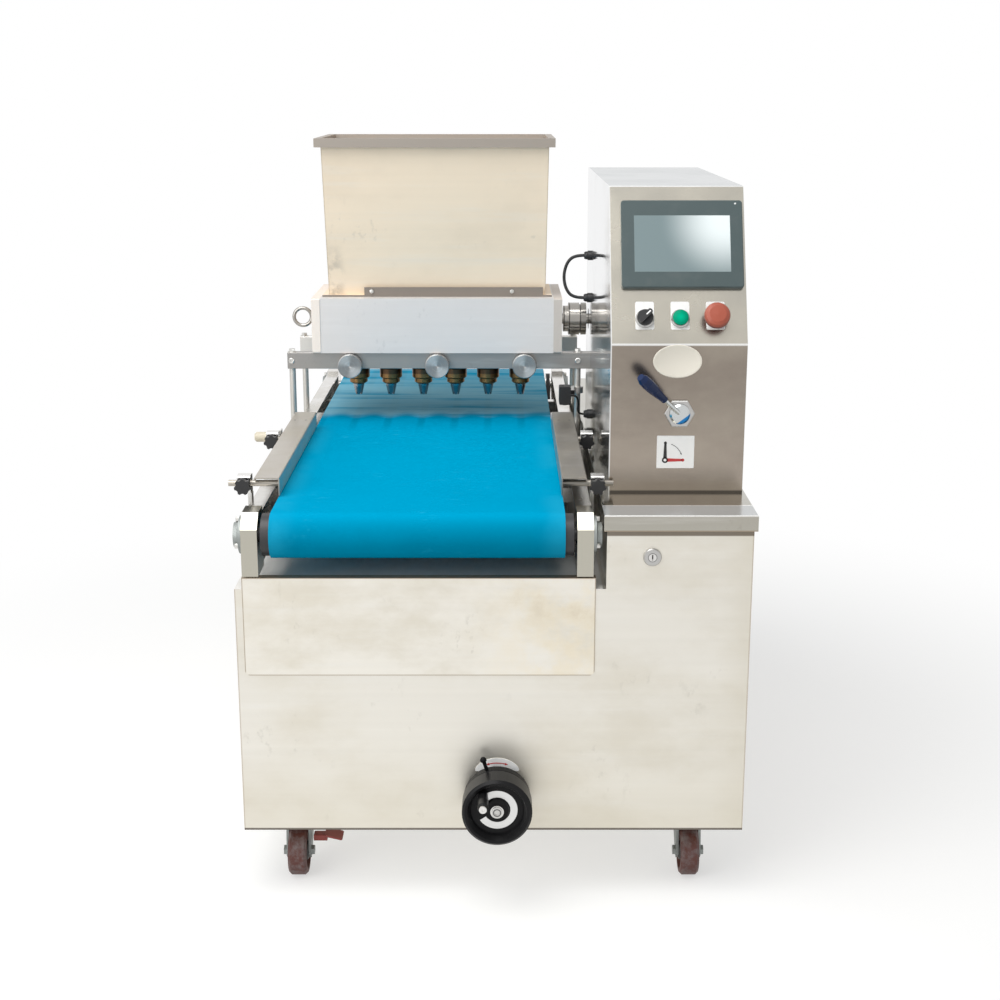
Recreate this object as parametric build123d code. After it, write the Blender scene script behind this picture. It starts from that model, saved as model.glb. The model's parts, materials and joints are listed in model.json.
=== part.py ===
"""Biscuit depositor: a belt table on a wheeled cabinet, under a hopper with feed rollers and nozzles.

Frame: +X to the operator's right, +Y away from the operator, +Z up.
The origin is on the floor, under the middle of the cabinet.  All sizes are millimetres.
"""
from build123d import *
from math import cos, hypot, pi, radians, sin, tan
import os

# Cabinet
CABINET_DEPTH = 1150.0
CABINET_BASE_Z = 115.0
DECK_Z = 515.0
RAISED_TOP_Z = 630.0
RAISED_WIDTH = 222.0
RAISED_GAP = 20.0
SHEET = 2.0
BASE_PLATE = 6.0
LID_SKIRT = 25.0
LID_GAP = 3.0
FRONT_PANEL_WIDTH = 538.0
FRONT_PANEL_INSET = 12.0
FRONT_PANEL_HEIGHT = 157.0
FRONT_PANEL_TOP_Z = 533.0
FRONT_PANEL_LIP = 14.0
FRONT_PANEL_CORNER = 8.0
ACCESS_MARGIN = 30.0

# Casters
WHEEL_RADIUS = 40.0
WHEEL_WIDTH = 30.0
WHEEL_CROWN = 4.0
TREAD_DEPTH = 9.0
CASTER_INSET_X = 75.0
CASTER_INSET_Y = 110.0
CASTER_TRAIL = 30.0
CASTER_PLATE = 6.0
CASTER_PLATE_X = 90.0
CASTER_PLATE_Y = 100.0
CASTER_HOLE_RADIUS = 4.5
CASTER_HOLE_X = 66.0
CASTER_HOLE_Y = 76.0
SWIVEL_RADIUS = 24.0
SWIVEL_HEIGHT = 14.0
FORK_SHEET = 4.0
FORK_TOE = 8.0
SWIVEL_RACE = 6.0
AXLE_RADIUS = 5.0
AXLE_HEAD_RADIUS = 8.5
AXLE_HEAD = 5.0
WHEEL_HUB_RADIUS = 15.0
WHEEL_DISH = 3.0

# Belt table
BELT_WIDTH = 446.0
BELT_TOP_Z = 631.0
BELT_THICKNESS = 2.7
DRUM_RADIUS = 32.5
DRUM_SHAFT_RADIUS = 10.0
DRUM_SHAFT_SHORT = 2.0
FRONT_DRUM_OVERHANG = 13.0
REAR_DRUM_OVERHANG = 2.0
FRONT_DRUM_INSET = 20.0
TAIL_OVERHANG = 125.0
BELT_TO_RAIL = 43.0
TABLE_INSET = 14.0
RAIL_FLANGE = 25.0
RAIL_SHEET = 3.0
RAIL_BOTTOM_Z = 545.0
RAIL_HEIGHT = 80.0
BRACKET_LENGTH = 62.0
BRACKET_REACH = 28.0
BRACKET_TOP_Z = 632.0
BRACKET_BOTTOM_Z = 537.0
BEARING_RADIUS = 29.0
BEARING_THICKNESS = 13.0
BRACKET_BEVEL = 22.0
CROSS_TUBES = 4
CROSS_TUBE = 24.0
CROSS_TUBE_WALL = 2.0
BED_SHEET = 2.0

# Table lift
LIFT_PLATE = 12.0
LIFT_PLATE_LENGTH = 400.0
GUIDE_POST_RADIUS = 10.0
GUIDE_POST_LENGTH = 210.0
GUIDE_POST_X = 150.0
GUIDE_POST_Y = 140.0
BUSH_RADIUS = 16.0
BUSH_FLANGE_RADIUS = 26.0
BUSH_FLANGE = 6.0
BUSH_LENGTH = 46.0
SCREW_RADIUS = 10.0
SCREW_TOP_Z = 535.0
SCREW_FOOT_GAP = 2.0
SCREW_BEVEL = 2.5
SCREW_ROOM = 2.0
NUT_RADIUS = 18.0
NUT_FLANGE_RADIUS = 30.0
NUT_FLANGE = 8.0
NUT_LENGTH = 70.0
NUT_CLEARANCE = 4.0
MITRE_TEETH = 16
MITRE_MODULE = 4.0
MITRE_FACE = 14.0
MITRE_HUB = 6.0
MITRE_HUB_RADIUS = 19.2
TOOTH_TIP = 0.75
TOOTH_TIP_SHARE = 0.12
TOOTH_ROOT_SHARE = 0.34

# Handwheel
HANDWHEEL_X = 6.0
HANDWHEEL_Z = 179.0
HANDWHEEL_RADIUS = 54.0
HANDWHEEL_DEPTH = 42.0
HANDWHEEL_RIM = 9.0
HANDWHEEL_STANDOFF = 34.0
HANDWHEEL_SHAFT_RADIUS = 9.0
SHAFT_CAP = 4.0
SHAFT_CAP_LIP = 1.35
SHAFT_CAP_PROUD = 9.0
HANDLE_RADIUS_AT = 33.0
HANDLE_ANGLE = 130.0
HANDLE_LENGTH = 52.0
HANDLE_NECK = 2.5
HANDLE_COLLAR = (1.5, 6.0)
HANDLE_SWELL_AT = 31.2
HANDLE_TOP = (0.5, 5.0)
HANDLE_END = 3.0
HANDLE_RADIUS = 9.0
HANDLE_PIN_RADIUS = 4.0
HANDLE_PIN_ROOT = 13.0
HANDLE_PIN_HEAD = 2.5
HANDLE_PIN_LIP = 1.8
HANDLE_PIN_SOCKET = 2.0
HANDLE_PIN_FLOOR = 1.0

# Fits
RUN = 0.05
CLEAR = 0.3
FREE = 1.0

# How far a cutting tool runs past the face that it leaves
PAST = 5.0


def block(x0, x1, y0, y1, z0, z1):
    """A box between two corners."""
    middle = Pos((x0 + x1) / 2, (y0 + y1) / 2, (z0 + z1) / 2)
    return middle * Box(abs(x1 - x0), abs(y1 - y0), abs(z1 - z0))


def rod(start, end, radius):
    """A round bar from one point to another, along a main axis or not."""
    line = Vector(*end) - Vector(*start)
    plane = Plane(origin=start, z_dir=line)
    return extrude(plane * Circle(radius), line.length)


def tube(start, end, radius, bore):
    """A round sleeve from one point to another."""
    return rod(start, end, radius) - rod(start, end, bore)


def prism_x(outline, x0, x1):
    """A (y, z) outline drawn out along X."""
    face = make_face(Polyline(*[(x0, y, z) for y, z in outline], close=True))
    return extrude(face, x1 - x0, dir=(1, 0, 0))


def prism_y(outline, y0, y1):
    """An (x, z) outline drawn out along Y."""
    face = make_face(Polyline(*[(x, y0, z) for x, z in outline], close=True))
    return extrude(face, y1 - y0, dir=(0, 1, 0))


def turned(profile, axis_plane):
    """A (radius, height) profile turned about the plane's own normal."""
    outline = make_face(Polyline(*[(r, 0, h) for r, h in profile], close=True))
    return axis_plane * revolve(outline, Axis.Z, 360)


def group(solids):
    """Separate like pieces kept in one node."""
    return Compound(children=list(solids))


# Cabinet
TABLE_HALF_WIDTH = BELT_WIDTH / 2 + BELT_TO_RAIL
CABINET_WIDTH = TABLE_INSET + 2 * TABLE_HALF_WIDTH + RAISED_GAP + RAISED_WIDTH
HALF_WIDTH = CABINET_WIDTH / 2
FRONT_Y = -CABINET_DEPTH / 2
BACK_Y = CABINET_DEPTH / 2
TABLE_LEFT_X = -HALF_WIDTH + TABLE_INSET
BELT_CENTRE_X = TABLE_LEFT_X + TABLE_HALF_WIDTH
TABLE_RIGHT_X = BELT_CENTRE_X + TABLE_HALF_WIDTH
RAISED_LEFT_X = TABLE_RIGHT_X + RAISED_GAP
FRONT_PANEL_X = -HALF_WIDTH + FRONT_PANEL_INSET + FRONT_PANEL_WIDTH / 2
LOCK_INSET = 69.0
LOCK_X = RAISED_LEFT_X + LOCK_INSET
LOCK_Z = 566.0
LOCK_RADIUS = 11.0
LOCK_SLEEVE = 22.0
LOCK_FLANGE_RADIUS = 14.0
LOCK_FLANGE = 5.0
LOCK_FLANGE_EDGE = 3.0
LOCK_FLANGE_BEVEL = 1.5
LOCK_BARREL_RADIUS = 7.0
LOCK_BARREL = 30.0
KEY_SLOT = (2.0, 9.0, 8.0)
CAM_HALF = 8.0
CAM_REACH = 34.0
CAM_BACK = 29.0
CAM_SHEET = 3.0
VENT_COUNT = 8
VENT_WIDTH = 120.0
VENT_HEIGHT = 6.0
VENT_PITCH = 18.0
VENT_TOP_Z = 330.0
VENT_X = 215.0
DRIVE_NOTCH_DROP = 45.0


def deck_sheets():
    """Deck under the table, with the bushes' and nut's holes, and a slot at the back for the belt motor."""
    y0, y1 = FRONT_Y + SHEET, BACK_Y - SHEET
    slot_x0, slot_x1, slot_y0 = MOTOR_SLOT
    level = (DECK_Z - SHEET, DECK_Z)
    deck = block(-HALF_WIDTH, RAISED_LEFT_X, y0, slot_y0, *level)
    for x, y in GUIDE_SPOTS:
        deck -= rod((x, y, DECK_Z - 2 * SHEET), (x, y, DECK_Z + SHEET), BUSH_RADIUS)
    nut_top = (HANDWHEEL_X, 0, DECK_Z + SHEET)
    deck -= rod((HANDWHEEL_X, 0, DECK_Z - 2 * SHEET), nut_top, NUT_FLANGE_RADIUS + NUT_CLEARANCE)
    left = block(-HALF_WIDTH, slot_x0, slot_y0, y1, *level)
    right = block(slot_x1, RAISED_LEFT_X, slot_y0, y1, *level)
    return [deck, left, right]


def front_sheets():
    """Low front sheet, cut out behind the front panel, and the raised side's front sheet."""
    y = (FRONT_Y, FRONT_Y + SHEET)
    low = block(-HALF_WIDTH, HALF_WIDTH, *y, CABINET_BASE_Z, DECK_Z)
    low -= block(
        FRONT_PANEL_X - FRONT_PANEL_WIDTH / 2 + ACCESS_MARGIN,
        FRONT_PANEL_X + FRONT_PANEL_WIDTH / 2 - ACCESS_MARGIN,
        FRONT_Y - SHEET,
        FRONT_Y + 2 * SHEET,
        FRONT_PANEL_TOP_Z - FRONT_PANEL_HEIGHT + ACCESS_MARGIN,
        DECK_Z - ACCESS_MARGIN,
    )
    wheel_hole = (HANDWHEEL_X, FRONT_Y + 2 * SHEET, HANDWHEEL_Z)
    low -= rod((HANDWHEEL_X, FRONT_Y - SHEET, HANDWHEEL_Z), wheel_hole, FLANGE_BORE)
    raised = block(RAISED_LEFT_X, HALF_WIDTH, *y, DECK_Z, RAISED_TOP_Z)
    lock_hole = (LOCK_X, FRONT_Y + 2 * SHEET, LOCK_Z)
    return [low, raised - rod((LOCK_X, FRONT_Y - SHEET, LOCK_Z), lock_hole, LOCK_RADIUS)]


def back_sheets():
    """Vented back sheets, with a notch between them for the drive belt, and the raised side's back sheet."""
    y = (BACK_Y - SHEET, BACK_Y)
    notch_x0, notch_x1 = DRIVE_X - DRIVE_ROOM, DRIVE_X + DRIVE_ROOM
    left = block(-HALF_WIDTH, notch_x0, *y, CABINET_BASE_Z, DECK_Z)
    right = block(notch_x1, HALF_WIDTH, *y, CABINET_BASE_Z, DECK_Z)
    under = block(notch_x0, notch_x1, *y, CABINET_BASE_Z, DECK_Z - DRIVE_NOTCH_DROP)
    raised = block(RAISED_LEFT_X, HALF_WIDTH, *y, DECK_Z, RAISED_TOP_Z)
    for row in range(VENT_COUNT):
        z = VENT_TOP_Z - row * VENT_PITCH
        vent = Pos(0, BACK_Y, z - VENT_HEIGHT / 2) * Box(VENT_WIDTH, 4 * SHEET, VENT_HEIGHT)
        left -= Pos(-VENT_X, 0, 0) * vent
        right -= Pos(VENT_X, 0, 0) * vent
    return [left, right, under, raised]


def side_sheets():
    """Left and right walls, and the raised side's own wall and top."""
    y = (FRONT_Y + SHEET, BACK_Y - SHEET)
    left = block(-HALF_WIDTH, -HALF_WIDTH + SHEET, *y, CABINET_BASE_Z, DECK_Z - SHEET)
    right = block(HALF_WIDTH - SHEET, HALF_WIDTH, *y, CABINET_BASE_Z, RAISED_TOP_Z - SHEET)
    step = block(RAISED_LEFT_X, RAISED_LEFT_X + SHEET, *y, DECK_Z - SHEET, RAISED_TOP_Z - SHEET)
    top = block(RAISED_LEFT_X, HALF_WIDTH, *y, RAISED_TOP_Z - SHEET, RAISED_TOP_Z)
    return [left, right, step, top]


def cabinet_shell():
    """Cabinet welded from flat sheets: a low deck under the table, a raised side and a floor."""
    return group([*deck_sheets(), *front_sheets(), *back_sheets(), *side_sheets(), base_plate()])


def base_plate():
    """Welded floor of the cabinet, which carries the casters and the lift bearing."""
    return block(
        -HALF_WIDTH + SHEET,
        HALF_WIDTH - SHEET,
        FRONT_Y + SHEET,
        BACK_Y - SHEET,
        CABINET_BASE_Z,
        CABINET_BASE_Z + BASE_PLATE,
    )


def lid():
    """Folded lid over the raised side, with a skirt all round."""
    out = LID_GAP + SHEET
    cover = block(
        RAISED_LEFT_X - out, HALF_WIDTH + out, FRONT_Y - out, BACK_Y + out,
        RAISED_TOP_Z + SHEET - LID_SKIRT, RAISED_TOP_Z + SHEET,
    )
    cover = fillet(cover.edges().group_by(Axis.Z)[-1], SHEET)
    cover -= block(
        RAISED_LEFT_X - LID_GAP, HALF_WIDTH + LID_GAP, FRONT_Y - LID_GAP, BACK_Y + LID_GAP,
        RAISED_TOP_Z - LID_SKIRT - SHEET, RAISED_TOP_Z,
    )
    return cover


def front_panel():
    """Screwed cover under the belt's front end, with a lip folded back along its top."""
    x0 = FRONT_PANEL_X - FRONT_PANEL_WIDTH / 2
    x1 = FRONT_PANEL_X + FRONT_PANEL_WIDTH / 2
    z0 = FRONT_PANEL_TOP_Z - FRONT_PANEL_HEIGHT
    panel = block(x0, x1, FRONT_Y - SHEET, FRONT_Y, z0, FRONT_PANEL_TOP_Z)
    panel = fillet(panel.edges().filter_by(Axis.Y).group_by(Axis.Z)[0], FRONT_PANEL_CORNER)
    lip = block(x0, x1, FRONT_Y, FRONT_Y + FRONT_PANEL_LIP, FRONT_PANEL_TOP_Z - SHEET, FRONT_PANEL_TOP_Z)
    return panel + lip


# Casters: the front pair swivels and the rear pair is fixed
CASTER_X = HALF_WIDTH - CASTER_INSET_X
CASTER_Y = CABINET_DEPTH / 2 - CASTER_INSET_Y
CASTERS = {
    "front_left": (-CASTER_X, -CASTER_Y),
    "front_right": (CASTER_X, -CASTER_Y),
    "rear_left": (-CASTER_X, CASTER_Y),
    "rear_right": (CASTER_X, CASTER_Y),
}
SWIVEL_CASTERS = ("front_left", "front_right")
FIXED_CASTERS = ("rear_left", "rear_right")
PLATE_BOTTOM_Z = CABINET_BASE_Z - CASTER_PLATE
FORK_TOP_Z = PLATE_BOTTOM_Z - SWIVEL_HEIGHT


def caster_plate(x, y):
    """Top plate with its bolt holes and the fixed race of the swivel."""
    plate = Pos(x, y, PLATE_BOTTOM_Z + CASTER_PLATE / 2) * Box(CASTER_PLATE_X, CASTER_PLATE_Y, CASTER_PLATE)
    plate = fillet(plate.edges().filter_by(Axis.Z), 2 * CASTER_HOLE_RADIUS)
    holes = GridLocations(CASTER_HOLE_X, CASTER_HOLE_Y, 2, 2)
    hole = Cylinder(CASTER_HOLE_RADIUS, 4 * CASTER_PLATE)
    plate -= [Pos(x, y, PLATE_BOTTOM_Z) * spot * hole for spot in holes]
    race_top = (x, y, PLATE_BOTTOM_Z)
    race_bottom = (x, y, FORK_TOP_Z + CLEAR)
    return plate + tube(race_top, race_bottom, SWIVEL_RADIUS, SWIVEL_RADIUS - SWIVEL_RACE)


def trail_way(y):
    """Each wheel trails outwards: -1 towards the operator at the front, 1 away at the back."""
    return -1 if y < 0 else 1


def axle_y(y):
    """Where a caster's axle trails to."""
    return y + trail_way(y) * CASTER_TRAIL


def caster_fork(x, y):
    """Pressed fork: a crown under the race, a king post in it and two legs down to the axle."""
    way = trail_way(y)
    inner = WHEEL_WIDTH / 2 + FREE
    outer = inner + FORK_SHEET
    heel = y - way * SWIVEL_RADIUS
    toe = y + way * (SWIVEL_RADIUS + FORK_TOE)
    eye_y = axle_y(y)
    leg = [
        (heel, FORK_TOP_Z),
        (toe, FORK_TOP_Z),
        (eye_y + way * 2.4 * AXLE_RADIUS, WHEEL_RADIUS - 0.8 * AXLE_RADIUS),
        (eye_y + way * 0.8 * AXLE_RADIUS, WHEEL_RADIUS - 2.4 * AXLE_RADIUS),
        (eye_y - way * 1.6 * AXLE_RADIUS, WHEEL_RADIUS - 2 * AXLE_RADIUS),
        (heel, FORK_TOP_Z - 3 * FORK_SHEET),
    ]
    fork = prism_x(leg, x - outer, x - inner) + prism_x(leg, x + inner, x + outer)
    fork += block(x - outer, x + outer, heel, toe, FORK_TOP_Z - FORK_SHEET, FORK_TOP_Z)
    fork += rod((x, y, FORK_TOP_Z), (x, y, PLATE_BOTTOM_Z - CLEAR), SWIVEL_RADIUS - SWIVEL_RACE - RUN)
    return fork - rod((x - 2 * outer, eye_y, WHEEL_RADIUS), (x + 2 * outer, eye_y, WHEEL_RADIUS), AXLE_RADIUS)


def caster_axle(x, y):
    """Axle bolt with a head and a nut outside the fork."""
    outer = WHEEL_WIDTH / 2 + FREE + FORK_SHEET
    eye_y = axle_y(y)
    bolt = rod((x - outer, eye_y, WHEEL_RADIUS), (x + outer, eye_y, WHEEL_RADIUS), AXLE_RADIUS)
    for side in (-1, 1):
        head = Plane(origin=(x + side * outer, eye_y, WHEEL_RADIUS), z_dir=(side, 0, 0))
        bolt += extrude(head * RegularPolygon(AXLE_HEAD_RADIUS, 6), AXLE_HEAD)
    return bolt


def caster_mounts():
    """All four top plates, with the forks and axles of the fixed casters."""
    pieces = [caster_plate(x, y) for x, y in CASTERS.values()]
    for name in FIXED_CASTERS:
        pieces += [caster_fork(*CASTERS[name]), caster_axle(*CASTERS[name])]
    return group(pieces)


def caster_wheel(x, y):
    """Wheel turned in one piece: a crowned tread, dished sides and a hub."""
    half = WHEEL_WIDTH / 2
    rim = WHEEL_RADIUS - TREAD_DEPTH
    hub = WHEEL_HUB_RADIUS
    profile = [
        (AXLE_RADIUS + RUN, -half),
        (hub, -half),
        (hub + WHEEL_DISH, -half / 2),
        (rim - WHEEL_DISH, -half / 2),
        (rim, -half),
        (WHEEL_RADIUS - WHEEL_CROWN, -half),
        (WHEEL_RADIUS, -half + WHEEL_CROWN),
        (WHEEL_RADIUS, half - WHEEL_CROWN),
        (WHEEL_RADIUS - WHEEL_CROWN, half),
        (rim, half),
        (rim - WHEEL_DISH, half / 2),
        (hub + WHEEL_DISH, half / 2),
        (hub, half),
        (AXLE_RADIUS + RUN, half),
    ]
    return turned(profile, Plane(origin=(x, axle_y(y), WHEEL_RADIUS), z_dir=(1, 0, 0)))


# Belt table, whose left side is -1 and right side is 1
SIDES = {"left": -1, "right": 1}
DRUM_Z = BELT_TOP_Z - BELT_THICKNESS - CLEAR - DRUM_RADIUS
FRONT_DRUM_Y = FRONT_Y + FRONT_DRUM_INSET
REAR_DRUM_Y = BACK_Y + TAIL_OVERHANG
RAIL_INNER = TABLE_HALF_WIDTH - RAIL_FLANGE
BED_TOP_Z = DRUM_Z + DRUM_RADIUS
BED_GAP = 8.0
BED_INSET = 4.0
DRIVE_PULLEY_RADIUS = 22.0
DRIVE_FLANGE_RADIUS = 26.0
DRIVE_BELT_WIDTH = 8.0
DRIVE_BELT_THICKNESS = 3.0
DRIVE_FLANGE = 1.5
DRIVE_OFFSET = 10.3
DRIVE_ROOM = 15.0
DRIVE_X = BELT_CENTRE_X + BELT_WIDTH / 2 + DRIVE_OFFSET
MOTOR_INSET = 75.0
MOTOR_Y = BACK_Y - MOTOR_INSET
MOTOR_Z = 468.0
MOTOR_RADIUS = 40.0
MOTOR_LENGTH = 150.0
MOTOR_PLATE = 6.0
MOTOR_PLATE_WIDTH = 110.0
MOTOR_SHAFT_RADIUS = 8.0
MOTOR_SHAFT_PAST = 2.0
MOTOR_BORE = 30.0
MOTOR_GEARBOX = 40.0
MOTOR_GROOVE_AT = 22.0
MOTOR_GROOVE = 4.0
MOTOR_GROOVE_DEPTH = 2.0
MOTOR_PLATE_DROP = 8.0
MOTOR_HOLE_ROOM = 2.0
MOTOR_FACE_GAP = 20.0
PULLEY_ROOM = 4.0
PULLEY_SLOT = 16.0
BELT_SLOT = 18.0
MOTOR_FACE_X = DRIVE_X - MOTOR_FACE_GAP
MOTOR_ROOM = 20.0
MOTOR_SLOT = (
    MOTOR_FACE_X - MOTOR_LENGTH - MOTOR_ROOM, DRIVE_X + DRIVE_ROOM,
    MOTOR_Y - MOTOR_PLATE_WIDTH / 2 - MOTOR_ROOM,
)


def table_x(side, offset):
    """A place measured outwards from the belt's centre line."""
    return BELT_CENTRE_X + side * offset


def drum_y(end):
    """The front drum's place for -1 and the rear drum's for 1."""
    return FRONT_DRUM_Y if end < 0 else REAR_DRUM_Y


def bracket_tip_y(end):
    """Outer end of the bearing brackets."""
    return drum_y(end) + end * BRACKET_REACH


def bracket_root_y(end):
    """Inner end of the bearing brackets, where the rails start."""
    return bracket_tip_y(end) - end * BRACKET_LENGTH


def belt():
    """Endless belt round both drums."""
    middle_y = (FRONT_DRUM_Y + REAR_DRUM_Y) / 2
    plane = Plane(origin=(table_x(-1, BELT_WIDTH / 2), middle_y, DRUM_Z), x_dir=(0, 1, 0), z_dir=(1, 0, 0))
    inner = DRUM_RADIUS + CLEAR
    span = REAR_DRUM_Y - FRONT_DRUM_Y
    loop = SlotCenterToCenter(span, 2 * (inner + BELT_THICKNESS)) - SlotCenterToCenter(span, 2 * inner)
    return extrude(plane * loop, BELT_WIDTH)


def drum(y, overhang):
    """Belt drum, a little wider than the belt, with its shaft through both bearings."""
    half = BELT_WIDTH / 2 + overhang
    shell = rod((table_x(-1, half), y, DRUM_Z), (table_x(1, half), y, DRUM_Z), DRUM_RADIUS)
    reach = TABLE_HALF_WIDTH + BEARING_THICKNESS - DRUM_SHAFT_SHORT
    return shell + rod((table_x(-1, reach), y, DRUM_Z), (table_x(1, reach), y, DRUM_Z), DRUM_SHAFT_RADIUS)


def table_rail(side):
    """Folded channel along one side of the table, open towards the belt."""
    web_out = table_x(side, TABLE_HALF_WIDTH)
    flange_in = table_x(side, RAIL_INNER)
    web_in = table_x(side, TABLE_HALF_WIDTH - RAIL_SHEET)
    z1 = RAIL_BOTTOM_Z + RAIL_HEIGHT
    y = (bracket_root_y(-1), bracket_root_y(1))
    rail = block(web_out, flange_in, *y, RAIL_BOTTOM_Z, z1)
    return rail - block(web_in, flange_in, *y, RAIL_BOTTOM_Z + RAIL_SHEET, z1 - RAIL_SHEET)


def end_bracket(side, end):
    """Bearing bracket that closes a rail's end, bevelled at its outer top corner."""
    tip, root = bracket_tip_y(end), bracket_root_y(end)
    outline = [
        (tip, BRACKET_BOTTOM_Z),
        (root, BRACKET_BOTTOM_Z),
        (root, BRACKET_TOP_Z),
        (tip - end * BRACKET_BEVEL, BRACKET_TOP_Z),
        (tip, BRACKET_TOP_Z - BRACKET_BEVEL),
    ]
    x0, x1 = sorted((table_x(side, RAIL_INNER), table_x(side, TABLE_HALF_WIDTH)))
    y = drum_y(end)
    bracket = prism_x(outline, x0, x1)
    return bracket - rod((x0 - PAST, y, DRUM_Z), (x1 + PAST, y, DRUM_Z), DRUM_SHAFT_RADIUS + FREE)


def drum_bearing(side, end):
    """Round flanged bearing outside a bracket."""
    y = drum_y(end)
    face = Plane(origin=(table_x(side, TABLE_HALF_WIDTH), y, DRUM_Z), z_dir=(side, 0, 0))
    profile = [
        (DRUM_SHAFT_RADIUS + RUN, 0),
        (BEARING_RADIUS, 0),
        (BEARING_RADIUS, BEARING_THICKNESS / 3),
        (BEARING_RADIUS * 0.72, BEARING_THICKNESS * 0.5),
        (BEARING_RADIUS * 0.66, BEARING_THICKNESS),
        (DRUM_SHAFT_RADIUS + RUN, BEARING_THICKNESS),
    ]
    return turned(profile, face)


def cross_tube(y):
    """Square tube between the rails, inside the belt's loop."""
    half = CROSS_TUBE / 2
    hollow = half - CROSS_TUBE_WALL
    x0 = table_x(-1, TABLE_HALF_WIDTH - RAIL_SHEET)
    x1 = table_x(1, TABLE_HALF_WIDTH - RAIL_SHEET)
    outer = block(x0, x1, y - half, y + half, DRUM_Z - half, DRUM_Z + half)
    return outer - block(x0, x1, y - hollow, y + hollow, DRUM_Z - hollow, DRUM_Z + hollow)


def belt_bed():
    """Folded slider bed under the belt's top run, standing on the cross tubes."""
    half = BELT_WIDTH / 2 - BED_INSET
    y = (FRONT_DRUM_Y + DRUM_RADIUS + BED_GAP, REAR_DRUM_Y - DRUM_RADIUS - BED_GAP)
    foot = DRUM_Z + CROSS_TUBE / 2
    bed = block(table_x(-1, half), table_x(1, half), *y, foot, BED_TOP_Z)
    inner = half - BED_SHEET
    return bed - block(table_x(-1, inner), table_x(1, inner), *y, foot, BED_TOP_Z - BED_SHEET)


def pulley(y, z, shaft):
    """Flanged pulley of the belt drive."""
    half = DRIVE_BELT_WIDTH / 2 + CLEAR
    side = half + DRIVE_FLANGE
    profile = [
        (shaft, -side),
        (DRIVE_FLANGE_RADIUS, -side),
        (DRIVE_FLANGE_RADIUS, -half),
        (DRIVE_PULLEY_RADIUS, -half),
        (DRIVE_PULLEY_RADIUS, half),
        (DRIVE_FLANGE_RADIUS, half),
        (DRIVE_FLANGE_RADIUS, side),
        (shaft, side),
    ]
    return turned(profile, Plane(origin=(DRIVE_X, y, z), z_dir=(1, 0, 0)))


def drive_belt():
    """Flat drive belt between the motor's pulley and the rear drum's."""
    dy = REAR_DRUM_Y - MOTOR_Y
    dz = DRUM_Z - MOTOR_Z
    middle = (DRIVE_X - DRIVE_BELT_WIDTH / 2, MOTOR_Y + dy / 2, MOTOR_Z + dz / 2)
    plane = Plane(origin=middle, x_dir=(0, dy, dz), z_dir=(1, 0, 0))
    inner = DRIVE_PULLEY_RADIUS + CLEAR
    span = hypot(dy, dz)
    loop = SlotCenterToCenter(span, 2 * (inner + DRIVE_BELT_THICKNESS)) - SlotCenterToCenter(span, 2 * inner)
    return extrude(plane * loop, DRIVE_BELT_WIDTH)


def belt_motor():
    """Gear motor hung beside its plate, with a square gearbox and a groove round its cowl."""
    end_x = MOTOR_FACE_X - MOTOR_LENGTH
    body = rod((end_x, MOTOR_Y, MOTOR_Z), (MOTOR_FACE_X, MOTOR_Y, MOTOR_Z), MOTOR_RADIUS)
    gearbox = block(
        MOTOR_FACE_X - MOTOR_GEARBOX, MOTOR_FACE_X,
        MOTOR_Y - MOTOR_RADIUS, MOTOR_Y + MOTOR_RADIUS, MOTOR_Z - MOTOR_RADIUS, MOTOR_Z + MOTOR_RADIUS,
    )
    groove_start = (end_x + MOTOR_GROOVE_AT, MOTOR_Y, MOTOR_Z)
    groove_end = (end_x + MOTOR_GROOVE_AT + MOTOR_GROOVE, MOTOR_Y, MOTOR_Z)
    groove = tube(groove_start, groove_end, 2 * MOTOR_RADIUS, MOTOR_RADIUS - MOTOR_GROOVE_DEPTH)
    bore_start = (MOTOR_FACE_X - MOTOR_BORE, MOTOR_Y, MOTOR_Z)
    bore = rod(bore_start, (MOTOR_FACE_X, MOTOR_Y, MOTOR_Z), MOTOR_SHAFT_RADIUS + RUN)
    return body + gearbox - groove - bore


def motor_bracket():
    """Plate and foot that hang the motor from the right rail."""
    y0 = MOTOR_Y - MOTOR_PLATE_WIDTH / 2
    y1 = MOTOR_Y + MOTOR_PLATE_WIDTH / 2
    plate_z0 = MOTOR_Z - MOTOR_RADIUS - MOTOR_PLATE_DROP
    plate = block(MOTOR_FACE_X, MOTOR_FACE_X + MOTOR_PLATE, y0, y1, plate_z0, RAIL_BOTTOM_Z)
    foot = block(MOTOR_FACE_X, TABLE_RIGHT_X, y0, y1, RAIL_BOTTOM_Z - MOTOR_PLATE, RAIL_BOTTOM_Z)
    room = DRIVE_FLANGE_RADIUS + PULLEY_ROOM
    path_start = (DRIVE_X - PULLEY_SLOT / 2, MOTOR_Y, MOTOR_Z)
    path = rod(path_start, (DRIVE_X + PULLEY_SLOT / 2, MOTOR_Y, MOTOR_Z), room)
    dy = REAR_DRUM_Y - MOTOR_Y
    dz = DRUM_Z - MOTOR_Z
    middle = (DRIVE_X - BELT_SLOT / 2, MOTOR_Y + dy / 2, MOTOR_Z + dz / 2)
    slot_plane = Plane(origin=middle, x_dir=(0, dy, dz), z_dir=(1, 0, 0))
    belt_slot = extrude(slot_plane * SlotCenterToCenter(hypot(dy, dz), 2 * room), BELT_SLOT)
    hole_start = (MOTOR_FACE_X - PAST, MOTOR_Y, MOTOR_Z)
    hole = rod(hole_start, (DRIVE_X, MOTOR_Y, MOTOR_Z), MOTOR_SHAFT_RADIUS + MOTOR_HOLE_ROOM)
    return plate - hole + (foot - belt_slot - path)


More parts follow.
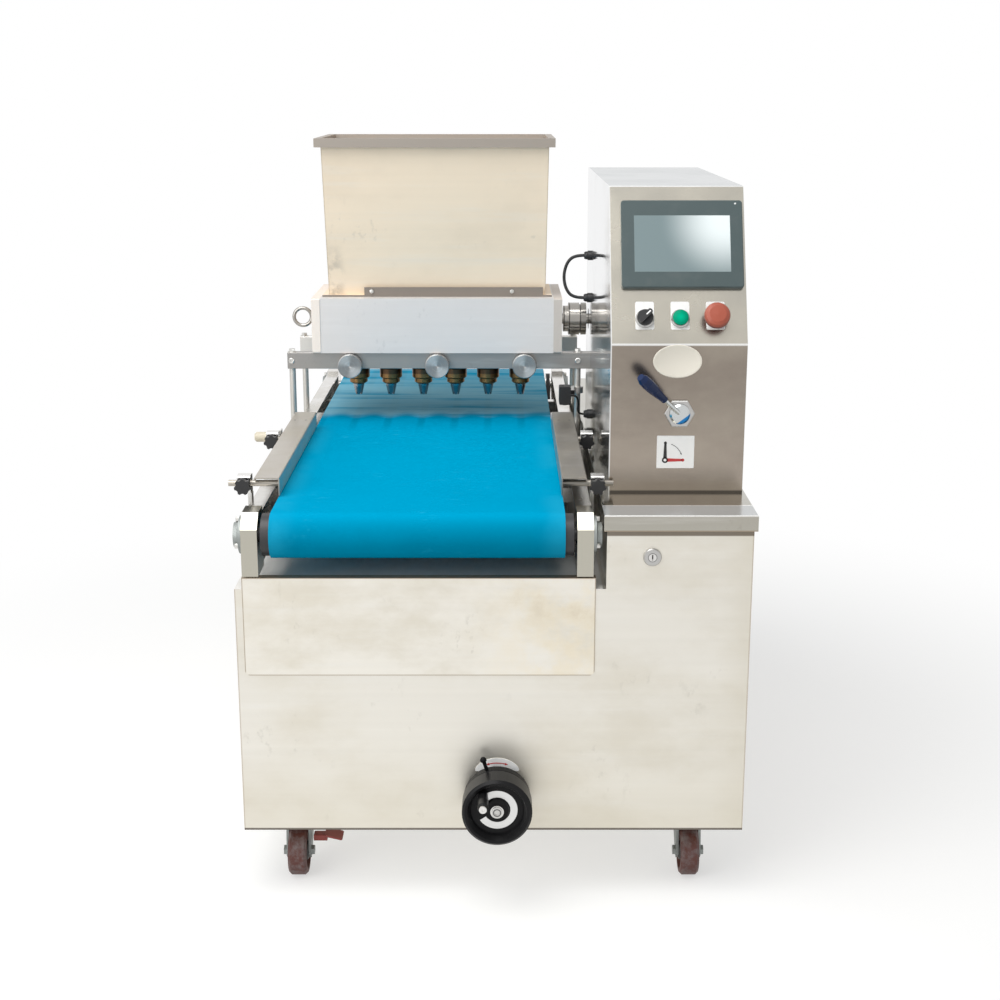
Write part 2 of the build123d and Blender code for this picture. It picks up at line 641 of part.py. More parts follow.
def motor_shaft():
    """Output shaft of the gear motor."""
    start = (MOTOR_FACE_X - MOTOR_BORE + CLEAR, MOTOR_Y, MOTOR_Z)
    end = (DRIVE_X + DRIVE_BELT_WIDTH / 2 + MOTOR_SHAFT_PAST, MOTOR_Y, MOTOR_Z)
    return rod(start, end, MOTOR_SHAFT_RADIUS)


# Table lift
LIFT_TOP_Z = RAIL_BOTTOM_Z
LIFT_UNDER_Z = LIFT_TOP_Z - LIFT_PLATE
FOOT_BEARING = 14.0
FOOT_BEARING_SIZE = 64.0
GUIDE_SPOTS = [
    (table_x(side, GUIDE_POST_X), y) for side in (-1, 1) for y in (-GUIDE_POST_Y, GUIDE_POST_Y)
]


def lift_plate():
    """Plate across both rails that the screw lifts."""
    plate = block(
        TABLE_LEFT_X, TABLE_RIGHT_X, -LIFT_PLATE_LENGTH / 2, LIFT_PLATE_LENGTH / 2, LIFT_UNDER_Z, LIFT_TOP_Z
    )
    hole_start = (HANDWHEEL_X, 0, LIFT_UNDER_Z - PAST)
    return plate - rod(hole_start, (HANDWHEEL_X, 0, LIFT_TOP_Z + PAST), SCREW_RADIUS + SCREW_ROOM)


def guide_posts():
    """Four polished posts under the lift plate."""
    return [
        rod((x, y, LIFT_UNDER_Z - GUIDE_POST_LENGTH), (x, y, LIFT_UNDER_Z), GUIDE_POST_RADIUS)
        for x, y in GUIDE_SPOTS
    ]


def guide_bushes():
    """Flanged bushes in the deck that the posts slide in."""
    profile = [
        (GUIDE_POST_RADIUS + RUN, BUSH_FLANGE - BUSH_LENGTH),
        (BUSH_RADIUS, BUSH_FLANGE - BUSH_LENGTH),
        (BUSH_RADIUS, 0),
        (BUSH_FLANGE_RADIUS, 0),
        (BUSH_FLANGE_RADIUS, BUSH_FLANGE),
        (GUIDE_POST_RADIUS + RUN, BUSH_FLANGE),
    ]
    return [turned(profile, Plane(origin=(x, y, DECK_Z))) for x, y in GUIDE_SPOTS]


def lift_nut():
    """Flanged nut under the lift plate."""
    profile = [
        (SCREW_RADIUS + RUN, -NUT_LENGTH),
        (NUT_RADIUS, -NUT_LENGTH),
        (NUT_RADIUS, -NUT_FLANGE),
        (NUT_FLANGE_RADIUS, -NUT_FLANGE),
        (NUT_FLANGE_RADIUS, 0),
        (SCREW_RADIUS + RUN, 0),
    ]
    return turned(profile, Plane(origin=(HANDWHEEL_X, 0, LIFT_UNDER_Z)))


def gear_outline(teeth, module, start_angle):
    """A gear's outline: slim straight-sided teeth, the first centred on start_angle degrees."""
    pitch = module * teeth / 2
    tip = pitch + TOOTH_TIP * module
    root = pitch - module
    step = 360 / teeth
    flanks = [
        (root, -TOOTH_ROOT_SHARE), (tip, -TOOTH_TIP_SHARE), (tip, TOOTH_TIP_SHARE), (root, TOOTH_ROOT_SHARE),
    ]
    points = []
    for tooth in range(teeth):
        middle = start_angle + tooth * step
        for radius, share in flanks:
            turn = radians(middle + share * step)
            points.append((radius * cos(turn), radius * sin(turn)))
    return make_face(Polyline(*points, close=True))


def mitre_gear(plane, start_angle, bore):
    """A mitre gear whose cone points along the plane's normal, with its apex at the plane's origin."""
    pitch = MITRE_MODULE * MITRE_TEETH / 2
    small = 1 - MITRE_FACE / (pitch * 2 ** 0.5)
    outline = gear_outline(MITRE_TEETH, MITRE_MODULE, start_angle)
    large_end = plane * Pos(0, 0, -pitch) * outline
    small_end = plane * Pos(0, 0, -pitch * small) * scale(outline, small)
    teeth = loft([large_end, small_end], ruled=True)
    hub = plane * Pos(0, 0, -pitch - MITRE_HUB) * extrude(Circle(MITRE_HUB_RADIUS), MITRE_HUB)
    hole = plane * Pos(0, 0, -2 * pitch) * extrude(Circle(bore), 2 * pitch)
    return teeth + hub - hole


def lift_screw():
    """Lift screw, standing in its foot bearing, bevelled at its top."""
    foot_z = CABINET_BASE_Z + BASE_PLATE + SCREW_FOOT_GAP
    screw = rod((HANDWHEEL_X, 0, foot_z), (HANDWHEEL_X, 0, SCREW_TOP_Z), SCREW_RADIUS)
    tip = screw.edges().group_by(Axis.Z)[-1]
    return chamfer(tip, SCREW_BEVEL)


def screw_gear():
    """Mitre gear on the screw, with a gap where the shaft's gear has a tooth."""
    apex = Plane(origin=(HANDWHEEL_X, 0, HANDWHEEL_Z))
    return mitre_gear(apex, -90 + 180 / MITRE_TEETH, SCREW_RADIUS)


def screw_foot():
    """Bearing block on the base plate under the screw."""
    half = FOOT_BEARING_SIZE / 2
    z0 = CABINET_BASE_Z + BASE_PLATE
    foot = block(HANDWHEEL_X - half, HANDWHEEL_X + half, -half, half, z0, z0 + FOOT_BEARING)
    bore_end = (HANDWHEEL_X, 0, z0 + 2 * FOOT_BEARING)
    return foot - rod((HANDWHEEL_X, 0, z0 - PAST), bore_end, SCREW_RADIUS + RUN)


# Handwheel
FLANGE_BORE = 14.0
FLANGE_RADIUS = 27.0
FLANGE_THICKNESS = 9.0
SHAFT_BLOCK_Y = -70.0
SHAFT_BLOCK_LENGTH = 26.0
SHAFT_END_Y = -14.0
WHEEL_BACK_Y = FRONT_Y - HANDWHEEL_STANDOFF
HANDLE_X = HANDWHEEL_X + HANDLE_RADIUS_AT * cos(radians(HANDLE_ANGLE))
HANDLE_Z = HANDWHEEL_Z + HANDLE_RADIUS_AT * sin(radians(HANDLE_ANGLE))
HANDLE_SEAT = 27.0
WHEEL_HUB_BACK = 12.0
WHEEL_WEB_BACK = 14.0
WHEEL_HUB_PROUD = 5.0
WHEEL_BACK_BEVEL = 3.0
WHEEL_FRONT_BEVEL = 4.0
WHEEL_LIP = 1.0
WHEEL_DISH_EDGE = (3.0, 8.0)
WHEEL_DISH_FOOT = 5.0
FLANGE_SLEEVE = 20.0
FLANGE_BEVEL = 2.0
SHAFT_BLOCK_FOOT = 10.0
DIAL_STEP = 1.0
DIAL_BEVEL = 2.0
DIAL_LEVER_ROOT = 5.0
DIAL_BALL_RADIUS = 5.1
DIAL_RADIUS = 52.0
DIAL_HUB_RADIUS = 30.0
DIAL_HUB = 6.0
DIAL_GAP = 2.0
DIAL_LEVER_ANGLE = 108.0
DIAL_LEVER_RADIUS = 3.0
DIAL_LEVER = 17.0


def towards_operator(x, y, z):
    """A plane whose normal points out at the operator."""
    return Plane(origin=(x, y, z), x_dir=(1, 0, 0), z_dir=(0, -1, 0))


def handwheel():
    """Dished handwheel turned in one piece, with the handle's bolt hole through its web."""
    bore = HANDWHEEL_SHAFT_RADIUS + RUN
    hub = 2 * bore
    inner = HANDWHEEL_RADIUS - HANDWHEEL_RIM
    dish_in, dish_down = WHEEL_DISH_EDGE
    profile = [
        (bore, 0),
        (hub, 0),
        (hub, WHEEL_HUB_BACK),
        (inner, WHEEL_WEB_BACK),
        (inner, 0),
        (HANDWHEEL_RADIUS - WHEEL_BACK_BEVEL, 0),
        (HANDWHEEL_RADIUS, WHEEL_BACK_BEVEL),
        (HANDWHEEL_RADIUS, HANDWHEEL_DEPTH - WHEEL_FRONT_BEVEL),
        (HANDWHEEL_RADIUS - WHEEL_FRONT_BEVEL, HANDWHEEL_DEPTH),
        (inner + WHEEL_LIP, HANDWHEEL_DEPTH - WHEEL_LIP),
        (inner - dish_in, HANDWHEEL_DEPTH - dish_down),
        (inner - WHEEL_DISH_FOOT, HANDLE_SEAT),
        (1.1 * hub, HANDLE_SEAT),
        (hub, HANDLE_SEAT + WHEEL_HUB_PROUD),
        (bore, HANDLE_SEAT + WHEEL_HUB_PROUD),
    ]
    wheel = turned(profile, towards_operator(HANDWHEEL_X, WHEEL_BACK_Y, HANDWHEEL_Z))
    hole_end = (HANDLE_X, WHEEL_BACK_Y - HANDWHEEL_DEPTH, HANDLE_Z)
    return wheel - rod((HANDLE_X, WHEEL_BACK_Y, HANDLE_Z), hole_end, HANDLE_PIN_RADIUS)


def handwheel_shaft():
    """Shaft from the handwheel through the cabinet's front to the mitre gears."""
    front = WHEEL_BACK_Y - HANDLE_SEAT - SHAFT_CAP_PROUD
    start = (HANDWHEEL_X, front, HANDWHEEL_Z)
    shaft = rod(start, (HANDWHEEL_X, SHAFT_END_Y, HANDWHEEL_Z), HANDWHEEL_SHAFT_RADIUS)
    cap_end = (HANDWHEEL_X, front + SHAFT_CAP, HANDWHEEL_Z)
    return shaft + rod(start, cap_end, HANDWHEEL_SHAFT_RADIUS + SHAFT_CAP_LIP)


def shaft_gear():
    """Mitre gear on the handwheel's shaft."""
    apex = Plane(origin=(HANDWHEEL_X, 0, HANDWHEEL_Z), x_dir=(1, 0, 0), z_dir=(0, 1, 0))
    return mitre_gear(apex, 90, HANDWHEEL_SHAFT_RADIUS)


def handwheel_flange():
    """Flanged bearing in the cabinet's front sheet."""
    profile = [
        (HANDWHEEL_SHAFT_RADIUS + RUN, -FLANGE_SLEEVE),
        (FLANGE_BORE, -FLANGE_SLEEVE),
        (FLANGE_BORE, 0),
        (FLANGE_RADIUS, 0),
        (FLANGE_RADIUS, FLANGE_THICKNESS - FLANGE_BEVEL),
        (FLANGE_RADIUS - FLANGE_BEVEL, FLANGE_THICKNESS),
        (HANDWHEEL_SHAFT_RADIUS + RUN, FLANGE_THICKNESS),
    ]
    return turned(profile, towards_operator(HANDWHEEL_X, FRONT_Y, HANDWHEEL_Z))


def wheel_dial():
    """Fixed round housing behind the wheel, with a small clamp lever on its rim."""
    face = towards_operator(HANDWHEEL_X, FRONT_Y, HANDWHEEL_Z)
    back, front = FLANGE_THICKNESS, HANDWHEEL_STANDOFF - DIAL_GAP
    bore = HANDWHEEL_SHAFT_RADIUS + FREE
    profile = [
        (bore, back),
        (DIAL_HUB_RADIUS, back),
        (DIAL_HUB_RADIUS, back + DIAL_HUB),
        (DIAL_RADIUS, back + DIAL_HUB + DIAL_STEP),
        (DIAL_RADIUS, front - DIAL_BEVEL),
        (DIAL_RADIUS - DIAL_BEVEL, front),
        (bore, front),
    ]
    turn = radians(DIAL_LEVER_ANGLE)
    level = (back + DIAL_HUB + front) / 2
    root = DIAL_RADIUS - DIAL_LEVER_ROOT
    start = face * Pos(root * cos(turn), root * sin(turn), level)
    reach = DIAL_RADIUS + DIAL_LEVER
    knob = face * Pos(reach * cos(turn), reach * sin(turn), level)
    stem = rod(start.position, knob.position, DIAL_LEVER_RADIUS)
    return turned(profile, face) + stem + knob * Sphere(DIAL_BALL_RADIUS)


def shaft_block():
    """Plummer block on the base plate that carries the shaft's inner end."""
    z0 = CABINET_BASE_Z + BASE_PLATE
    half = 2.4 * HANDWHEEL_SHAFT_RADIUS
    y0 = SHAFT_BLOCK_Y - SHAFT_BLOCK_LENGTH
    top = rod((HANDWHEEL_X, y0, HANDWHEEL_Z), (HANDWHEEL_X, SHAFT_BLOCK_Y, HANDWHEEL_Z), half)
    leg = block(HANDWHEEL_X - half, HANDWHEEL_X + half, y0, SHAFT_BLOCK_Y, z0, HANDWHEEL_Z)
    foot = block(HANDWHEEL_X - 2 * half, HANDWHEEL_X + 2 * half, y0, SHAFT_BLOCK_Y, z0, z0 + SHAFT_BLOCK_FOOT)
    hole_start = (HANDWHEEL_X, y0 - PAST, HANDWHEEL_Z)
    hole_end = (HANDWHEEL_X, SHAFT_BLOCK_Y + PAST, HANDWHEEL_Z)
    return top + leg + foot - rod(hole_start, hole_end, HANDWHEEL_SHAFT_RADIUS + RUN)


def crank_handle():
    """Revolving handle, barrel shaped."""
    bore = HANDLE_PIN_RADIUS + RUN
    collar_in, collar_up = HANDLE_COLLAR
    top_in, top_down = HANDLE_TOP
    profile = [
        (bore, 0),
        (HANDLE_RADIUS - HANDLE_NECK, 0),
        (HANDLE_RADIUS - collar_in, collar_up),
        (HANDLE_RADIUS, HANDLE_SWELL_AT),
        (HANDLE_RADIUS - top_in, HANDLE_LENGTH - top_down),
        (HANDLE_RADIUS - HANDLE_END, HANDLE_LENGTH),
        (bore, HANDLE_LENGTH),
    ]
    return turned(profile, towards_operator(HANDLE_X, WHEEL_BACK_Y - HANDLE_SEAT - CLEAR, HANDLE_Z))


def handle_pin():
    """Shoulder bolt that the handle turns on."""
    face = towards_operator(HANDLE_X, WHEEL_BACK_Y - HANDLE_SEAT, HANDLE_Z)
    end = HANDLE_LENGTH + 2 * CLEAR
    profile = [
        (0, -HANDLE_PIN_ROOT),
        (HANDLE_PIN_RADIUS, -HANDLE_PIN_ROOT),
        (HANDLE_PIN_RADIUS, end),
        (HANDLE_PIN_RADIUS + HANDLE_PIN_LIP, end),
        (HANDLE_PIN_RADIUS + HANDLE_PIN_LIP, end + HANDLE_PIN_HEAD),
        (HANDLE_PIN_SOCKET, end + HANDLE_PIN_HEAD),
        (HANDLE_PIN_SOCKET, end + HANDLE_PIN_FLOOR),
        (0, end + HANDLE_PIN_FLOOR),
    ]
    return turned(profile, face)


# Tray guides on the table
GUIDE_FRONT_Y = -465.0
GUIDE_BACK_Y = 55.0
GUIDE_TOP_Z = 662.0
GUIDE_GAP = -2.0
GUIDE_WIDTH = 40.0
GUIDE_SHEET = 2.0
GUIDE_INNER_DROP = 28.0
GUIDE_OUTER_DROP = 5.0
GUIDE_ROD_RADIUS = 5.0
GUIDE_ROD_Z = 650.0
GUIDE_ROD_REACH = {"front": 15.0, "rear": 3.0}
CLAMP_WIDTH = 21.0
CLAMP_HALF_Y = 12.0
CLAMP_BOTTOM_Z = 636.0
CLAMP_TOP_Z = 664.0
CLAMP_ROUND = 3.0
UPRIGHT_SHEET = 6.0
UPRIGHT_HALF_Y = 9.0
UPRIGHT_BOTTOM_Z = 560.0
GUIDE_ROD_YS = {"front": -450.0, "rear": -128.0}
STAR_LOBES = 7
STAR_RADIUS = 13.0
STAR_THICKNESS = 11.0
STAR_SCREW_RADIUS = 3.0
STAR_STANDOFF = 5.0
STAR_NOTCH_AT = 15.0
STAR_NOTCH_RADIUS = 4.5
STAR_BOSS_RADIUS = 6.5
EYE_Y = -100.0
EYE_Z = 648.0
EYE_RADIUS = 9.0
EYE_LENGTH = 46.0
EYE_NUT = 6.0
EYE_NUT_LIP = 2.0
EYE_GROOVE = 1.0
EYE_GROOVE_END = 13.0
EYE_CAP = 3.0
EYE_STRAP_SIDE = 3.0
EYE_STRAP_TOP = 4.0
GUIDE_INNER = BELT_WIDTH / 2 + GUIDE_GAP
CLAMP_INNER = TABLE_HALF_WIDTH + FREE
CLAMP_OUTER = CLAMP_INNER + CLAMP_WIDTH


def tray_guide(side):
    """Folded guide along one edge of the belt: a top, a deep inner flange and a short outer one."""
    inner = table_x(side, GUIDE_INNER)
    inner_back = table_x(side, GUIDE_INNER + GUIDE_SHEET)
    outer = table_x(side, GUIDE_INNER + GUIDE_WIDTH)
    outer_back = table_x(side, GUIDE_INNER + GUIDE_WIDTH - GUIDE_SHEET)
    z1 = GUIDE_TOP_Z
    guide = block(inner, outer, GUIDE_FRONT_Y, GUIDE_BACK_Y, z1 - GUIDE_SHEET, z1)
    guide += block(inner, inner_back, GUIDE_FRONT_Y, GUIDE_BACK_Y, z1 - GUIDE_INNER_DROP, z1)
    guide += block(outer, outer_back, GUIDE_FRONT_Y, GUIDE_BACK_Y, z1 - GUIDE_OUTER_DROP, z1)
    ridge = guide.edges().filter_by(Axis.Y).group_by(Axis.Z)[-1]
    return fillet(ridge, 0.9 * GUIDE_SHEET)


def guide_rods(side):
    """Two rods fixed behind a guide's inner flange, which slide in the clamps."""
    start = table_x(side, GUIDE_INNER + GUIDE_SHEET)
    rods = []
    for place, y in GUIDE_ROD_YS.items():
        end = table_x(side, CLAMP_OUTER + GUIDE_ROD_REACH[place])
        rods.append(rod((start, y, GUIDE_ROD_Z), (end, y, GUIDE_ROD_Z), GUIDE_ROD_RADIUS))
    return rods


def guide_clamp(side, y):
    """Clamp block with the rod's bore and the star knob's threaded hole."""
    clamp = block(
        table_x(side, CLAMP_INNER), table_x(side, CLAMP_OUTER),
        y - CLAMP_HALF_Y, y + CLAMP_HALF_Y, CLAMP_BOTTOM_Z, CLAMP_TOP_Z,
    )
    clamp = fillet(clamp.edges().filter_by(Axis.X), CLAMP_ROUND)
    middle = table_x(side, (CLAMP_INNER + CLAMP_OUTER) / 2)
    start = (table_x(side, CLAMP_INNER - PAST), y, GUIDE_ROD_Z)
    clamp -= rod(start, (table_x(side, CLAMP_OUTER + PAST), y, GUIDE_ROD_Z), GUIDE_ROD_RADIUS + RUN)
    screw_start = (middle, y - 2 * CLAMP_HALF_Y, GUIDE_ROD_Z)
    return clamp - rod(screw_start, (middle, y, GUIDE_ROD_Z), STAR_SCREW_RADIUS + RUN)


def guide_upright(side, y):
    """Flat bar on a rail's outside that carries a clamp block."""
    return block(
        table_x(side, TABLE_HALF_WIDTH), table_x(side, TABLE_HALF_WIDTH + UPRIGHT_SHEET),
        y - UPRIGHT_HALF_Y, y + UPRIGHT_HALF_Y, UPRIGHT_BOTTOM_Z, CLAMP_BOTTOM_Z,
    )


def table_frame():
    """The table's rails, end brackets, cross tubes, uprights and clamp blocks."""
    pitch = (REAR_DRUM_Y - FRONT_DRUM_Y) / (CROSS_TUBES + 1)
    pieces = [cross_tube(FRONT_DRUM_Y + (place + 1) * pitch) for place in range(CROSS_TUBES)]
    for side in SIDES.values():
        pieces += [table_rail(side), end_bracket(side, -1), end_bracket(side, 1)]
        for y in GUIDE_ROD_YS.values():
            pieces += [guide_upright(side, y), guide_clamp(side, y)]
    return group(pieces)


def star_knob(side, y):
    """Lobed knob with its clamping screw."""
    middle = table_x(side, (CLAMP_INNER + CLAMP_OUTER) / 2)
    face = towards_operator(middle, y - CLAMP_HALF_Y - STAR_STANDOFF, GUIDE_ROD_Z)
    head = Circle(STAR_RADIUS)
    for lobe in range(STAR_LOBES):
        turn = radians(90 + (lobe + 0.5) * 360 / STAR_LOBES)
        head -= Pos(STAR_NOTCH_AT * cos(turn), STAR_NOTCH_AT * sin(turn)) * Circle(STAR_NOTCH_RADIUS)
    knob = extrude(face * head, STAR_THICKNESS)
    boss = extrude(face * Circle(STAR_BOSS_RADIUS), -STAR_STANDOFF + CLEAR)
    screw_end = (middle, y - GUIDE_ROD_RADIUS - FREE, GUIDE_ROD_Z)
    screw = rod((middle, y - CLAMP_HALF_Y - STAR_STANDOFF, GUIDE_ROD_Z), screw_end, STAR_SCREW_RADIUS)
    return knob + boss + screw


def beam_eye_bracket():
    """Strap on the left rail that holds the beam eye."""
    return block(
        table_x(-1, TABLE_HALF_WIDTH), table_x(-1, TABLE_HALF_WIDTH + GUIDE_SHEET),
        EYE_Y - EYE_RADIUS - EYE_STRAP_SIDE, EYE_Y + EYE_RADIUS + EYE_STRAP_SIDE,
        UPRIGHT_BOTTOM_Z, EYE_Z + EYE_RADIUS + EYE_STRAP_TOP,
    )


def beam_eye():
    """Round light-beam eye that looks across the belt, with a lock ring and a cable cap."""
    base = Plane(origin=(table_x(-1, TABLE_HALF_WIDTH + GUIDE_SHEET), EYE_Y, EYE_Z), z_dir=(-1, 0, 0))
    profile = [
        (0, 0),
        (EYE_RADIUS + EYE_NUT_LIP, 0),
        (EYE_RADIUS + EYE_NUT_LIP, EYE_NUT),
        (EYE_RADIUS - EYE_GROOVE, EYE_NUT + EYE_GROOVE),
        (EYE_RADIUS - EYE_GROOVE, EYE_GROOVE_END),
        (EYE_RADIUS, EYE_GROOVE_END + EYE_GROOVE),
        (EYE_RADIUS, EYE_LENGTH - EYE_CAP),
        (EYE_RADIUS - EYE_CAP, EYE_LENGTH),
        (0, EYE_LENGTH),
    ]
    return turned(profile, base)


# Depositing head
HEAD_OFFSET_X = 5.0
POST_RADIUS = 6.0
BAR_BOTTOM_Z = 733.0
BAR_TOP_Z = 764.0
BAR_THICKNESS = 20.0
BAR_END = 8.0
BAR_BEVEL = 1.0
FRONT_BAR_Y = 130.0
REAR_BAR_Y = 330.0
PUMP_HALF = 237.0
PUMP_END = 16.0
PUMP_RECESS = 1.5
PUMP_END_ROUND = 3.0
PUMP_FRONT_Y = 112.0
PUMP_BACK_Y = 342.0
PUMP_TOP_Z = 868.0
ROLLER_Y = 225.0
ROLLER_Z = 818.0
ROLLER_RADIUS = 25.0
ROLLER_GAP = 2.0
ROLLER_SPACING = 2 * ROLLER_RADIUS + ROLLER_GAP
ROLLER_SHAFT_RADIUS = 10.0
ROLLER_FLUTES = 10
FLUTE_RADIUS = 4.0
ROLLER_SHAFT_SHORT = 1.0
FEED_TEETH = 24
FEED_GEAR = 9.0
GEAR_POCKET = 10.0
GEAR_ROOM = 4.0
THROAT_HALF = 30.0
THROAT_END = 8.0
OUTLET_HALF = 14.0
COUPLING_RADIUS = 31.0
COUPLING_NECK_RADIUS = 25.0
COUPLING_NECK = 10.0
COUPLING_GROOVE = 3.0
COUPLING_GAP = 5.0
MANIFOLD_HALF_X = 203.0
MANIFOLD_FRONT_Y = 160.0
MANIFOLD_BACK_Y = 290.0
MANIFOLD_BOTTOM_Z = 731.0
MANIFOLD_END = 10.0
NOZZLE_COUNT = 6
NOZZLE_PITCH = 64.0
NOZZLE_BORE = 8.0
NOZZLE_NECK_RADIUS = 16.0
NOZZLE_NECK = 12.0
NOZZLE_NUT_RADIUS = 22.0
NOZZLE_NUT = 21.0
NOZZLE_COLLAR_RADIUS = 17.5
NOZZLE_COLLAR = 8.0
NOZZLE_TAPER = 3.3
NOZZLE_TIP_RADIUS = 11.0
NOZZLE_MOUTH_RADIUS = 6.5
NOZZLE_MOUTH_WALL = 2.7
NOZZLE_TIP = 22.2
NOZZLE_TEETH = 6
NOZZLE_NUT_BEVEL = 2.0
NOZZLE_NUT_STEP = 1.0
NOZZLE_SEAT_WALL = 2.0
NOZZLE_TIP_STEP = 0.5
NOZZLE_TIP_COLLAR = 4.0
NOZZLE_NOTCH = 2.2
NOZZLE_NOTCH_DEPTH = 5.0
HEAD_KNOB_PITCH = 166.0
HEAD_KNOB_RADIUS = 23.0
HEAD_KNOB_THICKNESS = 15.0
HEAD_KNOB_GAP = 2.0
HEAD_KNOB_BACK_BEVEL = 2.0
HEAD_KNOB_BEVEL = 1.5
HEAD_KNOB_DISH = 0.8
HEAD_KNOB_Z = BAR_TOP_Z - HEAD_KNOB_RADIUS - FREE
HEAD_SCREW_RADIUS = 5.0
HEAD_SCREW_DEPTH = 26.0
HOPPER_TOP_Z = 1163.0
HOPPER_SHEET = 2.0
HOPPER_TOP_X = 210.0
HOPPER_TOP_FRONT_Y = 100.0
HOPPER_TOP_BACK_Y = 356.0
HOPPER_BOTTOM_X = 206.0
HOPPER_BOTTOM_FRONT_Y = 150.0
HOPPER_BOTTOM_BACK_Y = 306.0
HOPPER_RIM = 11.0
HOPPER_RIM_HEIGHT = 16.0
HOPPER_FOOT = 12.0
HOPPER_FOOT_THICKNESS = 3.0
STRIP_HEIGHT = 15.0
STRIP_LEFT = 138.0
STRIP_RIGHT = 201.0
EYEBOLT_RING = 17.0
EYEBOLT_WIRE = 3.5
EYEBOLT_SHANK = 13.0
EYEBOLT_COLLAR = 4.0
EYEBOLT_COLLAR_RADIUS = 7.0
DRIVEN_Y = ROLLER_Y - ROLLER_SPACING / 2
IDLE_Y = ROLLER_Y + ROLLER_SPACING / 2
HEAD_CENTRE_X = BELT_CENTRE_X + HEAD_OFFSET_X
POST_OFFSET = TABLE_HALF_WIDTH + FREE + POST_RADIUS
NOZZLE_SEAT_Z = MANIFOLD_BOTTOM_Z - NOZZLE_NECK - NOZZLE_NUT - NOZZLE_COLLAR - NOZZLE_TAPER
NOZZLE_TIP_Z = NOZZLE_SEAT_Z - NOZZLE_TIP


def head_x(side, offset):
    """A place measured outwards from the head's centre line."""
    return HEAD_CENTRE_X + side * offset


def head_posts():
    """Four posts on the deck that carry the head's two bars."""
    posts = []
    for side in SIDES.values():
        x = table_x(side, POST_OFFSET)
        posts += [rod((x, y, DECK_Z), (x, y, BAR_BOTTOM_Z), POST_RADIUS) for y in (FRONT_BAR_Y, REAR_BAR_Y)]
    return posts


def head_bar(y, right_x):
    """Flat bar across two posts."""
    left_x = table_x(-1, POST_OFFSET + BAR_END)
    half = BAR_THICKNESS / 2
    bar = block(left_x, right_x, y - half, y + half, BAR_BOTTOM_Z, BAR_TOP_Z)
    return chamfer(bar.edges().filter_by(Axis.X), BAR_BEVEL)


def rear_bar():
    """Rear bar, as long as its posts need."""
    return head_bar(REAR_BAR_Y, table_x(1, POST_OFFSET + BAR_END))


def front_bar():
    """Front bar, which runs on to the console's wall, drilled for the three head knobs."""
    bar = head_bar(FRONT_BAR_Y, CONSOLE_LEFT_X)
    for x in HEAD_KNOB_XS:
        start = (x, FRONT_BAR_Y - BAR_THICKNESS, HEAD_KNOB_Z)
        end = (x, FRONT_BAR_Y + BAR_THICKNESS, HEAD_KNOB_Z)
        bar -= rod(start, end, HEAD_SCREW_RADIUS + RUN)
    return bar


HEAD_KNOB_XS = [head_x(1, step * HEAD_KNOB_PITCH) for step in (-1, 0, 1)]
NOZZLE_XS = [head_x(1, (n - (NOZZLE_COUNT - 1) / 2) * NOZZLE_PITCH) for n in range(NOZZLE_COUNT)]


def pump_body():
    """Feed block: two roller bores, a throat above them and an outlet slot below."""
    half = PUMP_HALF - PUMP_END
    x0, x1 = head_x(-1, half), head_x(1, half)
    y0, y1 = PUMP_FRONT_Y + PUMP_RECESS, PUMP_BACK_Y - PUMP_RECESS
    body = block(x0, x1, y0, y1, BAR_TOP_Z, PUMP_TOP_Z)
    for y in (DRIVEN_Y, IDLE_Y):
        body -= rod((x0 - PAST, y, ROLLER_Z), (x1 + PAST, y, ROLLER_Z), ROLLER_RADIUS + CLEAR)
    inner = half - THROAT_END
    throat = (head_x(-1, inner), head_x(1, inner), ROLLER_Y - THROAT_HALF, ROLLER_Y + THROAT_HALF)
    outlet = (head_x(-1, inner), head_x(1, inner), ROLLER_Y - OUTLET_HALF, ROLLER_Y + OUTLET_HALF)
    body -= block(*throat, ROLLER_Z, PUMP_TOP_Z + PAST)
    return body - block(*outlet, BAR_TOP_Z - PAST, ROLLER_Z)


def pump_end(side):
    """End plate that carries the roller shafts; the left one holds the gears in a pocket."""
    x0, x1 = sorted((head_x(side, PUMP_HALF - PUMP_END), head_x(side, PUMP_HALF)))
    plate = block(x0, x1, PUMP_FRONT_Y, PUMP_BACK_Y, BAR_TOP_Z, PUMP_TOP_Z)
    plate = fillet(plate.edges().filter_by(Axis.X), PUMP_END_ROUND)
    for y in (DRIVEN_Y, IDLE_Y):
        plate -= rod((x0 - PAST, y, ROLLER_Z), (x1 + PAST, y, ROLLER_Z), ROLLER_SHAFT_RADIUS + RUN)
        if side < 0:
            plate -= rod((x1 - GEAR_POCKET, y, ROLLER_Z), (x1, y, ROLLER_Z), ROLLER_SPACING / 2 + GEAR_ROOM)
    return plate


def feed_roller(y, right_end):
    """Fluted feed roller with its shaft."""
    half = PUMP_HALF - PUMP_END - CLEAR
    section = Circle(ROLLER_RADIUS)
    for flute in range(ROLLER_FLUTES):
        turn = 2 * pi * flute / ROLLER_FLUTES
        section -= Pos(ROLLER_RADIUS * cos(turn), ROLLER_RADIUS * sin(turn)) * Circle(FLUTE_RADIUS)
    plane = Plane(origin=(head_x(-1, half), y, ROLLER_Z), x_dir=(0, 1, 0), z_dir=(1, 0, 0))
    left_end = head_x(-1, PUMP_HALF - ROLLER_SHAFT_SHORT)
    shaft = rod((left_end, y, ROLLER_Z), (right_end, y, ROLLER_Z), ROLLER_SHAFT_RADIUS)
    return extrude(plane * section, 2 * half) + shaft


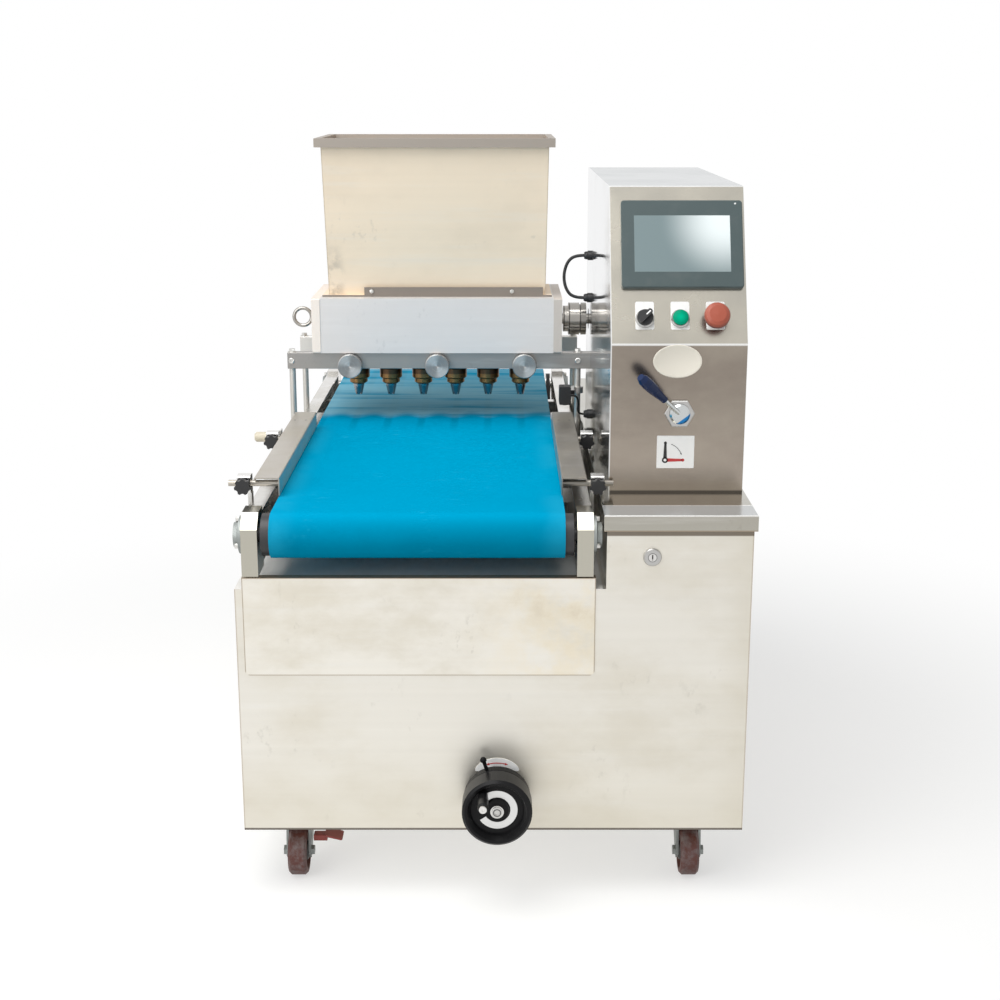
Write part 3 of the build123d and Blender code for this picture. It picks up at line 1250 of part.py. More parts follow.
def feed_gear(y, start_angle):
    """Spur gear on a roller's left end."""
    module = ROLLER_SPACING / FEED_TEETH
    x = head_x(-1, PUMP_HALF - PUMP_END + GEAR_POCKET - CLEAR)
    plane = Plane(origin=(x, y, ROLLER_Z), x_dir=(0, 1, 0), z_dir=(1, 0, 0))
    gear = extrude(plane * gear_outline(FEED_TEETH, module, start_angle), FEED_GEAR)
    return gear - rod((x - PAST, y, ROLLER_Z), (x + FEED_GEAR + PAST, y, ROLLER_Z), ROLLER_SHAFT_RADIUS)


def shaft_coupling():
    """Sleeve coupling between the pump and its motor, stepped at the pump and grooved at the motor."""
    x0 = head_x(1, PUMP_HALF) + COUPLING_GAP
    length = CONSOLE_LEFT_X - COUPLING_GAP - x0
    groove = length - COUPLING_NECK
    profile = [
        (ROLLER_SHAFT_RADIUS, 0),
        (COUPLING_NECK_RADIUS, 0),
        (COUPLING_NECK_RADIUS, COUPLING_NECK),
        (COUPLING_RADIUS, COUPLING_NECK),
        (COUPLING_RADIUS, groove - COUPLING_GROOVE),
        (COUPLING_RADIUS - COUPLING_GROOVE, groove - COUPLING_GROOVE),
        (COUPLING_RADIUS - COUPLING_GROOVE, groove),
        (COUPLING_RADIUS, groove),
        (COUPLING_RADIUS, length),
        (ROLLER_SHAFT_RADIUS, length),
    ]
    return turned(profile, Plane(origin=(x0, DRIVEN_Y, ROLLER_Z), z_dir=(1, 0, 0)))


def nozzle_manifold():
    """Plate under the feed block that spreads the dough to the nozzles."""
    plate = block(
        head_x(-1, MANIFOLD_HALF_X), head_x(1, MANIFOLD_HALF_X),
        MANIFOLD_FRONT_Y, MANIFOLD_BACK_Y, MANIFOLD_BOTTOM_Z, BAR_TOP_Z,
    )
    half = MANIFOLD_HALF_X - MANIFOLD_END
    plate -= block(
        head_x(-1, half), head_x(1, half), ROLLER_Y - OUTLET_HALF, ROLLER_Y + OUTLET_HALF,
        (MANIFOLD_BOTTOM_Z + BAR_TOP_Z) / 2, BAR_TOP_Z + PAST,
    )
    for x in NOZZLE_XS:
        plate -= rod((x, ROLLER_Y, MANIFOLD_BOTTOM_Z - PAST), (x, ROLLER_Y, BAR_TOP_Z), NOZZLE_BORE)
    for x in HEAD_KNOB_XS:
        end = (x, MANIFOLD_FRONT_Y + HEAD_SCREW_DEPTH, HEAD_KNOB_Z)
        plate -= rod((x, MANIFOLD_FRONT_Y - PAST, HEAD_KNOB_Z), end, HEAD_SCREW_RADIUS + RUN)
    return plate


def nozzle_holders():
    """Brass nozzle nuts: a neck, a wide ring and a collar that tapers to the tip."""
    ring_top = -NOZZLE_NECK
    ring_end = ring_top - NOZZLE_NUT
    collar_end = ring_end - NOZZLE_COLLAR
    end = collar_end - NOZZLE_TAPER
    profile = [
        (NOZZLE_BORE, 0),
        (NOZZLE_NECK_RADIUS, 0),
        (NOZZLE_NECK_RADIUS, ring_top),
        (NOZZLE_NUT_RADIUS, ring_top - NOZZLE_NUT_BEVEL),
        (NOZZLE_NUT_RADIUS, ring_end + NOZZLE_NUT_BEVEL),
        (NOZZLE_NUT_RADIUS - NOZZLE_NUT_BEVEL, ring_end),
        (NOZZLE_COLLAR_RADIUS, ring_end - NOZZLE_NUT_STEP),
        (NOZZLE_COLLAR_RADIUS, collar_end),
        (NOZZLE_TIP_RADIUS + NOZZLE_SEAT_WALL, end),
        (NOZZLE_BORE, end),
    ]
    return group(turned(profile, Plane(origin=(x, ROLLER_Y, MANIFOLD_BOTTOM_Z))) for x in NOZZLE_XS)


def nozzle_tip(x):
    """Steel cone with a star-shaped mouth."""
    profile = [
        (NOZZLE_BORE, 0),
        (NOZZLE_TIP_RADIUS, 0),
        (NOZZLE_TIP_RADIUS - NOZZLE_TIP_STEP, -NOZZLE_TIP_COLLAR),
        (NOZZLE_MOUTH_RADIUS, -NOZZLE_TIP),
        (NOZZLE_MOUTH_RADIUS - NOZZLE_MOUTH_WALL, -NOZZLE_TIP),
    ]
    tip = turned(profile, Plane(origin=(x, ROLLER_Y, NOZZLE_SEAT_Z)))
    notch = Box(3 * NOZZLE_TIP_RADIUS, NOZZLE_NOTCH, 2 * NOZZLE_NOTCH_DEPTH)
    for cut in range(NOZZLE_TEETH // 2):
        tip -= Pos(x, ROLLER_Y, NOZZLE_TIP_Z) * Rot(0, 0, cut * 360 / NOZZLE_TEETH) * notch
    return tip


def head_knob(x):
    """Turned knob whose screw clamps the manifold through the front bar."""
    front = FRONT_BAR_Y - BAR_THICKNESS / 2 - HEAD_KNOB_GAP
    face = towards_operator(x, front, HEAD_KNOB_Z)
    end = front - MANIFOLD_FRONT_Y - HEAD_SCREW_DEPTH + FREE
    profile = [
        (0, end),
        (HEAD_SCREW_RADIUS, end),
        (HEAD_SCREW_RADIUS, 0),
        (HEAD_KNOB_RADIUS - HEAD_KNOB_BACK_BEVEL, 0),
        (HEAD_KNOB_RADIUS, HEAD_KNOB_BACK_BEVEL),
        (HEAD_KNOB_RADIUS, HEAD_KNOB_THICKNESS - HEAD_KNOB_BEVEL),
        (HEAD_KNOB_RADIUS - HEAD_KNOB_BEVEL, HEAD_KNOB_THICKNESS),
        (0, HEAD_KNOB_THICKNESS - HEAD_KNOB_DISH),
    ]
    return turned(profile, face)


def hopper_section(z, half_x, y0, y1):
    """One level of the hopper's rectangular funnel."""
    corners = [(-half_x, y0), (half_x, y0), (half_x, y1), (-half_x, y1)]
    return make_face(Polyline(*[(HEAD_CENTRE_X + x, y, z) for x, y in corners], close=True))


def hopper():
    """Folded funnel with a rolled rim and a foot flange on the feed block."""
    t = HOPPER_SHEET
    walls = []
    for inset in (0, t):
        low = hopper_section(
            PUMP_TOP_Z, HOPPER_BOTTOM_X - inset, HOPPER_BOTTOM_FRONT_Y + inset, HOPPER_BOTTOM_BACK_Y - inset
        )
        high = hopper_section(
            HOPPER_TOP_Z, HOPPER_TOP_X - inset, HOPPER_TOP_FRONT_Y + inset, HOPPER_TOP_BACK_Y - inset
        )
        walls.append(loft([low, high], ruled=True))
    outer, inner = walls
    rim = block(
        head_x(-1, HOPPER_TOP_X + HOPPER_RIM), head_x(1, HOPPER_TOP_X + HOPPER_RIM),
        HOPPER_TOP_FRONT_Y - HOPPER_RIM, HOPPER_TOP_BACK_Y + HOPPER_RIM,
        HOPPER_TOP_Z - HOPPER_RIM_HEIGHT, HOPPER_TOP_Z,
    )
    rim -= block(
        head_x(-1, HOPPER_TOP_X + HOPPER_RIM - t), head_x(1, HOPPER_TOP_X + HOPPER_RIM - t),
        HOPPER_TOP_FRONT_Y - HOPPER_RIM + t, HOPPER_TOP_BACK_Y + HOPPER_RIM - t,
        HOPPER_TOP_Z - 2 * HOPPER_RIM_HEIGHT, HOPPER_TOP_Z - t,
    )
    foot = block(
        head_x(-1, HOPPER_BOTTOM_X + HOPPER_FOOT), head_x(1, HOPPER_BOTTOM_X + HOPPER_FOOT),
        HOPPER_BOTTOM_FRONT_Y - HOPPER_FOOT, HOPPER_BOTTOM_BACK_Y + HOPPER_FOOT,
        PUMP_TOP_Z, PUMP_TOP_Z + HOPPER_FOOT_THICKNESS,
    )
    return outer + rim + foot - inner


def hopper_strip():
    """Upright strip along the front of the hopper's foot."""
    y0 = HOPPER_BOTTOM_FRONT_Y - HOPPER_FOOT
    z0 = PUMP_TOP_Z + HOPPER_FOOT_THICKNESS
    x0, x1 = head_x(-1, STRIP_LEFT), head_x(1, STRIP_RIGHT)
    return block(x0, x1, y0, y0 + HOPPER_FOOT_THICKNESS, z0, z0 + STRIP_HEIGHT)


def lifting_eye():
    """Eye bolt on the feed block's left end."""
    start = head_x(-1, PUMP_HALF)
    ring_x = start - EYEBOLT_SHANK - EYEBOLT_RING
    ring = Plane(origin=(ring_x, ROLLER_Y, ROLLER_Z), z_dir=(0, 1, 0)) * Torus(EYEBOLT_RING, EYEBOLT_WIRE)
    shank = rod((start, ROLLER_Y, ROLLER_Z), (start - EYEBOLT_SHANK, ROLLER_Y, ROLLER_Z), EYEBOLT_WIRE)
    collar_end = (start - EYEBOLT_COLLAR, ROLLER_Y, ROLLER_Z)
    collar = rod((start, ROLLER_Y, ROLLER_Z), collar_end, EYEBOLT_COLLAR_RADIUS)
    return ring + shank + collar


# Console
CONSOLE_INSET = 10.0
CONSOLE_LEFT_X = RAISED_LEFT_X + CONSOLE_INSET
CONSOLE_RIGHT_X = HALF_WIDTH
CONSOLE_FRONT_Y = -440.0
CONSOLE_BACK_Y = 260.0
CONSOLE_FOOT_Z = RAISED_TOP_Z + SHEET
CONSOLE_FOLD_Z = 868.0
CONSOLE_TOP_Z = 1103.0
CONSOLE_LEAN = 110.0
CONSOLE_SHEET = 2.0
CONSOLE_BACK_MARGIN = 22.0
CONTROL_OFFSET_X = 2.0
SCREEN_OFFSET_X = 5.0
SCREEN_FRAME_WIDTH = 190.0
SCREEN_FRAME_HEIGHT = 143.0
SCREEN_FRAME_PROUD = 9.0
SCREEN_FRAME_UP = 161.0
SCREEN_FRAME_CORNER = 5.0
SCREEN_FRAME_BEVEL = 1.5
SCREEN_BODY_WIDTH = 174.0
SCREEN_BODY_HEIGHT = 130.0
SCREEN_BODY_DEPTH = 36.0
SCREEN_WIDTH = 150.0
SCREEN_HEIGHT = 92.0
SCREEN_GLASS = 1.2
BUTTON_UP = 41.0
BUTTON_PITCH = 55.0
BUTTON_BARREL_RADIUS = 11.0
BUTTON_BORE = 9.0
BUTTON_FLANGE_RADIUS = 14.5
BUTTON_FLANGE = 7.0
BUTTON_BARREL = 34.0
BUTTON_BEVEL = 2.0
BUTTON_STEM = 20.0
SELECTOR_SKIRT = 5.0
SELECTOR_ANGLE = 45.0
SELECTOR_BAR_LENGTH = 26.0
SELECTOR_BAR_WIDTH = 8.0
SELECTOR_BAR_CORNER = 3.0
SELECTOR_BAR_HEIGHT = 10.0
STOP_RADIUS = 20.0
STOP_TRAVEL = 5.0
STOP_PROUD = 1.0
STOP_UNDER_BEVEL = 3.0
STOP_SHOULDER = (2.0, 14.0)
STOP_CROWN = (7.0, 16.5)
STOP_EDGE = 10.0
STOP_HEIGHT = 17.5
START_TRAVEL = 3.0
START_PROUD = 1.0
START_BEVEL = 1.5
CONTACT_BLOCK = (32.0, 40.0, 30.0)
LEVER_OFFSET_X = 1.0
LEVER_Z = 760.0
LEVER_FLANGE_RADIUS = 24.0
LEVER_FLANGE = 6.0
LEVER_FLANGE_BEVEL = 1.2
LEVER_RECESS_FLOOR = 2.0
LEVER_SLEEVE = 24.0
LEVER_DISC_RADIUS = 16.0
LEVER_DISC_EDGE = 9.0
LEVER_DISC_BEVEL = 3.0
LEVER_DISC_CROWN = 1.0
LEVER_SHAFT_RADIUS = 8.0
LEVER_SHAFT = 46.0
LEVER_SLEEVE_RADIUS = 13.0
LEVER_ROD_RADIUS = 4.0
LEVER_TILT = 28.0
LEVER_TURN = 135.0
LEVER_ROD_LENGTH = 42.0
LEVER_ROD_ROOT = 8.0
LEVER_ROD_GRIPPED = 30.0
LEVER_GRIP_LENGTH = 66.0
LEVER_GRIP_RADIUS = 9.5
PUMP_MOTOR_SIZE = 100.0
PUMP_MOTOR_LENGTH = 150.0
PUMP_MOTOR_SHAFT = 34.0
PUMP_GEARBOX = 60.0
PUMP_CAN_RADIUS = 40.0
PUMP_BORE = 40.0
PUMP_BORE_GAP = 2.0
PUMP_STAND_SHEET = 4.0
SENSOR_INSET = 8.0
SENSOR_WIDTH = 22.0
SENSOR_Y = (62.0, 90.0)
SENSOR_Z = (674.0, 708.0)
SENSOR_ARM = 12.0
SENSOR_ARM_IN = 4.0
SENSOR_ARM_OUT = 8.0
SENSOR_CLAMP_WALL = 5.0
SENSOR_CLAMP_SLOT = 2.0
SENSOR_ARM_ROOT = 2.0
SENSOR_ROUND = 2.5
SENSOR_LENS_RADIUS = 5.0
SENSOR_LENS_AT = 12.0
SENSOR_LENS_PROUD = 2.0
GLAND_RADIUS = 9.0
GLAND_LENGTH = 12.0
GLAND_BARREL = 8.0
GLAND_NECK = 3.0
GLAND_NUT = 5.0
GLAND_STEP = 1.5
GLAND_DOME = (6.0, 9.0)
BEND_SHARE = 0.45
SENSOR_CABLE_RADIUS = 2.0
LOOP_CABLE_RADIUS = 3.0

SENSOR_X = (TABLE_RIGHT_X - SENSOR_INSET - SENSOR_WIDTH, TABLE_RIGHT_X - SENSOR_INSET)
IDLE_SHAFT_END_X = head_x(1, PUMP_HALF - ROLLER_SHAFT_SHORT)
DRIVEN_SHAFT_END_X = CONSOLE_LEFT_X + PUMP_MOTOR_SHAFT + PUMP_BORE - PUMP_BORE_GAP
CONSOLE_MID_X = (CONSOLE_LEFT_X + CONSOLE_RIGHT_X) / 2 + CONTROL_OFFSET_X
LEVER_X = CONSOLE_MID_X + LEVER_OFFSET_X
SLOPE_RISE = CONSOLE_TOP_Z - CONSOLE_FOLD_Z
SLOPE = Plane(
    origin=(CONSOLE_MID_X, CONSOLE_FRONT_Y, CONSOLE_FOLD_Z),
    x_dir=(1, 0, 0),
    z_dir=(0, -SLOPE_RISE, CONSOLE_LEAN),
)
BUTTON_USES = {"selector": -1, "start": 0, "stop": 1}
GLANDS = {"sensor": (96.0, 650.0), "loop_top": (150.0, 945.0), "loop_low": (150.0, 865.0)}
GLAND_MOUTH_X = CONSOLE_LEFT_X - GLAND_LENGTH

# Cable routes, from the piece that the cable leaves to the gland that it enters
SENSOR_CABLE = [
    (144.0, 76.0, 690.0), (152.0, 76.0, 690.0), (158.0, 79.5, 683.0), (159.5, 86.0, 670.0),
    (158.0, 92.0, 658.0), (162.5, 96.0, 650.0), (170.0, 96.0, 650.0),
]
LOOP_CABLE = [
    (170.0, 150.0, 945.0), (152.0, 150.0, 945.0), (137.5, 151.0, 932.0), (131.0, 152.5, 906.0),
    (136.0, 151.5, 880.0), (150.5, 150.0, 865.0), (170.0, 150.0, 865.0),
]


def console_face():
    """Side outline of the console, with its sloped control panel."""
    outline = [
        (CONSOLE_FRONT_Y, CONSOLE_FOOT_Z),
        (CONSOLE_FRONT_Y, CONSOLE_FOLD_Z),
        (CONSOLE_FRONT_Y + CONSOLE_LEAN, CONSOLE_TOP_Z),
        (CONSOLE_BACK_Y, CONSOLE_TOP_Z),
        (CONSOLE_BACK_Y, CONSOLE_FOOT_Z),
    ]
    return make_face(Polyline(*[(CONSOLE_LEFT_X, y, z) for y, z in outline], close=True))


def on_slope(across, up):
    """A place on the control panel, measured from the fold's middle."""
    return SLOPE * Pos(across, up, 0)


def console_shell():
    """Welded sheet console, open below and behind, cut out for the controls, the drive and the cables."""
    face = console_face()
    width = CONSOLE_RIGHT_X - CONSOLE_LEFT_X
    t = CONSOLE_SHEET
    shell = extrude(face, width, dir=(1, 0, 0))
    hollow = extrude(offset(face, -t, kind=Kind.INTERSECTION), width - 2 * t, dir=(1, 0, 0))
    shell -= Pos(t, 0, 0) * hollow
    x0, x1 = CONSOLE_LEFT_X + CONSOLE_BACK_MARGIN, CONSOLE_RIGHT_X - CONSOLE_BACK_MARGIN
    y0, y1 = CONSOLE_FRONT_Y + 4 * t, CONSOLE_BACK_Y - 4 * t
    shell -= block(x0, x1, y0, y1, CONSOLE_FOOT_Z - t, CONSOLE_FOOT_Z + 2 * t)
    z0, z1 = CONSOLE_FOOT_Z + CONSOLE_BACK_MARGIN, CONSOLE_TOP_Z - CONSOLE_BACK_MARGIN
    shell -= block(x0, x1, CONSOLE_BACK_Y - 2 * t, CONSOLE_BACK_Y + t, z0, z1)
    shell -= on_slope(SCREEN_OFFSET_X, SCREEN_FRAME_UP) * Box(SCREEN_BODY_WIDTH, SCREEN_BODY_HEIGHT, 4 * t)
    for place in BUTTON_USES.values():
        shell -= on_slope(place * BUTTON_PITCH, BUTTON_UP) * Cylinder(BUTTON_BARREL_RADIUS, 4 * t)
    lever_axis = towards_operator(LEVER_X, CONSOLE_FRONT_Y, LEVER_Z)
    shell -= lever_axis * Cylinder(LEVER_SLEEVE_RADIUS, 6 * t)
    drive_hole = (CONSOLE_LEFT_X + 2 * t, DRIVEN_Y, ROLLER_Z)
    shell -= rod((CONSOLE_LEFT_X - t, DRIVEN_Y, ROLLER_Z), drive_hole, 2 * ROLLER_SHAFT_RADIUS)
    for y, z in GLANDS.values():
        shell -= rod((CONSOLE_LEFT_X - t, y, z), (CONSOLE_LEFT_X + 2 * t, y, z), GLAND_RADIUS - GLAND_NECK)
    return shell


def console_back():
    """Screwed rear cover of the console."""
    cover = block(
        CONSOLE_LEFT_X, CONSOLE_RIGHT_X, CONSOLE_BACK_Y, CONSOLE_BACK_Y + CONSOLE_SHEET,
        CONSOLE_FOOT_Z, CONSOLE_TOP_Z,
    )
    x = (CONSOLE_LEFT_X + CONSOLE_RIGHT_X) / 2
    across = (x - VENT_WIDTH / 2, x + VENT_WIDTH / 2)
    for row in range(VENT_COUNT):
        z = CONSOLE_TOP_Z - 3 * CONSOLE_BACK_MARGIN - row * VENT_PITCH
        cover -= block(*across, CONSOLE_BACK_Y - PAST, CONSOLE_BACK_Y + PAST, z - VENT_HEIGHT, z)
    return cover


def screen_frame():
    """Touch screen's moulded housing: a frame on the panel and a body through it."""
    place = on_slope(SCREEN_OFFSET_X, SCREEN_FRAME_UP)
    outline = RectangleRounded(SCREEN_FRAME_WIDTH, SCREEN_FRAME_HEIGHT, SCREEN_FRAME_CORNER)
    frame = extrude(outline, SCREEN_FRAME_PROUD)
    frame = chamfer(frame.edges().group_by(Axis.Z)[-1], SCREEN_FRAME_BEVEL)
    frame -= Pos(0, 0, SCREEN_FRAME_PROUD) * Box(SCREEN_WIDTH, SCREEN_HEIGHT, 2 * SCREEN_GLASS)
    body = Pos(0, 0, -SCREEN_BODY_DEPTH / 2) * Box(SCREEN_BODY_WIDTH, SCREEN_BODY_HEIGHT, SCREEN_BODY_DEPTH)
    return place * (frame + body)


def screen_glass():
    """Glass in the touch screen's frame."""
    level = SCREEN_FRAME_PROUD - SCREEN_GLASS / 2
    glass = Pos(0, 0, level) * Box(SCREEN_WIDTH, SCREEN_HEIGHT, SCREEN_GLASS)
    return on_slope(SCREEN_OFFSET_X, SCREEN_FRAME_UP) * glass


def button_bezel(place):
    """Chromed bezel whose barrel goes through the panel."""
    bore = BUTTON_BORE + CLEAR
    profile = [
        (bore, -BUTTON_BARREL),
        (BUTTON_BARREL_RADIUS, -BUTTON_BARREL),
        (BUTTON_BARREL_RADIUS, 0),
        (BUTTON_FLANGE_RADIUS, 0),
        (BUTTON_FLANGE_RADIUS, BUTTON_FLANGE - BUTTON_BEVEL),
        (BUTTON_FLANGE_RADIUS - BUTTON_BEVEL, BUTTON_FLANGE),
        (bore, BUTTON_FLANGE),
    ]
    return on_slope(place * BUTTON_PITCH, BUTTON_UP) * turned(profile, Plane.XY)


def contact_block(place):
    """Switch block on the back of a bezel."""
    depth = CONTACT_BLOCK[2]
    contacts = Pos(0, 0, -BUTTON_BARREL - depth / 2) * Box(*CONTACT_BLOCK)
    return on_slope(place * BUTTON_PITCH, BUTTON_UP) * contacts


def selector_knob():
    """Two-position selector with a raised finger bar."""
    seat = BUTTON_FLANGE + CLEAR
    stem = turned([(0, -BUTTON_STEM), (BUTTON_BORE, -BUTTON_STEM), (BUTTON_BORE, seat), (0, seat)], Plane.XY)
    skirt = Pos(0, 0, seat) * extrude(Circle(BUTTON_FLANGE_RADIUS - BUTTON_BEVEL), SELECTOR_SKIRT)
    outline = RectangleRounded(SELECTOR_BAR_LENGTH, SELECTOR_BAR_WIDTH, SELECTOR_BAR_CORNER)
    bar = Rot(0, 0, SELECTOR_ANGLE) * extrude(outline, SELECTOR_BAR_HEIGHT)
    bar = Pos(0, 0, seat + SELECTOR_SKIRT) * bar
    return on_slope(BUTTON_USES["selector"] * BUTTON_PITCH, BUTTON_UP) * (stem + skirt + bar)


def start_button():
    """Push button with a flat lens."""
    top = BUTTON_FLANGE + START_TRAVEL + START_PROUD
    profile = [
        (0, -BUTTON_STEM),
        (BUTTON_BORE, -BUTTON_STEM),
        (BUTTON_BORE, top - START_BEVEL),
        (BUTTON_BORE - START_BEVEL, top),
        (0, top),
    ]
    return on_slope(BUTTON_USES["start"] * BUTTON_PITCH, BUTTON_UP) * turned(profile, Plane.XY)


def stop_button():
    """Mushroom push button."""
    under = BUTTON_FLANGE + STOP_TRAVEL + STOP_PROUD
    shoulder_in, shoulder_up = STOP_SHOULDER
    crown_in, crown_up = STOP_CROWN
    profile = [
        (0, -BUTTON_STEM),
        (BUTTON_BORE, -BUTTON_STEM),
        (BUTTON_BORE, under),
        (STOP_RADIUS - STOP_UNDER_BEVEL, under),
        (STOP_RADIUS, under + STOP_UNDER_BEVEL),
        (STOP_RADIUS, under + STOP_EDGE),
        (STOP_RADIUS - shoulder_in, under + shoulder_up),
        (STOP_RADIUS - crown_in, under + crown_up),
        (0, under + STOP_HEIGHT),
    ]
    return on_slope(BUTTON_USES["stop"] * BUTTON_PITCH, BUTTON_UP) * turned(profile, Plane.XY)


def lever_flange():
    """Six-sided flange with the lever's bearing sleeve through the panel."""
    face = towards_operator(LEVER_X, CONSOLE_FRONT_Y, LEVER_Z)
    plate = extrude(face * RegularPolygon(LEVER_FLANGE_RADIUS, 6), LEVER_FLANGE)
    plate = chamfer(plate.edges().group_by(Axis.Y)[0], LEVER_FLANGE_BEVEL)
    sleeve = extrude(face * Circle(LEVER_SLEEVE_RADIUS), -LEVER_SLEEVE)
    recess = Cylinder(LEVER_DISC_RADIUS + CLEAR, 2 * (LEVER_FLANGE - LEVER_RECESS_FLOOR))
    recess = face * Pos(0, 0, LEVER_FLANGE) * recess
    bore = face * Cylinder(LEVER_SHAFT_RADIUS + RUN, 4 * LEVER_SLEEVE)
    return plate + sleeve - recess - bore


def lever_hub():
    """Lever's turning disc and shaft, with its rod."""
    face = towards_operator(LEVER_X, CONSOLE_FRONT_Y, LEVER_Z)
    seat = LEVER_RECESS_FLOOR + CLEAR
    front = LEVER_DISC_EDGE + LEVER_DISC_BEVEL
    profile = [
        (0, -LEVER_SHAFT),
        (LEVER_SHAFT_RADIUS, -LEVER_SHAFT),
        (LEVER_SHAFT_RADIUS, seat),
        (LEVER_DISC_RADIUS, seat),
        (LEVER_DISC_RADIUS, LEVER_DISC_EDGE),
        (LEVER_DISC_RADIUS - LEVER_DISC_BEVEL, front),
        (0, front + LEVER_DISC_CROWN),
    ]
    rod_end = lever_point(LEVER_ROD_LENGTH + LEVER_ROD_GRIPPED)
    return turned(profile, face) + rod(lever_point(0), rod_end, LEVER_ROD_RADIUS)


def lever_point(distance):
    """A place along the lever's tilted rod."""
    out = sin(radians(LEVER_TILT)) * distance
    flat = cos(radians(LEVER_TILT)) * distance
    turn = radians(LEVER_TURN)
    return (LEVER_X + flat * cos(turn), CONSOLE_FRONT_Y - LEVER_ROD_ROOT - out, LEVER_Z + flat * sin(turn))


def lever_grip():
    """Moulded grip that swells towards its end."""
    start = Vector(*lever_point(LEVER_ROD_LENGTH))
    end = Vector(*lever_point(LEVER_ROD_LENGTH + LEVER_GRIP_LENGTH))
    r = LEVER_GRIP_RADIUS
    length = LEVER_GRIP_LENGTH
    profile = [
        (LEVER_ROD_RADIUS, 0),
        (0.6 * r, 0),
        (0.62 * r, 0.1 * length),
        (0.9 * r, 0.45 * length),
        (r, 0.7 * length),
        (0.92 * r, 0.88 * length),
        (0.6 * r, length),
        (0, length),
        (0, LEVER_ROD_GRIPPED),
        (LEVER_ROD_RADIUS, LEVER_ROD_GRIPPED),
    ]
    return turned(profile, Plane(origin=start, z_dir=end - start))


def pump_motor():
    """Gear motor in the console that drives the feed rollers."""
    half = PUMP_MOTOR_SIZE / 2
    x0 = CONSOLE_LEFT_X + PUMP_MOTOR_SHAFT
    x1 = x0 + PUMP_GEARBOX
    box = block(x0, x1, DRIVEN_Y - half, DRIVEN_Y + half, ROLLER_Z - half, ROLLER_Z + half)
    can = rod((x1, DRIVEN_Y, ROLLER_Z), (x0 + PUMP_MOTOR_LENGTH, DRIVEN_Y, ROLLER_Z), PUMP_CAN_RADIUS)
    bore_end = (x0 + PUMP_BORE, DRIVEN_Y, ROLLER_Z)
    bore = rod((x0 - PAST, DRIVEN_Y, ROLLER_Z), bore_end, ROLLER_SHAFT_RADIUS + RUN)
    return box + can - bore


def pump_motor_stand():
    """Folded stand under the motor, on the lid."""
    half = PUMP_MOTOR_SIZE / 2
    x0 = CONSOLE_LEFT_X + PUMP_MOTOR_SHAFT
    y0, y1 = DRIVEN_Y - half, DRIVEN_Y + half
    x1 = x0 + PUMP_GEARBOX
    z0, z1 = CONSOLE_FOOT_Z, ROLLER_Z - half
    t = PUMP_STAND_SHEET
    stand = block(x0, x1, y0, y1, z0, z1)
    return stand - block(x0 + t, x1 - t, y0 - PAST, y1 + PAST, z0 + t, z1 - t)


def sensor_bracket():
    """Split clamp on the right front post, with an arm to the tray sensor."""
    x = table_x(1, POST_OFFSET)
    z = (SENSOR_Z[0] + SENSOR_Z[1]) / 2
    half = SENSOR_ARM / 2
    low, high = (x, FRONT_BAR_Y, z - half), (x, FRONT_BAR_Y, z + half)
    ring = tube(low, high, POST_RADIUS + SENSOR_CLAMP_WALL, POST_RADIUS)
    across = (SENSOR_X[1] - SENSOR_ARM_IN, SENSOR_X[1] + SENSOR_ARM_OUT)
    arm = block(*across, SENSOR_Y[1], FRONT_BAR_Y, z - half, z + half)
    arm -= rod(low, high, POST_RADIUS + SENSOR_ARM_ROOT)
    gap = SENSOR_CLAMP_SLOT / 2
    slot = block(x - gap, x + gap, FRONT_BAR_Y, FRONT_BAR_Y + 2 * POST_RADIUS, z - half, z + half)
    return ring + arm - slot


def tray_sensor():
    """Small light sensor that sees a tray arrive."""
    sensor = block(*SENSOR_X, *SENSOR_Y, *SENSOR_Z)
    sensor = fillet(sensor.edges().filter_by(Axis.Y), SENSOR_ROUND)
    x = (SENSOR_X[0] + SENSOR_X[1]) / 2
    y = SENSOR_Y[0] + SENSOR_LENS_AT
    z = SENSOR_Z[0]
    lens = rod((x, y, z + SENSOR_LENS_PROUD), (x, y, z - SENSOR_LENS_PROUD), SENSOR_LENS_RADIUS)
    return sensor + lens


def cable_gland(y, z):
    """Cable gland on the console's left wall: a nut, a dome and a barrel through the sheet."""
    neck = GLAND_RADIUS - GLAND_NECK
    dome_start, dome_end = GLAND_DOME
    profile = [
        (0, -GLAND_BARREL),
        (neck, -GLAND_BARREL),
        (neck, 0),
        (GLAND_RADIUS, 0),
        (GLAND_RADIUS, GLAND_NUT),
        (GLAND_RADIUS - GLAND_STEP, dome_start),
        (GLAND_RADIUS - GLAND_STEP, dome_end),
        (neck, GLAND_LENGTH),
        (0, GLAND_LENGTH),
    ]
    return turned(profile, Plane(origin=(CONSOLE_LEFT_X, y, z), z_dir=(-1, 0, 0)))


def cable(points, radius):
    """A cable along its route, with each bend as large as its runs allow."""
    radii = []
    for before, corner, after in zip(points, points[1:], points[2:]):
        first = Vector(*corner) - Vector(*before)
        second = Vector(*after) - Vector(*corner)
        half_turn = radians(first.get_angle(second)) / 2
        radii.append(BEND_SHARE * min(first.length, second.length) / tan(half_turn))
    path = FilletPolyline(*points, radius=radii)
    start = Plane(origin=points[0], z_dir=Vector(*points[1]) - Vector(*points[0]))
    solid = sweep(start * Circle(radius), path=path)
    expected = pi * radius ** 2 * path.length
    bends = [round(r, 1) for r in radii]
    print(f"cable: radii {bends}, length {path.length:.1f}, volume {solid.volume / expected:.4f}")
    return solid


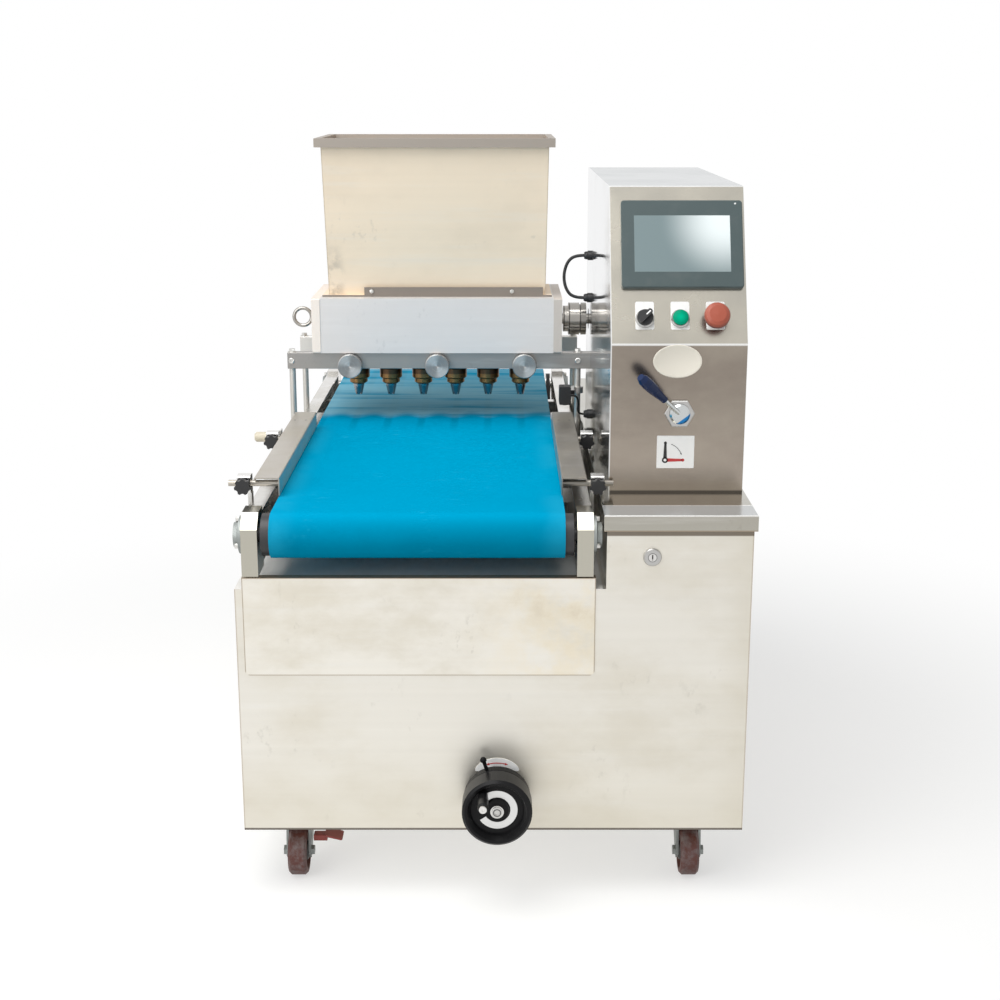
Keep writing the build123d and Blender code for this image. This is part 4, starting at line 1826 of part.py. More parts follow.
# Cabinet lock
def lock_housing():
    """Housing of the cam lock in the cabinet's front."""
    bore = LOCK_BARREL_RADIUS + RUN
    profile = [
        (bore, -LOCK_SLEEVE),
        (LOCK_RADIUS, -LOCK_SLEEVE),
        (LOCK_RADIUS, 0),
        (LOCK_FLANGE_RADIUS, 0),
        (LOCK_FLANGE_RADIUS, LOCK_FLANGE_EDGE),
        (LOCK_FLANGE_RADIUS - LOCK_FLANGE_BEVEL, LOCK_FLANGE),
        (bore, LOCK_FLANGE),
    ]
    return turned(profile, towards_operator(LOCK_X, FRONT_Y, LOCK_Z))


def lock_barrel():
    """Turning barrel with a key slot, and the cam on its inner end."""
    face = towards_operator(LOCK_X, FRONT_Y, LOCK_Z)
    radius = LOCK_BARREL_RADIUS
    barrel = rod((LOCK_X, FRONT_Y - LOCK_FLANGE, LOCK_Z), (LOCK_X, FRONT_Y + LOCK_BARREL, LOCK_Z), radius)
    barrel -= face * Pos(0, 0, LOCK_FLANGE) * Box(*KEY_SLOT)
    back = FRONT_Y + CAM_BACK
    cam = block(
        LOCK_X - CAM_HALF, LOCK_X + CAM_HALF, back - CAM_SHEET, back, LOCK_Z - CAM_HALF, LOCK_Z + CAM_REACH
    )
    return barrel + cam


def panel_fittings():
    """What is screwed into the front sheets: bezels, contact blocks, lever flange and lock housing."""
    pieces = [lever_flange(), lock_housing()]
    for place in BUTTON_USES.values():
        pieces += [button_bezel(place), contact_block(place)]
    return group(pieces)


nodes = {
    "cabinet_shell": cabinet_shell(),
    "cabinet_lid": lid(),
    "front_panel": front_panel(),
    "lock_barrel": lock_barrel(),
    "caster_mounts": caster_mounts(),
    "conveyor_belt": belt(),
    "front_drum": drum(FRONT_DRUM_Y, FRONT_DRUM_OVERHANG),
    "rear_drum": group([
        drum(REAR_DRUM_Y, REAR_DRUM_OVERHANG),
        pulley(REAR_DRUM_Y, DRUM_Z, DRUM_SHAFT_RADIUS),
    ]),
    "table_frame": table_frame(),
    "drum_bearings": group(drum_bearing(side, end) for side in SIDES.values() for end in (-1, 1)),
    "belt_bed": belt_bed(),
    "motor_shaft": group([motor_shaft(), pulley(MOTOR_Y, MOTOR_Z, MOTOR_SHAFT_RADIUS)]),
    "drive_belt": drive_belt(),
    "belt_motor": group([belt_motor(), motor_bracket()]),
    "lift_plate": group([lift_plate(), lift_nut(), *guide_posts()]),
    "lift_bearings": group([
        *guide_bushes(), screw_foot(), shaft_block(), handwheel_flange(), wheel_dial(),
    ]),
    "lift_screw": group([lift_screw(), screw_gear()]),
    "handwheel": group([handwheel(), handle_pin()]),
    "handwheel_shaft": group([handwheel_shaft(), shaft_gear()]),
    "crank_handle": crank_handle(),
    "beam_eye": group([beam_eye(), beam_eye_bracket()]),
    "head_frame": group([*head_posts(), front_bar(), rear_bar()]),
    "pump_body": pump_body(),
    "pump_ends": group([pump_end(-1), pump_end(1)]),
    "lifting_eye": lifting_eye(),
    "driven_roller": group([
        feed_roller(DRIVEN_Y, DRIVEN_SHAFT_END_X), feed_gear(DRIVEN_Y, 0), shaft_coupling(),
    ]),
    "idle_roller": group([
        feed_roller(IDLE_Y, IDLE_SHAFT_END_X), feed_gear(IDLE_Y, 180 + 180 / FEED_TEETH),
    ]),
    "nozzle_manifold": nozzle_manifold(),
    "nozzle_holders": nozzle_holders(),
    "nozzle_tips": group(nozzle_tip(x) for x in NOZZLE_XS),
    "hopper": group([hopper(), hopper_strip()]),
    "console_shell": console_shell(),
    "console_back": console_back(),
    "screen_frame": screen_frame(),
    "screen_glass": screen_glass(),
    "panel_fittings": panel_fittings(),
    "selector_knob": selector_knob(),
    "start_button": start_button(),
    "stop_button": stop_button(),
    "shift_lever": group([lever_hub(), lever_grip()]),
    "pump_motor": group([pump_motor(), pump_motor_stand()]),
    "tray_sensor": group([tray_sensor(), sensor_bracket()]),
    "cable_glands": group(cable_gland(y, z) for y, z in GLANDS.values()),
    "sensor_cable": cable(SENSOR_CABLE, SENSOR_CABLE_RADIUS),
    "loop_cable": cable(LOOP_CABLE, LOOP_CABLE_RADIUS),
}
for name, (x, y) in CASTERS.items():
    nodes[f"caster_wheel_{name}"] = caster_wheel(x, y)
for name in SWIVEL_CASTERS:
    nodes[f"caster_fork_{name}"] = group([caster_fork(*CASTERS[name]), caster_axle(*CASTERS[name])])
for name, side in SIDES.items():
    nodes[f"tray_guide_{name}"] = group([tray_guide(side), *guide_rods(side)])
    for place, y in GUIDE_ROD_YS.items():
        nodes[f"star_knob_{place}_{name}"] = star_knob(side, y)
for name, x in zip(("left", "middle", "right"), HEAD_KNOB_XS):
    nodes[f"head_knob_{name}"] = head_knob(x)

os.makedirs("parts", exist_ok=True)
for name, shape in nodes.items():
    export_step(shape, f"parts/{name}.step")
print(f"{len(nodes)} nodes")
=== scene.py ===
"""Looks of a biscuit making machine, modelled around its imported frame.

Every piece is in metres in the machine's own frame: +X to the operator's right, +Y away from the
operator along the belt, +Z up, with the origin on the floor under the middle of the cabinet.
"""

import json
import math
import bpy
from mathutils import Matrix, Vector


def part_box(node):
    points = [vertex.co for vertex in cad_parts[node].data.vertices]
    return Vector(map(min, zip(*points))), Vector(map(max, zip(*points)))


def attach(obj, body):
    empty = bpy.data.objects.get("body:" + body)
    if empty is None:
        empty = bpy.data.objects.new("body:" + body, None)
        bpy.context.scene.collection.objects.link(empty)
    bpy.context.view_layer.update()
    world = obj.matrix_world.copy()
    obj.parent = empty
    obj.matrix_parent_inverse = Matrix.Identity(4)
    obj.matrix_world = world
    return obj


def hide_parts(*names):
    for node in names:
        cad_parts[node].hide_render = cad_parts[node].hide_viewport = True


bl_info = {
    "name": "Biscuit Machine Looks",
    "version": (1, 0, 0),
    "blender": (4, 5, 0),
    "location": "3D View > Sidebar > Machine",
    "description": "Finishes, signs, fasteners, cables and stage of a biscuit making machine",
    "category": "Object",
}

from functools import reduce
from itertools import product

import bmesh
import bpy
from bpy.props import FloatProperty, FloatVectorProperty, PointerProperty
from mathutils import Matrix, Vector

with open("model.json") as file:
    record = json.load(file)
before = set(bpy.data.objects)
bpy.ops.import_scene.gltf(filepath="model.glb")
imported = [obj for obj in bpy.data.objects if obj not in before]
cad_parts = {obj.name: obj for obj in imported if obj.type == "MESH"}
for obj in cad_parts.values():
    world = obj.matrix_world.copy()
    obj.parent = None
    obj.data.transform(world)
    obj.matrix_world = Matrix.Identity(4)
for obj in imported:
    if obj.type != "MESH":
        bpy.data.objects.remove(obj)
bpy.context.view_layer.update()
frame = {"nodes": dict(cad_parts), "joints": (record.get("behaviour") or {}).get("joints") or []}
NODES = frame["nodes"]
JOINTS = {joint["name"]: joint for joint in frame["joints"]}


def joint_place(name):
    """A point on a joint's axis, in the machine's frame."""
    return Vector(JOINTS[name]["pos_m"])


def colour(name, default, words):
    """A colour that a user can change."""
    return FloatVectorProperty(
        name=name, description=words, subtype="COLOR", size=3, min=0.0, max=1.0, default=default
    )


def length(name, default, words):
    """A length that a user can change, in metres."""
    return FloatProperty(name=name, description=words, unit="LENGTH", default=default, precision=4)


class MachineFinishes(bpy.types.PropertyGroup):
    """Colours of the machine's finishes."""

    sheet: colour("Sheet", (0.83, 0.80, 0.73), "Stainless sheet of the cabinet")
    sheet_stain: colour("Stain", (0.66, 0.61, 0.50), "Warm stains on the stainless sheet")
    # Edge colour: also painted shadow lines under the lid, along the lid's foot and round the front panel.
    edge_grime_and_shade: colour("Edge grime", (0.33, 0.25, 0.17), "Brown grime along the front panel's edge")
    hopper: colour("Hopper", (0.97, 0.815, 0.625), "Warm stainless sheet of the hopper")
    rim: colour("Hopper rim", (0.36, 0.315, 0.27), "Folded rim and front strip of the hopper")
    pump: colour("Pump", (0.75, 0.715, 0.69), "Ground face of the pump body")
    pump_end: colour("Pump ends", (0.95, 0.85, 0.76), "Milled end plates of the pump")
    lid: colour("Lid", (0.46, 0.445, 0.395), "Polished lid under the console")
    console: colour("Console", (0.47, 0.45, 0.395), "Polished slope of the console")
    # The upright front's colour is painted shade on the polished sheet.
    console_front_shade: colour("Console foot", (0.34, 0.29, 0.245), "Darker upright front of the console")
    bright: colour("Bright steel", (0.74, 0.73, 0.71), "Turned and polished steel")
    coupling: colour("Coupling steel", (0.40, 0.38, 0.35), "Turned coupling and lifting eye")
    bar: colour("Bar steel", (0.34, 0.325, 0.31), "Flat bars that carry the head")
    guide: colour("Guide steel", (0.32, 0.295, 0.26), "Folded tray guides")
    rail: colour("Rail steel", (0.74, 0.725, 0.70), "Folded rails of the table")
    iron: colour("Castings", (0.32, 0.34, 0.33), "Bearing castings and caster forks")
    belt: colour("Belt", (0.0, 0.335, 0.575), "Smooth blue face of the belt")
    belt_scuff: colour("Belt scuffs", (0.03, 0.45, 0.68), "Dry marks on the belt")
    # Colour of the painted reflection of the head on the belt under it, lightened as painted light.
    belt_reflection_film: colour("Belt dust", (0.33, 0.66, 0.80), "Flour film on the belt under the head")
    brass: colour("Nozzle nuts", (0.25, 0.145, 0.06), "Browned brass of the nozzle nuts")
    brass_dark: colour("Nozzle rings", (0.10, 0.060, 0.036), "Dark ring of the nozzle nuts")
    tip: colour("Nozzle tips", (0.34, 0.36, 0.38), "Steel cones of the nozzles")
    black: colour("Black plastic", (0.016, 0.016, 0.017), "Knobs, handwheel and sensor")
    cable: colour("Cables", (0.012, 0.012, 0.012), "Cable sheath")
    slate: colour("Screen frame", (0.058, 0.086, 0.088), "Moulded frame of the touch screen")
    glass: colour("Screen", (0.21, 0.275, 0.285), "Sleeping touch screen")
    green: colour("Start button", (0.0, 0.42, 0.235), "Green lens of the start button")
    red: colour("Stop button", (0.42, 0.105, 0.065), "Faded red of the stop button")
    red_neck: colour("Stop neck", (0.16, 0.014, 0.016), "Deep red under the stop button")
    navy: colour("Lever grip", (0.009, 0.024, 0.085), "Navy plastic of the lever")
    cream: colour("Beam eye", (0.66, 0.60, 0.47), "Cream plastic of the beam eye")
    tyre: colour("Tyres", (0.105, 0.030, 0.022), "Red-brown caster tyres")
    motor: colour("Motors", (0.19, 0.22, 0.24), "Painted gear motors")
    sign: colour("Sign plates", (0.92, 0.92, 0.90), "White plastic sign plates")
    sign_red: colour("Sign red", (0.55, 0.05, 0.05), "Red ink on the signs")
    sign_black: colour("Sign black", (0.02, 0.02, 0.02), "Black ink on the signs")


class MachineSizes(bpy.types.PropertyGroup):
    """Sizes of the small pieces that dress the machine."""

    plate: length("Button plate", 0.029, "Width of the white plate behind a button")
    plate_rise: length("Plate height", 0.045, "Height of the white plate behind a button")
    lever_sign: length("Lever sign", 0.052, "Height of the sign under the lever")
    oval_width: length("Oval label", 0.076, "Width of the blank oval label")
    oval_height: length("Oval height", 0.052, "Height of the blank oval label")
    sign_thick: length("Sign thickness", 0.0008, "Thickness of the sign plates")
    bolt: length("Bolt", 0.006, "Radius of the bracket bolts' heads")
    screw: length("Screw", 0.0036, "Radius of the small panel screws' heads")


class MachineStage(bpy.types.PropertyGroup):
    """Camera and light of the studio."""

    lens: FloatProperty(name="Lens", description="Focal length in millimetres", default=57.1)
    eye_x: length("Camera right", 0.0105, "Camera's place to the right")
    eye_y: length("Camera forward", -2.875, "Camera's place along the belt")
    eye_z: length("Camera height", 1.254, "Camera's height")
    tilt: FloatProperty(
        name="Tilt", description="How far the camera looks down", subtype="ANGLE", default=math.radians(14.6)
    )
    world: FloatProperty(name="World", description="Strength of the room's light", default=0.46)
    key: FloatProperty(name="Key", description="Key lamp in watts", default=70.0)
    fill: FloatProperty(name="Fill", description="Fill lamp in watts", default=34.0)


def finishes():
    """The colours in use."""
    return bpy.context.scene.machine_finishes


def sizes():
    """The small pieces' sizes in use."""
    return bpy.context.scene.machine_sizes


class Nodes:
    """A shader node tree, and short ways to add to it; each returns a socket."""

    def __init__(self, tree):
        self.tree = tree

    def add(self, kind, output, sources, **settings):
        """One output of a new node; each source is a socket or a constant, by its input's name or number."""
        node = self.tree.nodes.new(f"ShaderNode{kind}")
        for name, value in settings.items():
            setattr(node, name, value)
        for key, source in sources.items():
            socket = node.inputs[key]
            if isinstance(source, bpy.types.NodeSocket):
                self.tree.links.new(source, socket)
            else:
                socket.default_value = (*source, 1.0) if socket.type == "RGBA" else source
        return node.outputs[output]

    def group(self, name, vector, **numbers):
        """The outputs of a shared group on a vector."""
        node = self.tree.nodes.new("ShaderNodeGroup")
        node.node_tree = bpy.data.node_groups.get(name) or GROUP_MAKERS[name](name)
        self.tree.links.new(vector, node.inputs["Vector"])
        for socket, value in numbers.items():
            node.inputs[socket].default_value = value
        return node.outputs

    def noise(self, vector, scale, detail, roughness):
        """A noise texture on a vector."""
        return self.add(
            "TexNoise", "Fac", {"Vector": vector, "Scale": scale, "Detail": detail, "Roughness": roughness}
        )

    def ramp(self, value, low, high):
        """A mask that rises from 0 at low to 1 at high."""
        ends = {"Value": value, "From Min": low, "From Max": high}
        return self.add("MapRange", "Result", ends, interpolation_type="SMOOTHSTEP")

    def stretched(self, vector, stretch):
        """The vector scaled by a different amount along each axis."""
        return self.add("Mapping", "Vector", {"Vector": vector, "Scale": stretch})

    def parts_of(self, vector):
        """The three parts of a vector."""
        return self.add("SeparateXYZ", "X", {"Vector": vector}).node.outputs

    def maths(self, operation, *sides):
        """One math node."""
        return self.add("Math", "Value", dict(enumerate(sides)), operation=operation)

    def vector_maths(self, operation, output, *sides):
        """One vector math node."""
        return self.add("VectorMath", output, dict(enumerate(sides)), operation=operation)

    def line(self, value, factor, start):
        """A value times a factor, plus a start."""
        return self.maths("MULTIPLY_ADD", value, factor, start)

    def both(self, *masks):
        """1 where all the masks are 1."""
        return reduce(lambda first, second: self.maths("MULTIPLY", first, second), masks)

    def either(self, *masks):
        """1 where one of the masks is 1."""
        return reduce(lambda first, second: self.maths("MAXIMUM", first, second), masks)

    def mix(self, factor, first, second):
        """Two colours mixed by a mask."""
        return self.add("Mix", 2, {"Factor": factor, 6: first, 7: second}, data_type="RGBA")


# Node groups that several finishes share


def new_group(name, outputs, **numbers):
    """An empty shader group that takes a vector and some numbers, and gives masks."""
    group = bpy.data.node_groups.new(name, "ShaderNodeTree")
    group.interface.new_socket("Vector", in_out="INPUT", socket_type="NodeSocketVector")
    for socket, value in numbers.items():
        made = group.interface.new_socket(socket, in_out="INPUT", socket_type="NodeSocketFloat")
        made.default_value = value
    for socket in outputs:
        group.interface.new_socket(socket, in_out="OUTPUT", socket_type="NodeSocketFloat")
    return Nodes(group), group.nodes.new("NodeGroupInput").outputs


def give(nodes, **masks):
    """Ends a group with its masks."""
    result = nodes.tree.nodes.new("NodeGroupOutput")
    for socket, mask in masks.items():
        nodes.tree.links.new(mask, result.inputs[socket])
    return nodes.tree


def make_stain_group(name):
    """Broad mottling, wiped streaks and small smudges of handled sheet."""
    nodes, given = new_group(name, ("Mottle", "Streak", "Smudge"), Size=1.0)
    sources = {0: given["Vector"], "Scale": given["Size"]}
    vector = nodes.add("VectorMath", "Vector", sources, operation="SCALE")
    mottle = nodes.noise(nodes.stretched(vector, (1.0, 1.0, 1.7)), 4.2, 6.0, 0.58)
    streak = nodes.noise(nodes.stretched(vector, (2.0, 2.0, 26.0)), 1.6, 4.0, 0.6)
    patch = nodes.noise(vector, 9.0, 2.0, 0.5)
    fleck = nodes.noise(nodes.stretched(vector, (1.0, 1.0, 0.7)), 62.0, 3.0, 0.6)
    return give(
        nodes, Mottle=nodes.ramp(mottle, 0.40, 0.70), Streak=nodes.ramp(streak, 0.52, 0.76),
        Smudge=nodes.both(nodes.ramp(patch, 0.52, 0.70), nodes.ramp(fleck, 0.56, 0.72)),
    )


def make_brush_group(name):
    """Fine parallel brush lines; the stretch of the vector sets their direction."""
    nodes, given = new_group(name, ("Height", "Tone"))
    vector = given["Vector"]
    return give(nodes, Height=nodes.noise(vector, 520.0, 2.0, 0.6), Tone=nodes.noise(vector, 90.0, 2.0, 0.5))


def make_moulded_group(name):
    """Spark-eroded grain of moulded plastic, with faint dust."""
    nodes, given = new_group(name, ("Height", "Dust"))
    grain = nodes.noise(given["Vector"], 1100.0, 2.0, 0.6)
    dust = nodes.noise(given["Vector"], 26.0, 5.0, 0.6)
    return give(nodes, Height=grain, Dust=nodes.ramp(dust, 0.52, 0.78))


GROUP_MAKERS = {
    "handled_sheet": make_stain_group,
    "brush_lines": make_brush_group,
    "moulded_grain": make_moulded_group,
}


# Materials

SOFT = 0.0003
FULL = 1.0
BUMP_DEPTH = 0.0002


def scaled_colour(base, factor, lift=0.0):
    """A colour made lighter or darker, kept within 0 and 1."""
    return tuple(min(1.0, factor * part + lift) for part in base)


class Finish(Nodes):
    """A material with its Principled shader, and short ways to mask and feed it."""

    def __init__(self, name, metallic=0.0, roughness=0.5):
        self.material = bpy.data.materials.new(name)
        self.material.use_nodes = True
        super().__init__(self.material.node_tree)
        self.shader = self.tree.nodes["Principled BSDF"]
        self.set("Metallic", metallic)
        self.set("Roughness", roughness)
        self.place = self.add("TexCoord", "Object", {})
        self.split = self.parts_of(self.place)

    def set(self, socket, value):
        self.shader.inputs[socket].default_value = value

    def feed(self, socket, source):
        self.tree.links.new(source, self.shader.inputs[socket])

    def feed_rough(self, mask, spread, low):
        """Roughness that grows from low by a mask."""
        self.feed("Roughness", self.line(mask, spread, low))

    def bump(self, height, strength, depth=BUMP_DEPTH):
        sources = {"Strength": strength, "Distance": depth, "Height": height}
        self.feed("Normal", self.add("Bump", "Normal", sources))

    def offset_from(self, point):
        """The vector from a point."""
        return self.vector_maths("SUBTRACT", "Vector", self.place, point)

    def distance(self, point):
        """Distance from a point."""
        return self.vector_maths("LENGTH", "Value", self.offset_from(point))

    def axis_distance(self, point, axis):
        """Distance from a line through a point along a unit axis."""
        crossed = self.vector_maths("CROSS_PRODUCT", "Vector", self.offset_from(point), axis)
        return self.vector_maths("LENGTH", "Value", crossed)

    def along(self, point, axis):
        """Distance along a unit axis from a point."""
        return self.vector_maths("DOT_PRODUCT", "Value", self.offset_from(point), axis)

    def rings(self, point, axis, scale):
        """Noise in rings about an axis through a point, as turning leaves it."""
        sources = {"W": self.axis_distance(point, axis), "Scale": scale}
        return self.add("TexNoise", "Fac", sources, noise_dimensions="1D")

    def above(self, axis, value, soft=SOFT):
        """1 where a coordinate is above a value."""
        return self.ramp(self.split[axis], value - soft, value + soft)

    def below(self, axis, value, soft=SOFT):
        """1 where a coordinate is below a value."""
        return self.ramp(self.split[axis], value + soft, value - soft)

    def within(self, source, low, high, soft=SOFT):
        """1 where a source is between two values."""
        rising = self.ramp(source, low - soft, low + soft)
        return self.both(rising, self.ramp(source, high + soft, high - soft))

    def ends(self, axis, low, high, width, soft):
        """1 within a width of both ends of a box along an axis."""
        part = "XYZ".index(axis)
        low_end = self.below(axis, low[part] + width, soft)
        return self.either(low_end, self.above(axis, high[part] - width, soft))

    def edge(self, lines, width):
        """1 along folded edges, each given by a point and a unit axis."""
        return self.either(*(self.ramp(self.axis_distance(*line), width, 0.3 * width) for line in lines))

    def layers(self, face, *rows):
        """A colour under layers, each a mask, how much it covers, and its own colour."""
        for mask, cover, shade in rows:
            face = self.mix(mask if cover == FULL else self.both(mask, cover), face, shade)
        return face


def sheet_steel(
    name, base, stain, metallic, rough, brush, stain_size=1.0, mottle=0.45, relief=0.05, tint=None, metal=None
):
    """Stainless sheet with brush lines, warm mottling, wiped streaks and smudges.

    The tint, if given, is a function of the finish and its colour that returns a new colour.
    The metal, if given, is a function of the finish that returns how metallic it is.
    """
    finish = Finish(name, metallic)
    marks = finish.group("handled_sheet", finish.place, Size=stain_size)
    lines = finish.group("brush_lines", finish.stretched(finish.place, brush))
    dark = scaled_colour(stain, 0.45)
    face = finish.layers(
        base,
        (marks["Mottle"], mottle, stain),
        (marks["Streak"], 0.16, WIPED),
        (marks["Smudge"], 0.22, dark),
        (lines["Tone"], 0.10, dark),
    )
    finish.feed("Base Color", tint(finish, face) if tint else face)
    finish.feed_rough(marks["Mottle"], 0.12, rough)
    finish.bump(lines["Height"], relief)
    if metal:
        finish.feed("Metallic", metal(finish))
    return finish.material


def turned_metal(name, base, rough, point=None, metallic=1.0, tint=None, gloss=0.5):
    """Turned metal; with a point, its tool marks run in rings about the Y axis there."""
    finish = Finish(name, metallic)
    if point is None:
        lines = finish.group("brush_lines", finish.place)
        height, tone = lines["Height"], lines["Tone"]
    else:
        height = tone = finish.rings(point, BACK, 1400.0)
    face = finish.layers(base, (tone, 0.35, scaled_colour(base, 0.72)))
    finish.feed("Base Color", tint(finish, face) if tint else face)
    finish.feed_rough(finish.noise(finish.place, 40.0, 4.0, 0.6), 0.16, rough)
    finish.bump(height, 0.25)
    finish.set("Specular IOR Level", gloss)
    return finish.material


def moulded(name, base, rough, dust=0.10, dust_colour=(0.30, 0.29, 0.27), coat=0.0, metal=None, gloss=0.5):
    """Moulded plastic with a fine grain and a little dust.

    The metal, if given, is a function of the finish that returns the mask and colour of its metal parts.
    """
    finish = Finish(name)
    grain = finish.group("moulded_grain", finish.place)
    face = finish.layers(base, (grain["Dust"], dust, dust_colour))
    if metal:
        mask, shade = metal(finish)
        face = finish.mix(mask, face, shade)
        finish.feed("Metallic", mask)
    finish.feed("Base Color", face)
    finish.feed_rough(grain["Dust"], 0.18, rough)
    finish.bump(grain["Height"], 0.18)
    finish.set("Coat Weight", coat)
    finish.set("Coat Roughness", 0.12)
    finish.set("Specular IOR Level", gloss)
    return finish.material


def wear(material, *nodes):
    """Gives CAD nodes their finish."""
    for node in nodes:
        for slot in NODES[node].material_slots:
            slot.material = material


def wear_sheets(*rows):
    """Gives CAD nodes their sheet; each row is a node and what its sheet is made from."""
    for node, *row in rows:
        wear(sheet_steel(*row), node)


# Bmesh helpers; each shape is made at the origin and then merged into its piece at its place

SHARP_FROM = math.radians(32)
SPIN = {"cent": (0.0, 0.0, 0.0), "axis": (0.0, 0.0, 1.0)}


def keep_piece(name, bm, body, material):
    """Turns a bmesh into a piece that rides on a body."""
    bmesh.ops.remove_doubles(bm, verts=bm.verts, dist=1e-6)
    bmesh.ops.recalc_face_normals(bm, faces=bm.faces)
    mesh = bpy.data.meshes.new(name)
    bm.to_mesh(mesh)
    bm.free()
    piece = bpy.data.objects.new(name, mesh)
    bpy.context.scene.collection.objects.link(piece)
    mesh.materials.append(material)
    mesh.shade_smooth()
    mesh.set_sharp_from_angle(angle=SHARP_FROM)
    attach(piece, body)


def merge_shape(bm, shape, place):
    """Adds a finished shape to a piece at its place."""
    bmesh.ops.remove_doubles(shape, verts=shape.verts, dist=1e-7)
    bmesh.ops.recalc_face_normals(shape, faces=shape.faces)
    bmesh.ops.transform(shape, matrix=place, verts=shape.verts)
    mesh = bpy.data.meshes.new("shape")
    shape.to_mesh(mesh)
    shape.free()
    bm.from_mesh(mesh)
    bpy.data.meshes.remove(mesh)


def facing(point, normal, up=(0.0, 0.0, 1.0)):
    """A frame at a point whose Z is the normal and whose Y leans towards up."""
    z = Vector(normal).normalized()
    x = Vector(up).cross(z).normalized()
    place = Matrix((x, z.cross(x), z)).transposed().to_4x4()
    place.translation = Vector(point)
    return place


def moved(place, x, y, z):
    """A place moved along its own axes."""
    return place @ Matrix.Translation((x, y, z))


def raise_faces(shape, thick):
    """Gives a flat shape its thickness along Z, closed below as well."""
    raised = bmesh.ops.extrude_face_region(shape, geom=list(shape.faces), use_keep_orig=True)
    top = [part for part in raised["geom"] if isinstance(part, bmesh.types.BMVert)]
    bmesh.ops.translate(shape, vec=(0.0, 0.0, thick), verts=top)


def flat_sheet(width, height):
    """A new flat shape of one four-sided face."""
    shape = bmesh.new()
    bmesh.ops.create_grid(shape, x_segments=1, y_segments=1, size=0.5)
    bmesh.ops.scale(shape, vec=(width, height, 1.0), verts=shape.verts)
    return shape


def add_plate(bm, place, width, height, thick, corner):
    """A plate with round corners that stands on its place's XY plane."""
    shape = flat_sheet(width, height)
    bmesh.ops.bevel(
        shape, geom=shape.verts[:], offset=corner, segments=5, profile=0.5, affect="VERTICES", material=-1
    )
    raise_faces(shape, thick)
    merge_shape(bm, shape, place)


def add_flat(bm, place, outline, thick):
    """A flat shape of (x, y) corners that stands on its place's XY plane."""
    shape = bmesh.new()
    shape.faces.new([shape.verts.new((x, y, 0.0)) for x, y in outline])
    raise_faces(shape, thick)
    merge_shape(bm, shape, place)


def add_turned(bm, place, profile, segments=40):
    """A (radius, height) profile spun about its place's Z axis."""
    shape = bmesh.new()
    first = [shape.verts.new((radius, 0.0, height)) for radius, height in profile]
    edges = [shape.edges.new(pair) for pair in zip(first, first[1:])]
    bmesh.ops.spin(shape, geom=first + edges, angle=2 * math.pi, steps=segments, use_merge=True, **SPIN)
    merge_shape(bm, shape, place)


def add_band(bm, place, inner, outer, start, end, thick, steps):
    """A band between two arcs about its place's Z axis, from start to end."""
    shape = bmesh.new()
    cos, sin = math.cos(start), math.sin(start)
    rims = [shape.verts.new((radius * cos, radius * sin, 0.0)) for radius in (inner, outer)]
    edge = shape.edges.new(rims)
    bmesh.ops.spin(shape, geom=[*rims, edge], angle=end - start, steps=steps, use_merge=False, **SPIN)
    raise_faces(shape, thick)
    merge_shape(bm, shape, place)


def add_hex_bolt(bm, place, radius, height):
    """A six-sided bolt head with a chamfered top."""
    shape = bmesh.new()
    bmesh.ops.create_cone(shape, cap_ends=True, segments=6, radius1=radius, radius2=radius, depth=height)
    bmesh.ops.translate(shape, vec=(0, 0, height / 2), verts=shape.verts)
    rim = [edge for edge in shape.edges if all(vert.co.z > 0.9 * height for vert in edge.verts)]
    bmesh.ops.bevel(
        shape, geom=rim, offset=0.14 * radius, segments=2, profile=0.5, affect="EDGES", material=-1
    )
    merge_shape(bm, shape, place)


def add_washer(bm, place, inner, outer, thick):
    """A flat washer with a soft outer edge."""
    soft = 0.3 * thick
    rim = [(outer - soft, thick), (outer, thick - soft), (outer, 0.0)]
    add_turned(bm, place, [(inner, 0.0), (inner, thick), *rim, (inner, 0.0)], 28)


def add_socket_screw(bm, place, radius, height):
    """A round cap screw with a socket in its head."""
    shares = ((0.0, 0.45), (0.42, 0.45), (0.46, 0.97), (0.82, 1.0), (1.0, 0.78), (1.0, 0.0), (0.0, 0.0))
    add_turned(bm, place, [(across * radius, up * height) for across, up in shares], 24)


# Places on the machine that several pieces use

FRONT = (0.0, -1.0, 0.0)
BACK = (0.0, 1.0, 0.0)
LEFT = (-1.0, 0.0, 0.0)
RIGHT = (1.0, 0.0, 0.0)
UPWARDS = (0.0, 0.0, 1.0)
DOWNWARDS = (0.0, 0.0, -1.0)
CONSOLE_LOW, CONSOLE_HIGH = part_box("console_shell")
CABINET_LOW, CABINET_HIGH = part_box("cabinet_shell")
PANEL_LOW, PANEL_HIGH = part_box("front_panel")
LID_LOW, LID_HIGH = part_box("cabinet_lid")
BELT_LOW, BELT_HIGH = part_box("conveyor_belt")
HOPPER_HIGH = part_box("hopper")[1]
CONSOLE_FRONT_Y = CONSOLE_LOW[1]
CABINET_FRONT_Y = CABINET_LOW[1]
DECK_Z = 0.515
LID_STEP_Y = -0.520
LOCK_CENTRE = joint_place("lock_turn")

